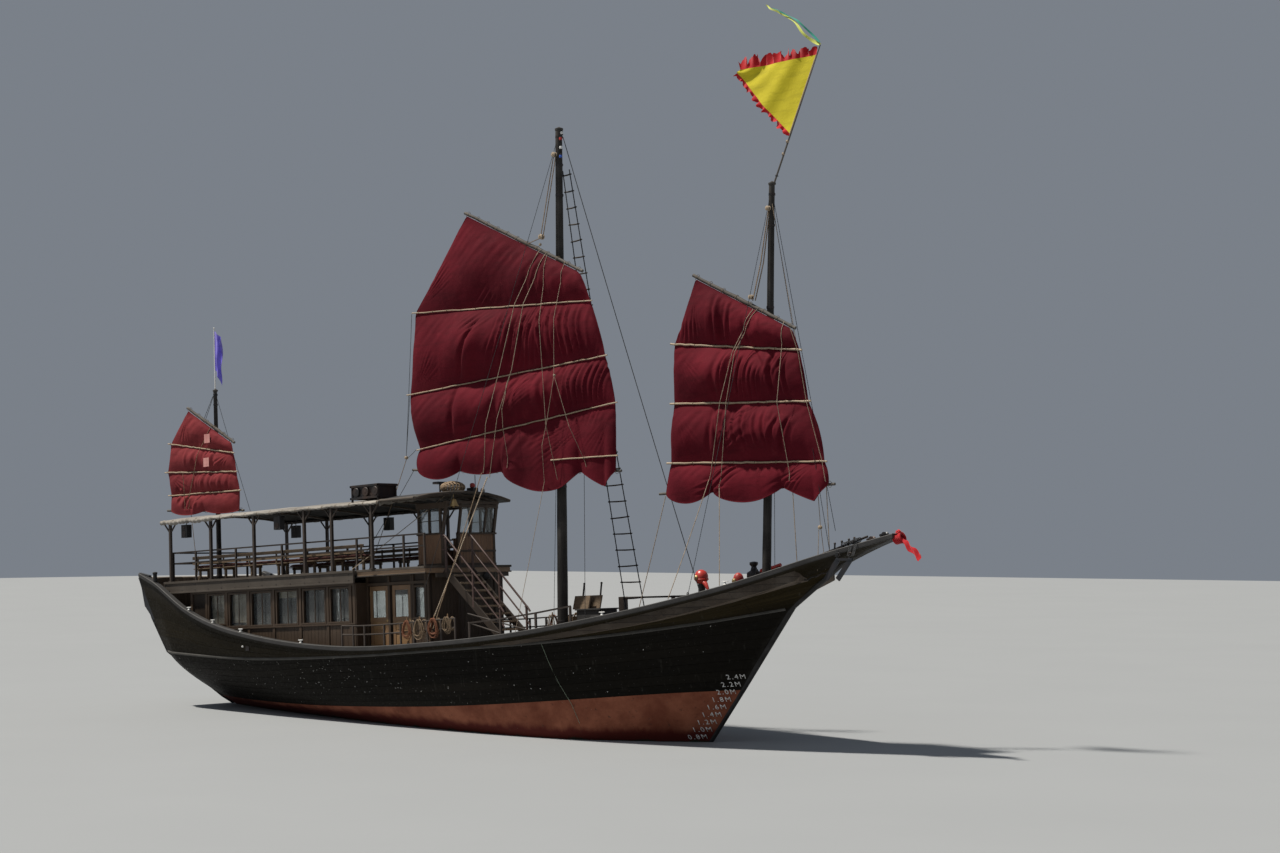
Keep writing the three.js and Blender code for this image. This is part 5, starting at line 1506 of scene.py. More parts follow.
def wheelhouse():
    boards, frames, panes = Shape(), Shape(), Shape()
    for a, b in strips(-1.1, -1.0, 1, 0.003) + strips(-0.4, 1.1, 12, 0.003):
        boards.box((HOUSE_FRONT - 0.06, a, UPPER_DECK + 0.002), (HOUSE_FRONT, b, HOUSE_SILL - 0.02))
    frames.box((HOUSE_FRONT - 0.08, -0.47, HOUSE_SILL - 0.03), (HOUSE_FRONT + 0.045, 1.14, HOUSE_SILL + 0.025))
    frames.box((HOUSE_FRONT - 0.07, -0.44, 5.16), (HOUSE_FRONT + 0.018, 1.12, 5.22))
    frames.box((HOUSE_FRONT - 0.07, -0.44, UPPER_DECK + 0.01), (HOUSE_FRONT + 0.022, 1.12, UPPER_DECK + 0.11))
    for y, wide in ((-1.06, 0.1), (-0.43, 0.075), (0.06, 0.07), (0.64, 0.07), (1.06, 0.1)):
        frames.bar((HOUSE_FRONT - 0.02, y, HOUSE_SILL - 0.02), (house_x(HOUSE_HEAD) - 0.02, y, HOUSE_HEAD),
                   wide, 0.07)
    for y in (-1.06, -0.43, 1.06):
        frames.bar((HOUSE_FRONT - 0.03, y, UPPER_DECK + 0.01), (HOUSE_FRONT - 0.03, y, HOUSE_SILL), 0.09, 0.085)
    head_x = house_x(6.52)
    frames.bar((head_x - 0.02, -1.12, 6.53), (head_x - 0.02, 1.12, 6.53), 0.07, 0.09)
    frames.bar((head_x, -1.12, 6.63), (head_x, 1.12, 6.63), 0.1, 0.08)
    for y0, y1 in ((-0.39, 0.02), (0.1, 0.6), (0.68, 1.01)):
        x0, x1 = house_x(HOUSE_SILL) - 0.028, house_x(6.49) - 0.028
        panes.loft([[(x0, y, HOUSE_SILL + 0.02), (x0 + 0.007, y, HOUSE_SILL + 0.02), (x1 + 0.007, y, 6.5),
                     (x1, y, 6.5)]
                    for y in (y0, y1)])
    middle = (HOUSE_AFT + HOUSE_FRONT) / 2 - 0.03
    for side in BOTH_SIDES:
        y0, y1 = sorted((side * (HOUSE_HALF - 0.06), side * HOUSE_HALF))
        for k in range(8):
            a = lerp(HOUSE_AFT, HOUSE_FRONT - 0.08, k / 8) + 0.003
            boards.box((a, y0, UPPER_DECK + 0.002), (a + 0.118, y1, HOUSE_SILL - 0.02))
        a, b = sorted((side * (HOUSE_HALF - 0.075), side * (HOUSE_HALF + 0.035)))
        frames.box((HOUSE_AFT - 0.02, a, HOUSE_SILL - 0.03), (HOUSE_FRONT + 0.02, b, HOUSE_SILL + 0.025))
        frames.box((HOUSE_AFT - 0.02, a + 0.01, UPPER_DECK + 0.01),
                   (HOUSE_FRONT - 0.01, b - 0.012, UPPER_DECK + 0.11))
        frames.box((HOUSE_AFT - 0.02, a, 6.47), (head_x, b, 6.64))
        for x in (HOUSE_AFT + 0.04, middle, HOUSE_FRONT - 0.1):
            frames.box((x - 0.04, y0 - 0.004, HOUSE_SILL - 0.02), (x + 0.04, y1 + 0.004, 6.5))
        centre = side * (HOUSE_HALF - 0.03)
        for a, b in ((HOUSE_AFT + 0.08, middle - 0.04), (middle + 0.04, HOUSE_FRONT - 0.14)):
            panes.box((a, centre - 0.004, HOUSE_SILL + 0.02), (b, centre + 0.004, 6.48))
            frames.box((a, centre - 0.012, 6.088), (b, centre + 0.012, 6.112))
    piece("wheelhouse_planking", boards, HOUSE_WOOD, "warm_wood", bevel=0.003,
          replaced=["wheelhouse_front", "wheelhouse_side_port", "wheelhouse_side_starboard"])
    piece("wheelhouse_frames", frames, FRAME_WOOD, "warm_wood", bevel=0.005)
    piece("wheelhouse_panes", panes, GLASS, "glass")
    wheelhouse_roof()
    wheelhouse_inside()


def wheelhouse_roof():
    dress("wheelhouse_roof", CAP_WOOD, "dark_wood", bevel=0.012)
    trim = Shape()
    fine = []
    for (y0, z0), (y1, z1) in zip(ROOF_ARCH, ROOF_ARCH[1:]):
        fine += [(lerp(y0, y1, t), lerp(z0, z1, t)) for t in (0, 0.5)]
    fine.append(ROOF_ARCH[-1])
    for x in (-2.36, -0.85):
        trim.tube([(x, y, z + 0.04) for y, z in fine], 0.045, 8)
    for y, z in (ROOF_ARCH[0], ROOF_ARCH[-1]):
        trim.tube([(-2.36, y, z + 0.04), (-0.85, y, z + 0.04)], 0.045, 8)
    piece("wheelhouse_roof_edge", trim, FASCIA_WOOD, "dark_wood", smooth=60)
    ribs = Shape()
    for x in (-2.1, -1.8, -1.5, -1.2):
        ribs.loft([[(x - 0.03, y, z - 0.05), (x + 0.03, y, z - 0.05), (x + 0.03, y, z + 0.005),
                    (x - 0.03, y, z + 0.005)]
                   for y, z in fine[1:-1]])
    piece("wheelhouse_roof_ribs", ribs, CEILING_WOOD, "dark_wood")
    gear = Shape()
    gear.box((-1.3, 0.18, 6.97), (-1.02, 0.4, 7.1)).paint(1)
    gear.turned((-1.15, 0.28, 7.1), [(0, 0.04), (0.02, 0.075), (0.1, 0.08), (0.14, 0.05), (0.15, 0.01)])
    gear.paint(0).rod((-1.15, 0.72, 6.86), (-1.15, 0.72, 6.98), 0.03)
    gear.paint(2).ball((-1.15, 0.72, 7.03), 0.075)
    gear.paint(0).rod((-1.7, 0.95, 6.83), (-1.7, 0.95, 7.55), 0.012)
    gear.rod((-1.9, -0.35, 6.95), (-1.9, -0.35, 7.28), 0.03)
    gear.box((-2.02, -0.55, 7.25), (-1.78, -0.15, 7.32))
    piece("roof_lamps_and_horn", gear, [BLACK_IRON, RED_PAINT, WHITE_PAINT], "iron", bevel=0.006)
    basket()
    bell()


def basket():
    """A wicker bundle lashed on the roof"""
    shape = Shape()
    centre, rx, ry, rz = vec(-1.25, -0.45, 7.1), 0.3, 0.4, 0.17
    for k in range(11):
        a = pi * (k + 0.5) / 11 - pi / 2
        ring_y, ring_r = sin(a) * ry, cos(a)
        shape.tube([centre + vec(cos(b) * rx * ring_r, ring_y, sin(b) * rz * ring_r)
                    for b in spread(0, 2 * pi, 25)], 0.03, 6)
    for b in turn(12):
        shape.tube([centre + vec(cos(b) * (rx + 0.02) * cos(a), sin(a) * (ry + 0.01),
                                     sin(b) * (rz + 0.02) * cos(a))
                    for a in spread(-1.4, 1.4, 12)], 0.011, 5)
    piece("wicker_bundle", shape, TAN_ROPE, "rope", smooth=60)


def bell():
    shape = Shape()
    top = vec(-0.9, -0.78, 6.78)
    shape.lathe(top + vec(0, 0, -0.02), (0, 0, -1), [
        (0.0, 0.012), (0.02, 0.03), (0.04, 0.075), (0.1, 0.098), (0.17, 0.118), (0.22, 0.15), (0.25, 0.168),
        (0.25, 0.155), (0.2, 0.118), (0.08, 0.085), (0.05, 0.01)], 24)
    shape.ball(top + vec(0, 0, -0.28), 0.028)
    shape.rod(top, top + vec(0, 0, 0.1), 0.008)
    piece("ship_bell", shape, BRONZE, "bronze", smooth=50)


def wheelhouse_inside():
    shape = Shape()
    shape.box((-1.62, -0.15, UPPER_DECK + 0.01), (-1.22, 1.0, 5.55))
    shape.box((-1.64, -0.18, 5.55), (-1.18, 1.02, 5.59))
    shape.box((-2.12, -0.35, UPPER_DECK + 0.01), (-1.9, 0.75, 5.25))
    piece("wheelhouse_console", shape, HOUSE_WOOD, "warm_wood", bevel=0.006)
    wheel = Shape()
    hub = vec(-1.72, 0.42, 5.42)
    wheel.ring(hub, (1, 0, 0), 0.27, 0.022, 28)
    wheel.lathe(hub - vec(0.04, 0, 0), (1, 0, 0), [(0, 0.05), (0.04, 0.06), (0.09, 0.05), (0.11, 0.03)])
    for a in turn(8):
        out = vec(0, cos(a), sin(a))
        wheel.tube([hub, hub + out * 0.27, hub + out * 0.31, hub + out * 0.39], [0.014, 0.014, 0.02, 0.013], 8)
    wheel.rod(hub, hub + vec(0.14, 0, 0), 0.02)
    piece("steering_wheel", wheel, HONEY_WOOD, "warm_wood", smooth=50)


# Stairs from the foredeck to the upper deck

STAIR_TOP, STAIR_FOOT, STAIR_SIDES, STAIR_TREADS = -0.4, 2.0, (-1.7, -0.62), 9


def stairs():
    foot_z, top_z = deck_height(STAIR_FOOT) + 0.04, UPPER_DECK - 0.06
    sides, treads, rails = Shape(), Shape(), Shape()
    for y in STAIR_SIDES:
        sides.bar((STAIR_TOP, y, top_z - 0.06), (STAIR_FOOT, y, foot_z + 0.06), 0.05, 0.22)
        start, end = (STAIR_TOP + 0.03, y, top_z + 0.95), (STAIR_FOOT - 0.12, y, foot_z + 1.05)
        for drop, radius in ((0.0, 0.03), (0.42, 0.024)):
            path = [(start[0] - 0.12, y, start[2] - drop + 0.01), (start[0], y, start[2] - drop)]
            path += [between((start[0], y, start[2] - drop), (end[0], y, end[2] - drop), t)
                     for t in (0.3, 0.6, 1.0)]
            rails.tube(path + [(end[0] + 0.07, y, end[2] - drop - 0.09)], radius, 12)
        for t in (0.03, 0.5, 0.96):
            x, z = lerp(STAIR_TOP, STAIR_FOOT - 0.1, t), lerp(top_z, foot_z + 0.06, t)
            rails.bar((x, y, z - 0.06), (x, y, z + 0.95), 0.055)
            rails.box((x - 0.04, y - 0.04, z + 0.93), (x + 0.04, y + 0.04, z + 0.97))
    for i in range(1, STAIR_TREADS + 1):
        t = i / (STAIR_TREADS + 1)
        x, z = lerp(STAIR_TOP, STAIR_FOOT, t), lerp(top_z, foot_z, t)
        treads.box((x - 0.13, STAIR_SIDES[0] + 0.02, z - 0.02), (x + 0.13, STAIR_SIDES[1] - 0.02, z + 0.02))
        treads.box((x + 0.105, STAIR_SIDES[0] + 0.02, z - 0.028), (x + 0.138, STAIR_SIDES[1] - 0.02, z + 0.026))
    piece("stair_sides", sides, DARK_WOOD, "dark_wood", replaced=["stairs"], bevel=0.006)
    piece("stair_treads", treads, TREAD_WOOD, "dark_wood", bevel=0.005)
    piece("stair_handrails", rails, STAIR_RAIL_WOOD, "dark_wood", bevel=0.006)


deckhouse_sides()
deckhouse_ends()
inside_the_cabin()
upper_deck()
benches()
awning()
wheelhouse()
stairs()


# Masts. Columns: foot, head, radius at the foot, radius at the head, heights of the iron bands as shares

MASTS = {
    "main_mast": ((2.61, 0, 2.38), (3.2, 0, 17.3), 0.16, 0.1, (0.04, 0.3, 0.31, 0.62, 0.87, 0.93, 0.985)),
    "fore_mast": ((10.02, 0, 3.4), (10.85, 0, 14.41), 0.125, 0.08, (0.05, 0.33, 0.7, 0.9, 0.975)),
    "mizzen_mast": ((-13.13, 0, 4.525), (-13.13, 0, 11.23), 0.09, 0.065, (0.06, 0.5, 0.93, 0.98)),
}
FORE_POLE = ((10.835, 0, 14.25), (12.64, 0, 17.85))
MIZZEN_POLE = ((-13.13, 0, 11.1), (-13.13, 0, 13.4))


def masts():
    for name, (foot, head, r0, r1, bands) in MASTS.items():
        shape, rng = Shape(), random.Random(len(name))
        steps = spread(0, 1, 26)
        path = [Vector(between(foot, head, t)) + vec(0, 0.012 * sin(3 * t + r0 * 9), 0) for t in steps]
        shape.tube(path, [lerp(r0, r1, t) * rng.uniform(0.985, 1.015) for t in steps], 22)
        tip = Vector(head)
        shape.turned(tip, [(-0.02, r1 + 0.02), (0.03, r1 + 0.025), (0.06, r1 * 0.6), (0.085, 0.01)], 18)
        shape.paint(1)
        for t in bands:
            at, radius = between(foot, head, t), lerp(r0, r1, t)
            shape.lathe(at, Vector(head) - Vector(foot), [
                (-0.035, radius), (-0.03, radius + 0.012), (0.03, radius + 0.012), (0.035, radius)], 22)
        shape.paint(2)
        if name == "fore_mast":
            shape.tube([FORE_POLE[0], between(*FORE_POLE, 0.5), FORE_POLE[1]], [0.026, 0.024, 0.016], 10)
            shape.paint(1)
            for t in (0.02, 0.1):
                shape.ring(between(*FORE_POLE, t), Vector(FORE_POLE[1]) - Vector(FORE_POLE[0]), 0.04, 0.012)
        if name == "mizzen_mast":
            shape.paint(3).tube([MIZZEN_POLE[0], MIZZEN_POLE[1]], [0.024, 0.018], 10)
            shape.ball((*MIZZEN_POLE[1][:2], MIZZEN_POLE[1][2] - 0.01), 0.03)
        piece(name + "_finished", shape, [MAST_WOOD, BLACK_IRON, SPAR_WOOD, WHITE_PAINT], "spar",
              replaced=[name])
        collar = Shape()
        for a in turn(12):
            out = vec(cos(a), sin(a), 0)
            low = Vector(foot) + out * (r0 + 0.02) + vec(0, 0, 0.005)
            collar.bar(low, low + vec(0, 0, 0.14) - out * 0.012, 0.05, 0.04)
        collar.ring(Vector(foot) + vec(0, 0, 0.04), (0, 0, 1), r0 + 0.06, 0.035, 24)
        piece(name + "_wedges", collar, CAP_WOOD, "spar", bevel=0.003)


# A line lies at one y where it is drawn flat; columns of its points: x, z.

def flat_line(y, points):
    return [(x, y, z) for x, z in points]


# Sails. Spars are listed from the foot up; columns: after end x, z, fore end x, z.
# A fan of creases spreads from a point; a row of creases runs side by side.

SAILS = {
    "main": {
        "y": -0.45, "cloth": MAIN_CLOTH, "columns": 210, "rows": 44,
        "spars": [((-2.74, 7.74), (5.28, 7.12)), ((-2.58, 8.36), (5.36, 9.03)), ((-2.95, 10.07), (5.05, 10.39)),
                  ((-2.62, 12.56), (4.56, 12.03)), ((-0.28, 15.28), (4.12, 13.0))],
        "belly": (0.12, 0.34, 0.4, 0.26),
        "leech": (-0.1, -0.12, 0.02, 0.06), "luff": (0.02, 0.04, 0.05, 0.03),
        "ties": ((0.0, 0.0), (0.23, 0.28), (0.45, 0.12), (0.835, 0.6), (1.0, 0.45)),
        "fans": [
            ((5.5, 9.15), 186, 216, 12, 0.5, 4.2, 0.055), ((5.3, 8.9), 216, 262, 8, 0.3, 1.7, 0.045),
            ((5.2, 10.3), 228, 262, 9, 0.3, 1.9, 0.045), ((3.2, 13.6), 236, 268, 8, 0.5, 5.0, 0.028),
            ((-2.7, 12.6), 18, 50, 8, 0.3, 2.4, 0.03), ((1.2, 10.5), 230, 262, 8, 0.2, 1.6, 0.03),
            ((-2.9, 10.1), 20, 62, 8, 0.2, 1.8, 0.03), ((0.2, 8.6), 20, 48, 9, 0.3, 3.0, 0.03)],
        "rows_of_creases": [
            ((4.3, 9.7), 68, 0.95, 1.0, 11, 0.04), ((3.6, 11.2), 84, 0.9, 1.2, 9, 0.035),
            ((1.7, 11.2), 68, 0.9, 1.1, 11, 0.032), ((0.2, 12.2), 40, 0.7, 0.6, 7, 0.022),
            ((4.6, 12.9), 120, 0.5, 0.5, 3, 0.02), ((3.0, 9.5), 72, 0.6, 0.7, 4, 0.03)],
        "girts": [((0.55, 12.4), (-0.9, 10.1), (-1.2, 8.4), 0.09)],
        "lines": [[(2.65, 13.75), (2.02, 12.22), (1.3, 10.33), (0.67, 8.82), (0.16, 7.43)],
                  [(2.89, 13.62), (2.37, 12.18), (1.81, 10.31), (1.15, 8.95), (0.39, 7.29)],
                  [(2.96, 13.6), (2.97, 11.6), (3.04, 9.9), (3.09, 8.6), (3.12, 7.02)],
                  [(3.63, 13.28), (3.55, 11.6), (3.48, 9.98)],
                  [(3.48, 9.98), (3.13, 8.66), (2.91, 8.0), (2.6, 7.0)],
                  [(3.48, 9.98), (3.99, 8.47), (4.3, 7.3)],
                  [(1.29, 10.25), (1.36, 9.2), (1.38, 8.64), (1.21, 7.5)]],
    },
    "fore": {
        "y": -0.4, "cloth": MAIN_CLOTH, "columns": 170, "rows": 40,
        "spars": [((7.06, 6.36), (12.5, 6.24)), ((7.3, 7.17), (12.4, 6.84)), ((7.5, 8.79), (11.98, 8.44)),
                  ((7.6, 10.43), (11.77, 9.81)), ((8.42, 12.18), (11.5, 10.48))],
        "belly": (0.12, 0.34, 0.34, 0.26),
        "leech": (-0.02, -0.05, -0.03, 0.03), "luff": (0.05, 0.1, 0.02, 0.02),
        "ties": ((0.0, 0.1), (0.3, 0.3), (0.73, 0.35), (1.0, 0.42)),
        "fans": [
            ((8.5, 12.1), 258, 282, 4, 0.4, 1.9, 0.03), ((7.6, 10.3), 286, 330, 7, 0.2, 1.5, 0.035),
            ((7.6, 8.7), 280, 316, 5, 0.15, 1.5, 0.045), ((12.3, 6.95), 196, 228, 5, 0.2, 2.2, 0.04),
            ((11.6, 10.3), 226, 262, 4, 0.2, 1.6, 0.03), ((8.2, 7.0), 10, 40, 4, 0.3, 2.6, 0.03)],
        "rows_of_creases": [
            ((9.3, 11.0), 74, 0.8, 0.5, 3, 0.035), ((8.0, 10.7), 72, 0.4, 0.5, 6, 0.018),
            ((10.6, 10.2), 112, 0.7, 0.35, 2, 0.035), ((10.0, 9.2), 62, 0.55, 0.9, 11, 0.032),
            ((11.2, 9.2), 84, 0.55, 0.4, 3, 0.045), ((10.0, 7.9), 84, 0.5, 1.3, 11, 0.028),
            ((11.3, 7.6), 72, 0.5, 0.4, 3, 0.035), ((9.0, 6.6), 20, 0.8, 0.25, 3, 0.03)],
        "girts": [((9.55, 11.6), (9.0, 8.7), (8.6, 7.0), 0.07), ((11.0, 10.6), (11.0, 8.5), (11.2, 6.8), 0.05)],
        "lines": [[(10.34, 11.05), (9.9, 9.92), (9.41, 8.63), (8.69, 6.61)],
                  [(10.44, 11.03), (9.98, 9.91), (9.62, 8.61), (9.04, 6.4)],
                  [(11.32, 10.6), (11.3, 8.45), (11.39, 6.4)]],
    },
    "mizzen": {
        "y": -0.35, "cloth": MIZZEN_CLOTH, "columns": 110, "rows": 26,
        "spars": [((-15.24, 7.27), (-11.55, 7.06)), ((-15.19, 7.78), (-11.51, 7.72)),
                  ((-15.37, 8.59), (-11.67, 8.36)), ((-15.17, 9.56), (-11.82, 9.01)),
                  ((-14.18, 10.67), (-11.95, 9.43))],
        "belly": (0.1, 0.13, 0.15, 0.13),
        "leech": (0.0, 0.0, 0.02, 0.02), "luff": (0.0, 0.01, 0.01, 0.02),
        "ties": ((0.0, 0.05), (0.5, 0.16), (1.0, 0.1)),
        "fans": [((-14.1, 10.6), 236, 280, 4, 0.2, 1.3, 0.025), ((-11.8, 9.1), 196, 236, 4, 0.2, 1.5, 0.025),
                 ((-15.2, 8.5), 300, 345, 4, 0.2, 1.3, 0.02)],
        "rows_of_creases": [((-13.4, 9.0), 80, 0.4, 1.2, 7, 0.018), ((-13.0, 8.1), 84, 0.35, 1.2, 8, 0.018),
                            ((-14.2, 7.5), 60, 0.25, 0.8, 5, 0.03)],
        "girts": [((-13.1, 10.0), (-13.2, 8.5), (-13.2, 7.4), 0.03)],
        "lines": [[(-12.91, 10.05), (-13.44, 9.05), (-13.94, 7.6), (-14.1, 7.25)]],
    },
}
STEEPEST = 0.14                             # a crease's depth, at most, as a share of its own width
LACE_GAP = 0.07                             # from the yard's middle down to the cloth's head


def crease(x, z, sail):
    """How far the cloth stands out of its plane at a place because of its creases"""
    total = 0.0
    for (cx, cz), start, end, count, near, far, depth in sail["fans"]:
        dx, dz = x - cx, z - cz
        reach = hypot(dx, dz)
        if near * 0.5 < reach < far:
            angle = math.degrees(math.atan2(dz, dx)) % 360
            t = (angle - start) / (end - start)
            if 0 < t < 1:
                wobble = 0.35 * noise.noise(vec(reach * 0.8, t * 3, cx))
                window = (ease(t * 5) * ease((1 - t) * 5) * ease((reach - near * 0.5) / near)
                          * ease((far - reach) / (0.6 * far)))
                ridge = sin((t + wobble / count) * count * 2 * pi)
                depth = min(depth, STEEPEST * reach * radians(end - start) / count)
                total += depth * window * (0.5 * ridge + 0.5 * ridge * abs(ridge)
                                           + 0.3 * sin(t * count * 4.7 + 1))
    for (cx, cz), direction, half_run, half_wide, count, depth in sail["rows_of_creases"]:
        a = radians(direction)
        run = (x - cx) * cos(a) + (z - cz) * sin(a)
        wide = -(x - cx) * sin(a) + (z - cz) * cos(a)
        wide += 0.1 * sin(run * 1.9 + cx) + 0.1 * noise.noise(vec(run, wide * 0.6, cz))
        if abs(run) < half_run * 1.3 and abs(wide) < half_wide:
            window = (ease((half_run * 1.3 - abs(run)) / (0.8 * half_run))
                      * ease((half_wide - abs(wide)) / (0.35 * half_wide)))
            phase = (wide / half_wide) * count * pi
            depth = min(depth, STEEPEST * 2 * half_wide / count)
            total += depth * window * (sin(phase) + 0.45 * sin(1.7 * phase + cz))
    return total


def girt(x, z, sail):
    """The cloth is held in where a lift runs down over it, and stands out on the bow's side of it"""
    total = 0.0
    for *line, depth in sail["girts"]:
        for (x0, z0), (x1, z1) in zip(line, line[1:]):
            if z1 <= z <= z0:
                off = x - lerp(x1, x0, (z - z1) / (z0 - z1))
                fade = ease((z0 - z) / 0.8 if (x0, z0) == line[0] else 1) * ease((z - z1) / 0.8
                                                                                 if (x1, z1) == line[-1] else 1)
                total += fade * depth * (-exp(-(off / 0.1) ** 2) + 0.7 * exp(-((off - 0.3) / 0.28) ** 2))
    return total


def held_in(x, z, sail):
    """How close, from 0 to 1, a place lies to one of the lines that run down over the cloth"""
    nearest = 9.0
    for line in sail["lines"]:
        for (x0, z0), (x1, z1) in zip(line, line[1:]):
            if z1 <= z <= z0:
                nearest = min(nearest, abs(x - lerp(x1, x0, (z - z1) / (z0 - z1))))
    return exp(-(nearest / 0.2) ** 2)


def foot_sag(u, ties):
    """The scallops of the foot between its ties; the one at the luff hangs to a point"""
    for (u0, _), (u1, sag) in zip(ties, ties[1:]):
        if u0 <= u <= u1:
            t = (u - u0) / (u1 - u0)
            if u1 == 1.0 and sag > 0.3:
                return -sag * min(t / 0.72, (1 - t) / 0.28)
            return -sag * (4 * t * (1 - t)) ** 0.8
    return 0.0


def sail_cloth(sail):
    """The grid of the cloth, from the foot to the head, and its flat area"""
    spars, columns, rows = sail["spars"], sail["columns"], sail["rows"]
    grid, area, before = [], 0.0, None
    last = len(spars) - 2
    for p, (low, high) in enumerate(zip(spars, spars[1:])):
        for k in range(rows + 1 if p == last else rows):
            t = k / rows
            line = []
            for j in range(columns + 1):
                u = j / columns
                a, b = between(low[0], low[1], u), between(high[0], high[1], u)
                x, z = lerp(a[0], b[0], t), lerp(a[1], b[1], t)
                round_edge = 4 * t * (1 - t)
                x += round_edge * (sail["leech"][p] * (1 - u) ** 5 + sail["luff"][p] * u ** 5)
                if p == 0:
                    z += foot_sag(u, sail["ties"]) * (1 - t) ** 1.5
                if p == last:
                    z -= LACE_GAP * ease(t * 4 - 3)
                line.append((x, z))
            if before:
                for j in range(columns):
                    (x0, z0), (x1, z1), (x2, z2), (x3, z3) = before[j], before[j + 1], line[j + 1], line[j]
                    area += abs((x2 - x0) * (z3 - z1) - (x3 - x1) * (z2 - z0)) / 2
            before = line
            out = []
            for j, (x, z) in enumerate(line):
                u = j / columns
                sides = (4 * u * (1 - u)) ** 0.45 if 0 < u < 1 else 0.0
                lobes = 1 + 0.18 * sin(u * 9 + p * 2.2) + 0.12 * sin(u * 17 + p)
                low_bag = sin(pi * t ** 1.08)
                free = 1.0 if p else ease(t + 0.35)
                depth = sail["belly"][p] * low_bag * sides * lobes * (1 - 0.3 * held_in(x, z, sail))
                if p == 0:
                    depth += 0.12 * (1 - t) * sin(pi * clamp(-foot_sag(u, sail["ties"]) * 2))
                pinned = ease(5 * t) * ease(5 * (1 - t)) if p else ease(5 * (1 - t))
                run, wide = (x + 1.5 * z) / 1.8, (z - 0.9 * x) / 1.35
                pull = 0.03 * ease(1.6 * t - 0.5) * noise.noise(vec(run * 0.8, wide * 5.5, 5 + p))
                soft = pull + 0.016 * noise.noise(vec(x * 1.6, z * 1.1, 3 + p)) + 0.006 * noise.noise(
                    vec(x * 6, z * 3.2, 9))
                depth += (crease(x, z, sail) + girt(x, z, sail) + soft) * pinned * free
                out.append((x, sail["y"] - depth, z))
            grid.append(out)
    return grid, area


CLOTHS = {}


def over_cloth(name, points):
    """A line's points brought clear of the starboard face of the cloth that they cross"""
    path = []
    for p, q in zip(points, points[1:]):
        path += [between(p, q, t) for t in spread(0, 1, 12)[:-1]]
    clear = []
    for x, y, z in path + [points[-1]]:
        hit = CLOTHS[name].ray_cast(vec(x, -4, z), vec(0, 1, 0))[0]
        clear.append((x, y if hit is None else min(y, hit.y - 0.015), z))
    return clear


def sails():
    for name, sail in SAILS.items():
        body = name + "_rig"
        grid, area = sail_cloth(sail)
        mesh = laid_mesh(name + "_sail_cloth", grid, 0.008)
        CLOTHS[name] = BVHTree.FromPolygons([v.co for v in mesh.vertices],
                                            [list(f.vertices) for f in mesh.polygons])
        obj = place(linked(mesh.name, mesh), sail["cloth"], body, "sail", replaced=[name + "_sail"], smooth=60)
        spars_of(name, sail, body)
        bolt_rope(name, grid, body)


def spar_line(p, q, y, after, fore):
    """The ends of a spar from p to q, let out past them. The points hold x and z."""
    dx, dz = ((b - a) / dist(p, q) for a, b in zip(p, q))
    return (p[0] - dx * after, y, p[1] - dz * after), (q[0] + dx * fore, y, q[1] + dz * fore)


def spars_of(name, sail, body):
    y = sail["y"]
    foot, *battens, head = sail["spars"]
    rng = random.Random(name)
    slim = {"main": 0.021, "fore": 0.027, "mizzen": 0.024}[name]
    for word, spar, radius, after in (("yard", head, 0.058, 0.16), ("boom", foot, 0.048, 0.3)):
        ends = spar_line(*spar, y + 0.07, after, 0.16)
        path = [Vector(between(*ends, t)) + vec(0, 0, rng.uniform(-0.008, 0.008)) for t in spread(0, 1, 22)]
        radii = [radius * (0.72 + 0.28 * sin(pi * clamp(t, 0.08, 0.92))) * rng.uniform(0.96, 1.04)
                 for t in spread(0, 1, 22)]
        piece(name + "_" + word + "_finished", Shape().tube(path, radii, 14), SPAR_WOOD, "spar", body=body,
              replaced=[name + "_" + word], smooth=50)
    lines, paths = Shape(), []
    for batten in battens:
        ends = spar_line(*batten, y - 0.04, 0.14, 0.12)
        path = [Vector(between(*ends, t)) + vec(0, rng.uniform(-0.004, 0.004), rng.uniform(-0.01, 0.01))
                for t in spread(0, 1, 26)]
        lines.tube(path, [slim * rng.uniform(0.85, 1.1) for _ in path], 9)
        paths.append(path[1:-1])
    if name == "main":
        lines.tube(over_cloth(name, [(2.9, y - 0.04, 7.6), (4.1, y - 0.045, 7.57), (5.42, y - 0.04, 7.54)]),
                   slim, 9)
    piece(name + "_battens", lines, BATTEN_WOOD, "spar", body=body, smooth=60)
    for word, runs, gap, radius in (("_batten_ties", paths, 0.62, slim + 0.007),
                                    ("_lacing", [flat_line(y + 0.07, spar) for spar in (head, foot)], 0.45,
                                     0.082)):
        repeated(name + word, LOOPS, path_curve(runs), {"Spacing": gap, "Radius": radius, "Thickness": 0.006},
                 TAN_ROPE, "rope", body=body)


def bolt_rope(name, grid, body):
    """Rope sewn round the edge of the cloth"""
    edge = grid[0] + [row[-1] for row in grid[1:]] + grid[-1][-2::-1] + [row[0] for row in grid[-2::-1]]
    piece(name + "_bolt_rope", Shape().tube(edge[::3], 0.013, 6), SAILS[name]["cloth"], "sail", body=body,
          smooth=60)


masts()
sails()


# Ropes

def hanging(p, q, sag, count=14):
    """A rope's points from p to q with its own sag"""
    return [tuple(Vector(between(p, q, t)) - vec(0, 0, 4 * sag * t * (1 - t))) for t in spread(0, 1, count)]


def ropes(name, paths, radius, material, body=SHIP, replaced=(), step=2.6):
    return repeated(name, ROPE, path_curve(paths), {"Radius": radius, "Lay": radius * 9, "Step": radius * step},
                    material, "rope", body=body, smooth=60, replaced=replaced)


def crossing(name, path, radius, material):
    """A rope from a sail's gear down to the ship, on no body, its place baked into its mesh"""
    obj = ropes(name, [path], radius, material, body=None)
    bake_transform(obj)


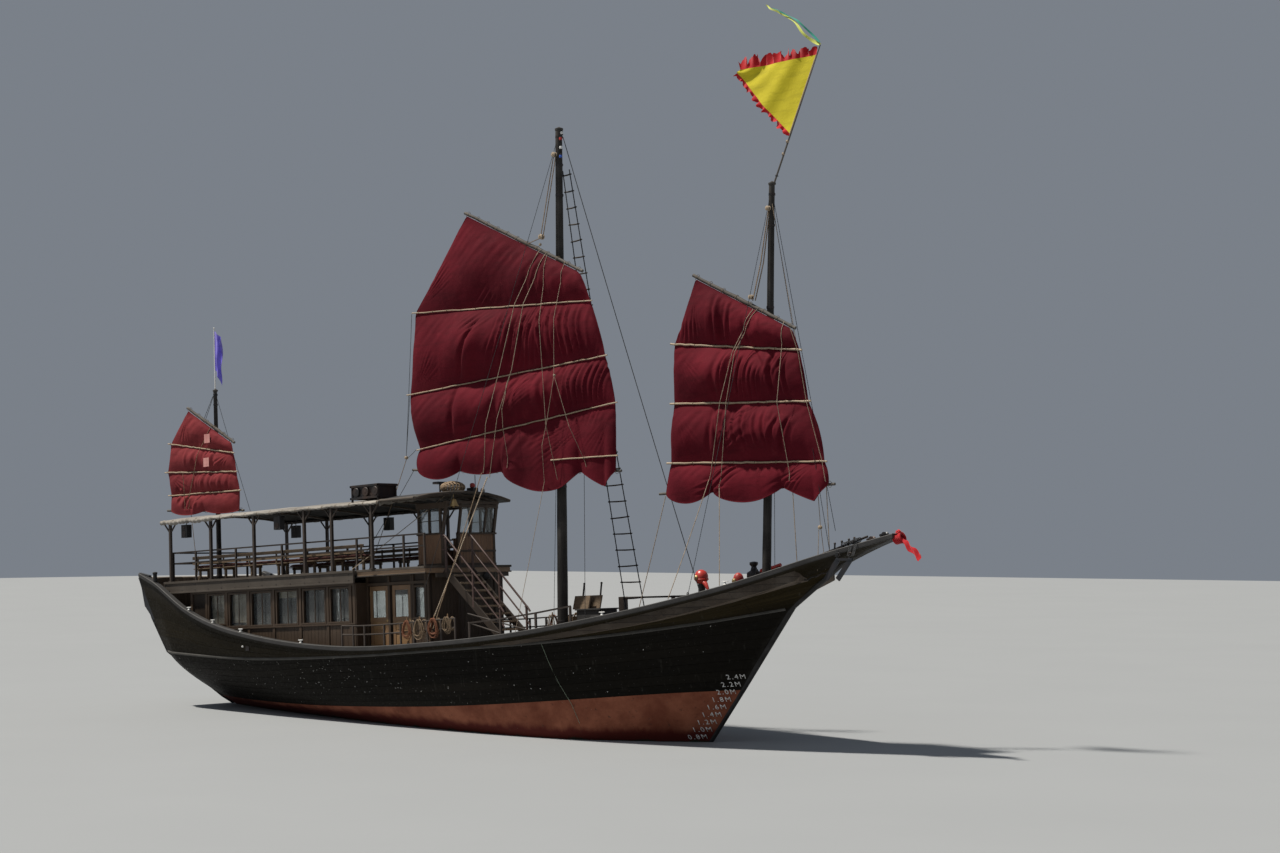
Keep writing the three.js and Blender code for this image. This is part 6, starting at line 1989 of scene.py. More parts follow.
def pulley(shape, centre, size):
    """A wooden block: two cheeks and the sheave between them"""
    centre, axis = Vector(centre), vec(0, 1, 0)
    for k in (-1, 1):
        shape.paint(0).lathe(centre + axis * (k * size * 0.28) - axis * (size * 0.1), axis,
                             [(0, size * 0.45), (size * 0.04, size * 0.5), (size * 0.16, size * 0.5),
                              (size * 0.2, size * 0.42)], 14)
    shape.paint(1).lathe(centre - axis * (size * 0.2), axis, [(0, size * 0.36), (size * 0.4, size * 0.36)], 14)
    shape.rod(centre - axis * size * 0.42, centre + axis * size * 0.42, size * 0.08, sides=8)


def knot(shape, centre, size, seed=1):
    """A tight ball of turns"""
    rng = random.Random(seed)
    for _ in range(4):
        axis = vec(rng.uniform(-1, 1), rng.uniform(-1, 1), rng.uniform(-1, 1))
        shape.ring(centre, axis, size * 0.6, size * 0.32, 12, 6)


# Rope ladder to the main masthead, on the port side

LADDER_FOOT, LADDER_HEAD = (3.17, 2.7, 2.76), (3.29, 0.14, 16.1)
LADDER_WIDE, LADDER_NARROW, LADDER_RUNGS = 0.74, 0.26, 28
STAY_HEAD, STAY_FOOT = (3.35, 0, 17.05), 8.0


def ladder():
    sides, rungs, ties = [], Shape(), Shape()
    for k in (-0.5, 0.5):
        sides.append([tuple(Vector(between(LADDER_FOOT, LADDER_HEAD, t))
                            + vec(k * lerp(LADDER_WIDE, LADDER_NARROW, t), 0.12 * sin(pi * t) * -0.6, 0))
                      for t in spread(0, 1, 40)])
    ropes("ladder_ropes", sides, 0.019, DARK_ROPE, replaced=["mast_ladder"])
    rng = random.Random(8)
    for i in range(LADDER_RUNGS):
        t = (i + 0.7) / LADDER_RUNGS
        centre = Vector(between(LADDER_FOOT, LADDER_HEAD, t)) + vec(0, -0.072 * sin(pi * t), 0)
        half = lerp(LADDER_WIDE, LADDER_NARROW, t) / 2 + 0.05
        tip = rng.uniform(-0.012, 0.012)
        rungs.tube([centre + vec(-half, 0, -tip), centre + vec(0, 0, -0.006), centre + vec(half, 0, tip)],
                   [0.019, 0.023, 0.019], 10)
        for k in (-1, 1):
            at = centre + vec(k * (half - 0.05), 0, k * tip)
            ties.ring(at, (1, 0, 0), 0.027, 0.008, 10, 6)
            ties.ring(at + vec(0, 0, 0.012), (0, 0.3, 1), 0.024, 0.007, 10, 6)
    piece("ladder_rungs", rungs, DARK_WOOD, "rope", smooth=60)
    piece("ladder_lashings", ties, DARK_ROPE, "rope", smooth=60)


def standing_rigging():
    foot = (STAY_FOOT, 0, deck_height(STAY_FOOT) + 0.02)
    ropes("main_stay_rope", [hanging(STAY_HEAD, foot, 0.1, 30)], 0.014, DARK_ROPE, replaced=["main_stay"])
    bow = cap_at(12.55, 0.06)
    lines = [hanging((10.84, 0, 14.2), (12.37, 0, 5.05), 0.04, 24),
             hanging((10.82, -0.02, 14.1), (12.6, bow[1], bow[2]), 0.05, 24),
             hanging((-13.1, 0, 11.1), (-10.9, -0.4, 6.98), 0.03)]
    for side in BOTH_SIDES:
        lines.append(hanging((3.17, side * 0.1, 16.9), cap_at(-0.6, 0.0, side), 0.05, 30))
        lines.append(hanging((10.8, side * 0.08, 14.0), cap_at(8.9, 0.0, side), 0.04, 24))
    ropes("stays_and_shrouds", lines, 0.011, DARK_ROPE, step=4.2)
    ropes("white_guy_line", [hanging((-3.56, -2.5, 4.76), (-1.15, -0.62, 7.0), 0.02)], 0.013, PALE_ROPE)
    ends = Shape()
    for side in BOTH_SIDES:
        for x in (-0.6, 8.9):
            at = Vector(cap_at(x, 0.0, side))
            ends.ring(at + vec(0, 0, 0.035), (1, 0, 0), 0.035, 0.011, 14, 6)
            ends.turned(at, [(0, 0.045), (0.012, 0.045), (0.02, 0.02)], 12)
    ends.ring(Vector(foot) + vec(0, 0, 0.02), (0, 1, 0), 0.04, 0.012, 14, 6)
    piece("rigging_eyes", ends, BLACK_IRON, "iron", smooth=50)


# The sails' own lines, which swing with them

def pulleys(name, rows, body=SHIP):
    shape = Shape()
    for centre, size in rows:
        pulley(shape, centre, size)
    piece(name, shape, [BATTEN_WOOD, BLACK_IRON], "spar", body=body, smooth=50)


def running_rigging():
    front = -0.9
    pulleys("masthead_blocks", [((3.12, -0.16, 16.55), 0.15), ((10.78, -0.14, 13.75), 0.13)])
    pulleys("main_blocks", [((2.72, -0.4, 14.15), 0.16), ((-3.19, -0.5, 8.15), 0.1)], "main_rig")
    knots = Shape()
    knot(knots, (3.48, front + 0.02, 9.98), 0.045, 2)
    knot(knots, (2.66, -0.4, 13.93), 0.05, 3)
    piece("main_knots", knots, PALE_ROPE, "rope", body="main_rig", smooth=60)
    falls = [[(2.7, -0.4, 14.2), (3.09, -0.16, 16.5)], [(2.76, -0.36, 14.2), (3.16, -0.14, 16.5)],
             [(2.66, -0.44, 14.1), (2.05, -0.42, 14.0)]]
    ropes("main_halyard", falls, 0.016, TAN_ROPE, body="main_rig")
    lines = [flat_line(front, line) for line in SAILS["main"]["lines"]]
    for line in lines:
        line[0] = (line[0][0], -0.44, line[0][2])
        line[-1] = (line[-1][0], -0.52 if line[-1][2] < 9 else front, line[-1][2])
    lines[4][0] = lines[5][0] = (3.48, front, 9.98)
    lines = [over_cloth("main", line) for line in lines]
    ropes("main_lazy_lines", lines[2:], 0.009, PALE_ROPE, body="main_rig")
    ropes("main_lifts", lines[:2], 0.012, PALE_ROPE, body="main_rig")
    leech = [hanging((-2.95, -0.5, 10.07), (-3.19, -0.5, 8.2), 0.03),
             hanging((-2.75, -0.5, 8.36), (-3.19, -0.5, 8.12), 0.02),
             hanging((-2.8, -0.46, 12.55), (-3.19, -0.5, 8.2), 0.05)]
    ropes("main_sheet_bridle", leech, 0.009, DARK_ROPE, body="main_rig")
    for name, top, low, sag, count, radius, look in (
            ("main_sheet", (-3.19, -0.5, 8.1), (-4.6, -0.9, 4.76), 0.05, 40, 0.012, TAN_ROPE),
            ("boom_sheet", (-3.0, -0.4, 7.72), (-4.1, -1.9, 4.76), 0.05, 40, 0.011, DARK_ROPE),
            ("main_fall_aft", (0.39, -0.62, 7.29), cap_at(0.07, 0.03), 0.03, 60, 0.02, PALE_ROPE),
            ("main_fall_fore", (0.16, -0.62, 7.43), cap_at(0.25, 0.03), 0.05, 60, 0.014, TAN_ROPE),
            ("main_boom_guy", (4.05, -0.4, 7.15), (3.95, -0.5, deck_height(3.9) + 0.1), 0.03, 40, 0.009,
             DARK_ROPE),
            ("main_deck_line", (2.6, -0.52, 7.0), (2.12, -1.55, deck_height(2.1) + 0.1), 0.04, 40, 0.009,
             PALE_ROPE)):
        crossing(name, hanging(top, low, sag, count), radius, look)

    front = -0.84
    lines = [flat_line(front, line) for line in SAILS["fore"]["lines"]]
    for line in lines:
        line[0] = (line[0][0], -0.4, line[0][2])
        line[-1] = (line[-1][0], -0.5, line[-1][2])
    ropes("fore_lifts", [over_cloth("fore", line) for line in lines], 0.01, PALE_ROPE, body="fore_rig")
    edge = flat_line(-0.52, [(11.6, 10.4), (11.82, 9.75), (12.02, 8.4), (12.42, 6.85), (12.5, 6.3)])
    ropes("fore_luff_line", [edge], 0.01, PALE_ROPE, body="fore_rig")
    ropes("fore_halyard", [[(10.3, -0.36, 11.3), (10.5, -0.2, 12.3), (10.76, -0.1, 13.7)],
                           [(10.34, -0.3, 11.3), (10.56, -0.16, 12.3), (10.79, -0.08, 13.7)]], 0.018, TAN_ROPE,
          body="fore_rig")
    pulleys("fore_blocks", [((10.26, -0.38, 11.4), 0.13)], "fore_rig")
    for name, top, low in (("fore_fall_aft", (8.69, -0.55, 6.61), cap_at(8.35, 0.03)),
                           ("fore_fall_fore", (9.04, -0.55, 6.4), cap_at(9.75, 0.03)),
                           ("fore_boom_line", (11.39, -0.45, 6.35), (11.47, -0.5, deck_height(11.4) + 0.1)),
                           ("fore_tack_line", (12.45, -0.42, 6.25), (12.4, -0.35, deck_height(12.3) + 0.35)),
                           ("fore_sheet", (7.05, -0.42, 6.3), (5.6, -0.3, deck_height(5.6) + 0.1))):
        crossing(name, hanging(top, low, 0.04, 30), 0.013, PALE_ROPE)

    line = flat_line(-0.58, SAILS["mizzen"]["lines"][0])
    line[0], line[-1] = (-12.91, -0.34, 10.05), (-14.1, -0.42, 7.25)
    second = flat_line(-0.5, [(-14.36, 8.5), (-14.3, 7.8), (-14.27, 7.25)])
    ropes("mizzen_lifts", [over_cloth("mizzen", part) for part in (line, second)], 0.011, TAN_ROPE,
          body="mizzen_rig")
    ropes("mizzen_halyard", [[(-13.45, -0.3, 10.2), (-13.14, -0.1, 11.05)],
                             [(-13.38, -0.27, 10.2), (-13.12, -0.09, 11.05)]], 0.01, DARK_ROPE,
                             body="mizzen_rig")
    crossing("mizzen_sheet", hanging((-14.1, -0.4, 7.25), (-13.6, -0.5, 4.8), 0.04, 30), 0.012, TAN_ROPE)
    for rig, r, places in (("main_rig", 0.27, ((2.7, 8.7), (2.78, 10.25), (2.85, 12.2))),
                           ("fore_rig", 0.245, ((10.2, 6.95), (10.35, 8.6), (10.5, 10.0))),
                           ("mizzen_rig", 0.17, ((-13.13, 7.74), (-13.13, 8.45), (-13.13, 9.3)))):
        ropes(rig + "_parrels", [[
            (x + r * 1.15, -0.36, z), (x + r * 1.1, -0.1, z + 0.01), (x + r * 0.8, r * 0.8, z + 0.02),
            (x, r * 1.05, z + 0.02), (x - r * 0.8, r * 0.8, z + 0.02), (x - r * 1.1, -0.1, z + 0.01),
            (x - r * 1.15, -0.36, z)] for x, z in places], 0.014, TAN_ROPE, body=rig)


# Flags

def flags():
    hoist_low, hoist_top, fly = vec(11.52, 0, 15.66), vec(12.5, 0, 17.6), vec(9.84, 0, 17.66)
    rows, count = [], 60
    for i in range(28):
        v = i / 27
        hoist = hoist_low.lerp(hoist_top, v)
        tip = fly.lerp(fly + vec(0.12, 0, 0.04), v)
        line = []
        for t in spread(0, 1, count):
            p = hoist.lerp(tip, t)
            wave = 0.11 * sin(t * 9.5 + v * 1.5) * t * (1.1 - t * 0.5) + 0.03 * sin(t * 23 + v * 5) * t
            line.append((p.x, wave * (1 - 0.4 * t), p.z - 0.06 * sin(pi * t) * (1 - v)))
        rows.append(line)
    frill = Shape()
    for edge in (rows[0], rows[-1]):
        strip = []
        sign = -1 if edge is rows[0] else 1
        for j in range(0, count - 1):
            a, b = Vector(edge[j]), Vector(edge[j + 1])
            out = vec(-(b - a).z, 0, (b - a).x).normalized() * -sign
            for t in (0.0, 0.5):
                p, s = a.lerp(b, t), (j + t) * 1.9
                tongue = abs(sin(s * 0.26 + 0.8 * sin(s * 0.17)))
                ragged = 0.35 + tongue ** 0.7 + 0.35 * noise.noise(vec(s * 0.5, sign, 2.0))
                strip.append((p, out * ragged * (0.1 if edge is rows[0] else 0.17 + 0.1 * j / count), s))
        grid = []
        for w in spread(0, 1, 5):
            grid.append([tuple(p + out * w + vec(0.05 * w * sin(s * 0.5), 0.05 * w * sin(s * 0.6), 0))
                         for p, out, s in strip])
        frill.sheet(grid, 0.003)
    frill_obj = piece("pennant_border", frill, RED_CLOTH, "yellow_flag", smooth=60)
    hung_sheet("pennant_cloth", rows, 0.004, YELLOW_CLOTH, "yellow_flag", (2.75, 2.2), ["fore_mast_finished"],
               replaced=["pennant"], area=3.1, with_pieces=[frill_obj])
    lacing = Shape().tube([hoist_low.lerp(hoist_top, t) + vec(0.012, -0.02, 0) for t in spread(0, 1, 8)], 0.02,
                          8)
    for t in (-0.1, -0.26):
        knot(lacing, hoist_low.lerp(hoist_top, t), 0.055, 5)
    piece("pennant_hoist_rope", lacing, PALE_ROPE, "rope", smooth=60)
    head = vec(12.64, 0.0, 17.85)
    for name, look, width, strand in (
            ("streamer_pale_strand", PALE_STREAMER, 0.085, [
                (-0.02, 0.0), (-0.302, 0.191), (-0.531, 0.409), (-0.753, 0.729), (-1.019, 0.95),
                (-1.318, 1.173), (-1.6, 1.326), (-1.745, 1.47)]),
            ("streamer_green_strand", GREEN_STREAMER, 0.06, [
                (-0.031, 0.072), (-0.323, 0.398), (-0.684, 0.774), (-1.017, 1.0), (-1.3, 1.2), (-1.58, 1.34)])):
        path, rows, length = rounded([(head.x + x, 0.0, head.z + z) for x, z in strand], 44), [], 0.0
        for k, (x, y, z) in enumerate(path):
            s = k / (len(path) - 1)
            twist = 0.5 + 0.9 * sin(s * 11 + width * 30)
            half = width * (0.5 - 0.32 * s)
            rows.append([(x + t * half * 0.55, 0.07 * sin(s * 15) * s + t * half * sin(twist),
                          z + t * half * cos(twist)) for t in spread(-1, 1, 5)])
            if k:
                length += dist(path[k - 1], path[k])
        hung_sheet(name, rows, 0.003, look, "yellow_flag", (width * 0.75, length), ["fore_mast_finished"],
                   replaced=["streamer"] if width > 0.08 else ())

    rows = []
    for i in range(40):
        v = i / 39
        z = lerp(11.95, 13.28, v)
        line = []
        for t in spread(0, 1, 24):
            droop = 0.62 * t * (1 - 0.2 * v)
            x = -13.105 + 0.42 * t * (0.55 + 0.45 * v) + 0.03 * sin(v * 8 + t * 3) * t
            y = 0.085 * sin(t * 8 + v * 2.5) * t + 0.03 * sin(v * 11) * t
            line.append((x, y, z - droop * (0.35 + 0.5 * t) + 0.03 * sin(t * 11) * t))
        rows.append(line)
    hung_sheet("small_flag_cloth", rows, 0.004, PURPLE_CLOTH, "purple_flag", (0.6, 1.33),
               ["mizzen_mast_finished"],
               replaced=["small_flag"])

    rows = []
    for i in range(30):
        v = i / 29
        top = vec(14.28, -0.06, 4.86).lerp(vec(15.0, -0.12, 4.22), v)
        line = []
        for t in spread(-0.5, 0.5, 9):
            fold = 0.035 * sin(v * 14 + t * 6)
            line.append((top.x + t * 0.05, top.y + t * lerp(0.1, 0.05, v) + fold,
                         top.z + t * lerp(0.05, 0.16, v)
                         + 0.02 * sin(v * 19)))
        rows.append(line)
    wrap = Shape()
    for k in range(5):
        wrap.ring((14.22 + 0.05 * k, 0, 4.74 + 0.008 * k), (1, 0, 0.3), 0.125, 0.028, 20, 8)
    knot(wrap, vec(14.34, -0.05, 4.9), 0.085, 6)
    wrap_obj = piece("bow_cloth_wrap", wrap, RED_CLOTH, "yellow_flag", smooth=60)
    hung_sheet("bow_streamer", rows, 0.004, RED_CLOTH, "yellow_flag", (0.16, 1.15), ["bow_cloth_wrap"],
               with_pieces=[wrap_obj])


def mizzen_patches():
    """Two paler patches on the mizzen"""
    shape = Shape()
    for x0, x1, z0, z1 in ((-13.1, -12.8, 9.42, 9.72), (-13.18, -12.88, 8.62, 8.92)):
        shape.sheet([[(x, -0.532 + 0.004 * sin(x * 30), z) for x in spread(x0, x1, 8)]
                     for z in spread(z0, z1, 8)],
                    0.006)
    piece("mizzen_patches", shape, PATCH_CLOTH, "sail", body="mizzen_rig", smooth=60)


# Foredeck

def foredeck():
    for node in ("fore_rail_port", "fore_rail_starboard"):
        dress(node, RAIL_WOOD, "dark_wood", bevel=0.008)
    extra = Shape()
    rail_top = ((2.4, 3.6), (4.5, 3.57), (5.6, 3.56), (6.5, 3.3))
    for share, radius in ((1.0, 0.028), (0.5, 0.016)):
        extra.tube([(x, cap_at(x, 0, PORT)[1], lerp(cap_at(x, 0, PORT)[2], z, share)) for x, z in rail_top],
                   radius, 8)
    for (x, top), width in zip(rail_top, (0.2, 0.09, 0.07)):
        foot = Vector(cap_at(x, -0.02, PORT))
        extra.bar(foot, (x, foot.y, top + 0.03), width)
    for high, low in ((3.3, 3.9), (3.05, 3.0)):
        extra.tube([(1.8, cap_at(1.8, 0, STARBOARD)[1], high), cap_at(low, 0.02, STARBOARD)], 0.022, 8)
    piece("foredeck_rail_bars", extra, RAIL_WOOD, "dark_wood", bevel=0.005)
    windlass_and_hatch()
    gear = Shape()
    z = deck_height(3.5)
    gear.paint(1).box((3.06, 0.15, z + 0.01), (3.95, 0.9, z + 0.86))
    gear.paint(1).box((3.02, 0.11, z + 0.86), (3.99, 0.94, z + 0.9))
    gear.paint(2).box((2.44, 0.3, z + 0.01), (2.98, 0.8, z + 0.7))
    for x, y in ((2.86, 0.2), (3.1, 0.42)):
        gear.plate([(x, y, z + 0.9), (x + 0.6, y, z + 0.9), (x + 0.6, y + 0.12, z + 1.28),
                    (x, y + 0.12, z + 1.28)],
                   (0.02, 0.035, -0.008))
    gear.paint(0)
    for foot, top in ((2.86, 2.99), (3.54, 3.66)):
        gear.rod((foot, 0.6, z + 0.9), (top, 0.6, 4.03), 0.026, sides=10)
        gear.ball((top, 0.6, 4.03), 0.034)
    piece("deck_locker_and_boards", gear, [BLACK_IRON, CAP_WOOD, BENCH_WOOD], "dark_wood", bevel=0.005)
    bitts = Shape()
    for x, y in ((3.55, 1.5), (3.55, -1.5), (7.3, 1.2), (7.3, -1.2), (-9.0, 2.55), (-9.0, -2.55)):
        z = deck_height(x)
        for k in (-0.11, 0.11):
            bitts.turned((x + k, y, z), [(0, 0.075), (0.02, 0.06), (0.36, 0.055), (0.37, 0.08), (0.42, 0.08),
                                                  (0.44, 0.05)], 18)
        bitts.bar((x - 0.22, y, z + 0.24), (x + 0.22, y, z + 0.24), 0.05)
        bitts.box((x - 0.2, y - 0.1, z - 0.001), (x + 0.2, y + 0.1, z + 0.02))
    piece("bollards", bitts, BLACK_IRON, "iron", bevel=0.004)
    red = Shape()
    for x, neck, head in ((7.2, 3.92, 0.19), (8.5, 3.78, 0.15)):
        red.paint(1).turned((x, 0.8, deck_height(x)), [(0, 0.17), (0.04, 0.15), (0.06, 0.11),
                                                               (neck - deck_height(x), 0.1)], 18)
        red.paint(0).turned((x, 0.8, neck - 0.05), [
            (0.0, 0.09), (0.02, 0.7 * head), (0.1, head), (0.24, 0.98 * head), (0.33, 0.75 * head),
            (0.38, 0.35 * head),
            (0.39, 0.02)], 20)
        red.ring((x, 0.8, neck + 0.07), (0, 0, 1), head, 0.018, 22, 6)
        red.tube([(x + 0.06, 0.74, neck + 0.02), (x + 0.22, 0.7, neck - 0.06), (x + 0.3, 0.7, neck - 0.22)],
                 [0.05, 0.065, 0.04], 10)
        red.paint(2).lathe((x - 0.04, 0.8 - 0.97 * head, neck + 0.12), (-0.15, -1, 0.1), [
            (0, 0.075), (0.02, 0.07), (0.045, 0.045), (0.055, 0.01)], 16)
    red.paint(1).turned((9.05, 0.8, deck_height(9.05)), [
        (0, 0.2), (0.05, 0.16), (0.8, 0.15), (0.84, 0.21), (0.96, 0.2), (1.02, 0.1), (1.12, 0.07), (1.18, 0.12),
        (1.24, 0.115), (1.26, 0.03)], 20)
    red.bar((9.35, 0.8, deck_height(9.35)), (9.4, 0.8, 4.14), 0.09)
    red.bar((9.9, 0.8, deck_height(9.9)), (9.88, 0.8, 4.22), 0.09)
    red.paint(0).tube([(9.28, 0.8, 4.13), (9.5, 0.79, 4.19), (9.7, 0.8, 4.2), (9.96, 0.8, 4.27)],
                      [0.05, 0.07, 0.055, 0.05], 10)
    piece("red_headed_ventilators", red, [RED_PAINT, BLACK_IRON, BRONZE], "iron", smooth=50)
    hose = []
    for turns, x, y, low, rise, wide, tall, less, ripple, count in (
            (3, 7.6, 1.55, 0.05, 0.055, 0.24, 0.2, 0.0, 0.01, 26),
            (4, 6.5, -1.0, 0.03, 0.045, 0.3, 0.27, 0.02, 0, 30),
            (4, 4.2, 0.9, 0.03, 0.045, 0.26, 0.24, 0.015, 0, 30)):
        for k in range(turns):
            centre = vec(x, y, deck_height(x) + low + rise * k)
            hose.append([centre + vec((wide - less * k) * cos(a), (tall - less * k) * sin(a),
                                      ripple * sin(3 * a))
                         for a in spread(0, 2 * pi, count)])
    ropes("coiled_deck_ropes", hose, 0.024, TAN_ROPE)


def windlass_and_hatch():
    z = deck_height(9.3)
    axle = z + 0.423
    shape = Shape()
    shape.paint(0).lathe((9.3, -0.62, axle), (0, 1, 0), [
        (0.0, 0.06), (0.0, 0.15), (0.05, 0.17), (0.09, 0.13), (0.13, 0.115), (0.5, 0.105), (0.56, 0.13),
        (0.62, 0.14),
        (0.68, 0.13), (0.74, 0.105), (1.11, 0.115), (1.15, 0.13), (1.19, 0.17), (1.24, 0.15), (1.24, 0.06)], 20)
    for y in (-0.47, 0.0, 0.47):
        shape.paint(1).box((9.22, y - 0.05, z), (9.38, y + 0.05, axle + 0.13))
        shape.lathe((9.3, y - 0.055, axle), (0, 1, 0), [(0, 0.1), (0.11, 0.1)], 16)
    for a in turn(16):
        centre = vec(9.3 + 0.135 * cos(a), 0.18, axle + 0.135 * sin(a))
        shape.box(centre - vec(0.016, 0.05, 0.016), centre + vec(0.016, 0.05, 0.016))
    shape.box((9.05, -0.6, z), (9.55, 0.6, z + 0.03))
    shape.rod((9.3, 0.3, axle + 0.1), (9.55, 0.3, axle + 0.55), 0.022)
    piece("windlass_finished", shape, [BLACK_IRON, CAP_WOOD], "iron", replaced=["windlass"], bevel=0.005)
    dress("hatch_box", CAP_WOOD, "dark_wood", bevel=0.01)
    chain = [(lerp(9.5, 12.4, k / 69), -0.5, deck_height(lerp(9.5, 12.2, k / 69)) + 0.05 + 0.015 * sin(k * 0.9))
             for k in range(70)]
    links = Shape()
    for k, (p, q) in enumerate(zip(chain, chain[1:])):
        centre, ahead = Vector(between(p, q, 0.5)), (Vector(q) - Vector(p)).normalized()
        across = vec(0, 1, 0) if k % 2 else ahead.cross(vec(0, 1, 0))
        oval = [centre + ahead * (0.034 * cos(a)) + across * (0.019 * sin(a))
                for a in turn(12)]
        links.loft([[Vector(o) + (Vector(o) - centre).normalized() * (0.0075 * cos(b)) +
                     ahead.cross(across) * (0.0075 * sin(b)) for b in turn(6)]
                    for o in oval], looped=True)
    piece("anchor_chain", links, BLACK_IRON, "iron", smooth=60)


def bow_gear():
    dress("anchor", STEEL_BLUE, "iron", bevel=0.012)
    shape = Shape()
    for x, z in ((12.86, 4.35), (13.24, 4.33)):
        shape.paint(0).ring((x, -0.64, z + 0.06), (0, 1, 0), 0.055, 0.014, 16, 8)
    for k, x in enumerate((12.72, 12.9, 13.08, 13.22)):
        top = Vector(cap_at(x, 0.0))
        shape.rod(top, top + vec(0.02, 0, 0.16), 0.022)
        shape.ball(top + vec(0.02, 0, 0.17), 0.032)
    for x in (13.5, 13.9):
        z = cap_at(x)[2]
        shape.rod((x, -0.22, z + 0.05), (x, 0.22, z + 0.05), 0.035)
        shape.lathe((x, -0.06, z + 0.05), (0, 1, 0), [(0, 0.09), (0.03, 0.05), (0.09, 0.05), (0.12, 0.09)], 16)
    shape.rod((12.0, -0.1, cap_at(12.0)[2] + 0.12), (13.4, -0.05, cap_at(13.4)[2] + 0.16), 0.03)
    piece("bow_rollers_and_pins", shape, BLACK_IRON, "iron", bevel=0.003, smooth=50)
    lashings = []
    for x in (12.8, 13.16, 13.3):
        top = Vector(cap_at(x, 0.02))
        lashings += [[top + vec(0.03 * k, 0.06, 0), top + vec(0.03 * k, -0.09, -0.02),
                      (x + 0.03 * k, -0.66, 4.36)]
                     for k in range(3)]
    ropes("anchor_lashings", lashings, 0.01, DARK_ROPE)
    coil = []
    rng = random.Random(4)
    for k in range(9):
        centre = Vector(cap_at(12.95 + 0.05 * k, 0.03))
        r = rng.uniform(0.07, 0.11)
        coil.append([centre + vec(0.02 * sin(a), r * cos(a), 0.05 + 0.6 * r * sin(a))
                     for a in spread(0, 2 * pi, 18)])
    ropes("bow_rope_turns", coil, 0.015, DARK_ROPE)
    pulleys("bow_tackle_block", [((12.14, -0.35, 5.15), 0.1)])
    ropes("bow_tackle", [[(12.14, -0.33, 5.2), (11.9, -0.1, 7.3), (10.86, -0.06, 13.9)],
                         [(12.12, -0.38, 5.1), (12.1, -0.5, deck_height(12.1) + 0.12)],
                         [(12.16, -0.34, 5.1), (12.22, -0.3, deck_height(12.2) + 0.12)]], 0.01, PALE_ROPE)


# Side deck: belaying posts, hanging coils and the gate rail beside the doors

def hung_coil(place_at, side, size, turns, seed):
    """Loops of rope hung on a peg"""
    rng = random.Random(seed)
    paths = []
    for k in range(turns):
        wide, tall = size * rng.uniform(0.3, 0.45), size * rng.uniform(0.75, 1.05)
        out = side * (0.03 + 0.012 * k)
        shift = rng.uniform(-0.05, 0.05)
        path = []
        for a in spread(0, 2 * pi, 20):
            drop = tall * (1 - cos(a)) / 2
            path.append((place_at[0] + shift + wide * sin(a) * (0.35 + 0.65 * (1 - cos(a)) / 2),
                         place_at[1] + out + rng.uniform(-0.004, 0.004), place_at[2] - drop))
        paths.append(path)
    return paths


def side_decks():
    posts, pins = Shape(), Shape()
    tan, dark = [], []
    for side in BOTH_SIDES:
        for x in (-3.45, -2.95, -2.45, -1.6, -0.9, -0.35, 0.2, 0.75, 1.3):
            low = Vector(cap_at(x, -0.02, side))
            posts.bar(low, low + vec(0, 0, 0.62), 0.05)
        for up in (0.34, 0.6):
            posts.tube([cap_at(x, up, side) for x in spread(-3.45, 1.32, 16)], 0.022, 10)
        for x in (-0.62, -0.1, 0.48, 1.02):
            top = Vector(cap_at(x, 0.6, side))
            pins.turned(top + vec(0, 0, -0.14), [(0, 0.012), (0.14, 0.014), (0.16, 0.022), (0.22, 0.024),
                                                               (0.29, 0.012)], 10)
        for k, (x, size, turns) in enumerate(((-0.62, 0.5, 5), (-0.1, 0.56, 7), (0.48, 0.54, 7),
                                              (1.02, 0.46, 5))):
            top = cap_at(x, 0.66, side)
            (tan if k in (1, 3) else dark).extend(hung_coil(top, side, size, turns, k + 10))
            tan.extend(hung_coil((top[0] + 0.05, top[1] - side * 0.09, top[2]), -side, size * 0.8, 3, k + 30))
    piece("side_rails", posts, RAIL_WOOD, "dark_wood", bevel=0.004, smooth=50)
    piece("belaying_pins", pins, HONEY_WOOD, "warm_wood", smooth=50)
    ropes("hung_rope_coils", tan, 0.015, TAN_ROPE)
    ropes("hung_rope_coils_reddish", dark, 0.016, RUST_ROPE)
    fittings = Shape()
    for side in BOTH_SIDES:
        for x in (-11.05, -9.75, -8.3, -5.4, 6.4, 9.9):
            at = Vector(cap_at(x, 0.0, side))
            fittings.paint(0).turned(at + vec(0, 0, -0.004),
                                     [(0, 0.05), (0.02, 0.05), (0.03, 0.03), (0.075, 0.028),
                                                                          (0.085, 0.04), (0.1, 0.035)], 14)
            fittings.bar(at + vec(-0.1, 0, 0.09), at + vec(0.1, 0, 0.09), 0.028)
        spot, out = side_point(-8.01, 2.5, side, 0.0)
        fittings.paint(1).box((-8.09, spot.y, 2.44), (-7.93, spot.y + side * 0.03, 2.6))
        spot, out = side_point(-8.22, 2.58, side, 0.01)
        fittings.paint(0).lathe(spot, out, [(0, 0.035), (0.03, 0.03), (0.05, 0.015)], 12)
        spot, out = side_point(-2.25, 2.45, side, 0.01)
        fittings.lathe(spot, out, [(0, 0.03), (0.05, 0.028), (0.06, 0.045), (0.08, 0.04)], 12)
    piece("cap_cleats_and_fairleads", fittings, [WHITE_PAINT, BLACK_IRON], "iron", bevel=0.003)
    stern = Shape()
    for side in BOTH_SIDES:
        at = Vector(cap_at(-13.02, 0.0, side))
        stern.turned(at, [(-0.01, 0.07), (0.24, 0.065), (0.26, 0.08), (0.3, 0.08), (0.32, 0.05)], 16)
    piece("stern_posts", stern, CAP_WOOD, "dark_wood", bevel=0.004)
    ropes("side_draft_cord", [[side_point(x, z, side, 0.006)[0] for x, z in (
        (4.26, 2.41), (4.42, 1.9), (4.62, 1.3), (4.82, 0.75), (4.98, 0.2))] for side in BOTH_SIDES], 0.007,
        DRAFT_CORD)


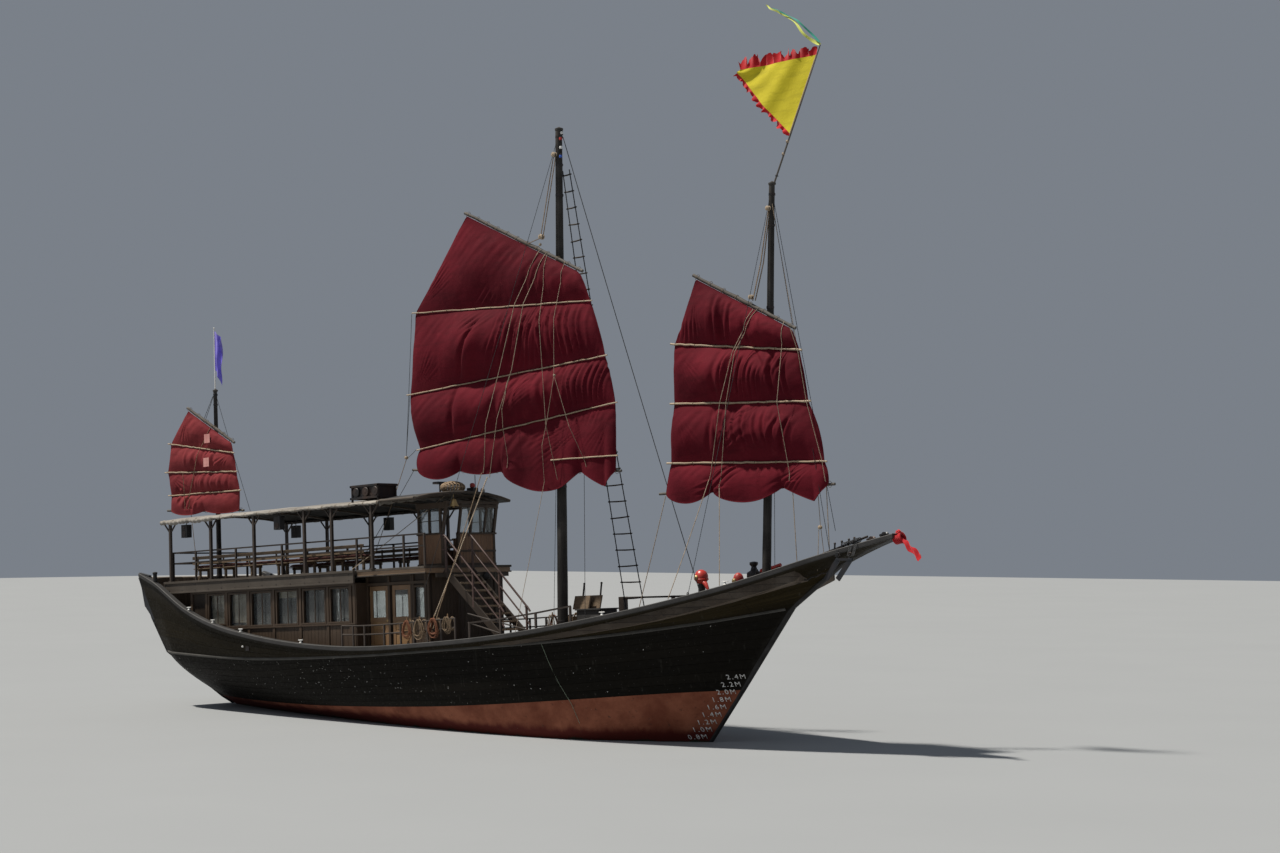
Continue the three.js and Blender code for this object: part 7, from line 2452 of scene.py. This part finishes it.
def roof_gear():
    """Ventilator box and loudspeakers on and under the awning"""
    box = Shape()
    for x in (-3.62, -2.47):
        for y in (-2.35, -1.65):
            box.bar((x, y, awning_height(y) - 0.02), (x, y, 7.26), 0.05)
    for z in (6.88, 7.24):
        box.box((-3.68, -2.4, z - 0.03), (-2.41, -2.345, z + 0.03))
        box.box((-3.68, -1.655, z - 0.03), (-2.41, -1.6, z + 0.03))
        box.box((-3.68, -2.4, z - 0.03), (-3.625, -1.6, z + 0.03))
        box.box((-2.465, -2.4, z - 0.03), (-2.41, -1.6, z + 0.03))
    box.box((-3.66, -2.38, 7.25), (-2.43, -1.62, 7.28))
    box.box((-3.6, -2.34, 6.9), (-2.49, -1.66, 7.22))
    for k in range(3):
        x = -3.42 + k * 0.42
        box.lathe((x, -2.37, 7.06), (0, -1, 0),
                  [(0, 0.13), (0.02, 0.14), (0.035, 0.12), (0.03, 0.05), (0.045, 0.01)], 20)
    piece("roof_box", box, BLACK_IRON, "iron", bevel=0.004)
    speakers = Shape()
    for side in BOTH_SIDES:
        for x in (-11.83, -7.13):
            y = side * 2.3
            top = awning_height(y) - 0.05
            speakers.paint(1).rod((x, y, top), (x, y, top - 0.14), 0.014)
            speakers.paint(0).box((x - 0.15, y - 0.1, top - 0.56), (x + 0.15, y + 0.1, top - 0.14))
            speakers.paint(1).lathe((x, y + side * 0.1, top - 0.43), (0, side, 0),
                                    [(0, 0.1), (0.012, 0.105), (0.008, 0.04)], 18)
            speakers.lathe((x, y + side * 0.1, top - 0.24), (0, side, 0),
                           [(0, 0.045), (0.012, 0.048), (0.008, 0.01)], 14)
    piece("loudspeakers", speakers, [BLACK_RUBBER, BLACK_IRON], "iron", bevel=0.02)
    under = Shape()
    for y in (-0.75, 0.5):
        under.bar((-0.55, y, deck_height(-0.55)), (-0.55, y, 4.53), 0.09)
    under.box((-0.62, -1.9, 4.4), (-0.52, 1.08, 4.53))
    piece("platform_posts", under, FASCIA_WOOD, "dark_wood", bevel=0.006)
    piece("round_fender", Shape().ball((-0.46, 0.07, 4.4), 0.12, 18), BLACK_RUBBER, "iron", smooth=60)


def masthead_lanterns():
    shape = Shape()
    for mark, (x, z) in enumerate(((3.3, 17.12), (3.36, 16.92), (3.36, 16.66), (3.34, 16.4))):
        foot = vec(x, -0.12 if mark else 0.0, z)
        shape.paint(4).turned(foot, [(0, 0.045), (0.015, 0.05), (0.02, 0.02)], 14)
        shape.paint((0, 1, 0, 2)[mark]).lathe(foot + vec(0, 0, 0.02), (0, 0, 1),
                                              [(0, 0.038), (0.02, 0.045), (0.075, 0.045), (0.09, 0.036)], 14)
        shape.paint(4).turned(foot + vec(0, 0, 0.11), [(0, 0.046), (0.012, 0.046), (0.03, 0.015)], 14)
        shape.rod(foot + vec(0, 0, 0.01), vec(3.18, 0, z + 0.01), 0.01, sides=8)
    piece("masthead_lanterns", shape, [WHITE_PAINT, RED_PAINT, BLUE_PAINT, GREEN_PAINT, BLACK_IRON], "iron",
          smooth=50)


def stern_gear():
    dress("rudder", CAP_WOOD, "dark_wood", bevel=0.012, body="rudder")
    dress("rudder_heel", BLACK_IRON, "iron", bevel=0.008)
    dress("propeller", BRONZE, "bronze", bevel=0.004, body="propeller")
    straps = Shape()
    for z in (-1.05, -0.45, 0.02):
        straps.box((-12.55 if z < -0.2 else -12.62, -0.052, z - 0.035), (-11.66, 0.052, z + 0.035))
    piece("rudder_straps", straps, BLACK_IRON, "iron", body="rudder", bevel=0.004)


RUST_ROPE = rope_finish("reddish_rope", (0.13, 0.045, 0.022), (0.3, 0.115, 0.055))
DRAFT_CORD = rope_finish("green_cord", (0.22, 0.28, 0.2), (0.4, 0.48, 0.36))
ladder()
standing_rigging()
running_rigging()
flags()
mizzen_patches()
foredeck()
bow_gear()
side_decks()
roof_gear()
masthead_lanterns()
stern_gear()
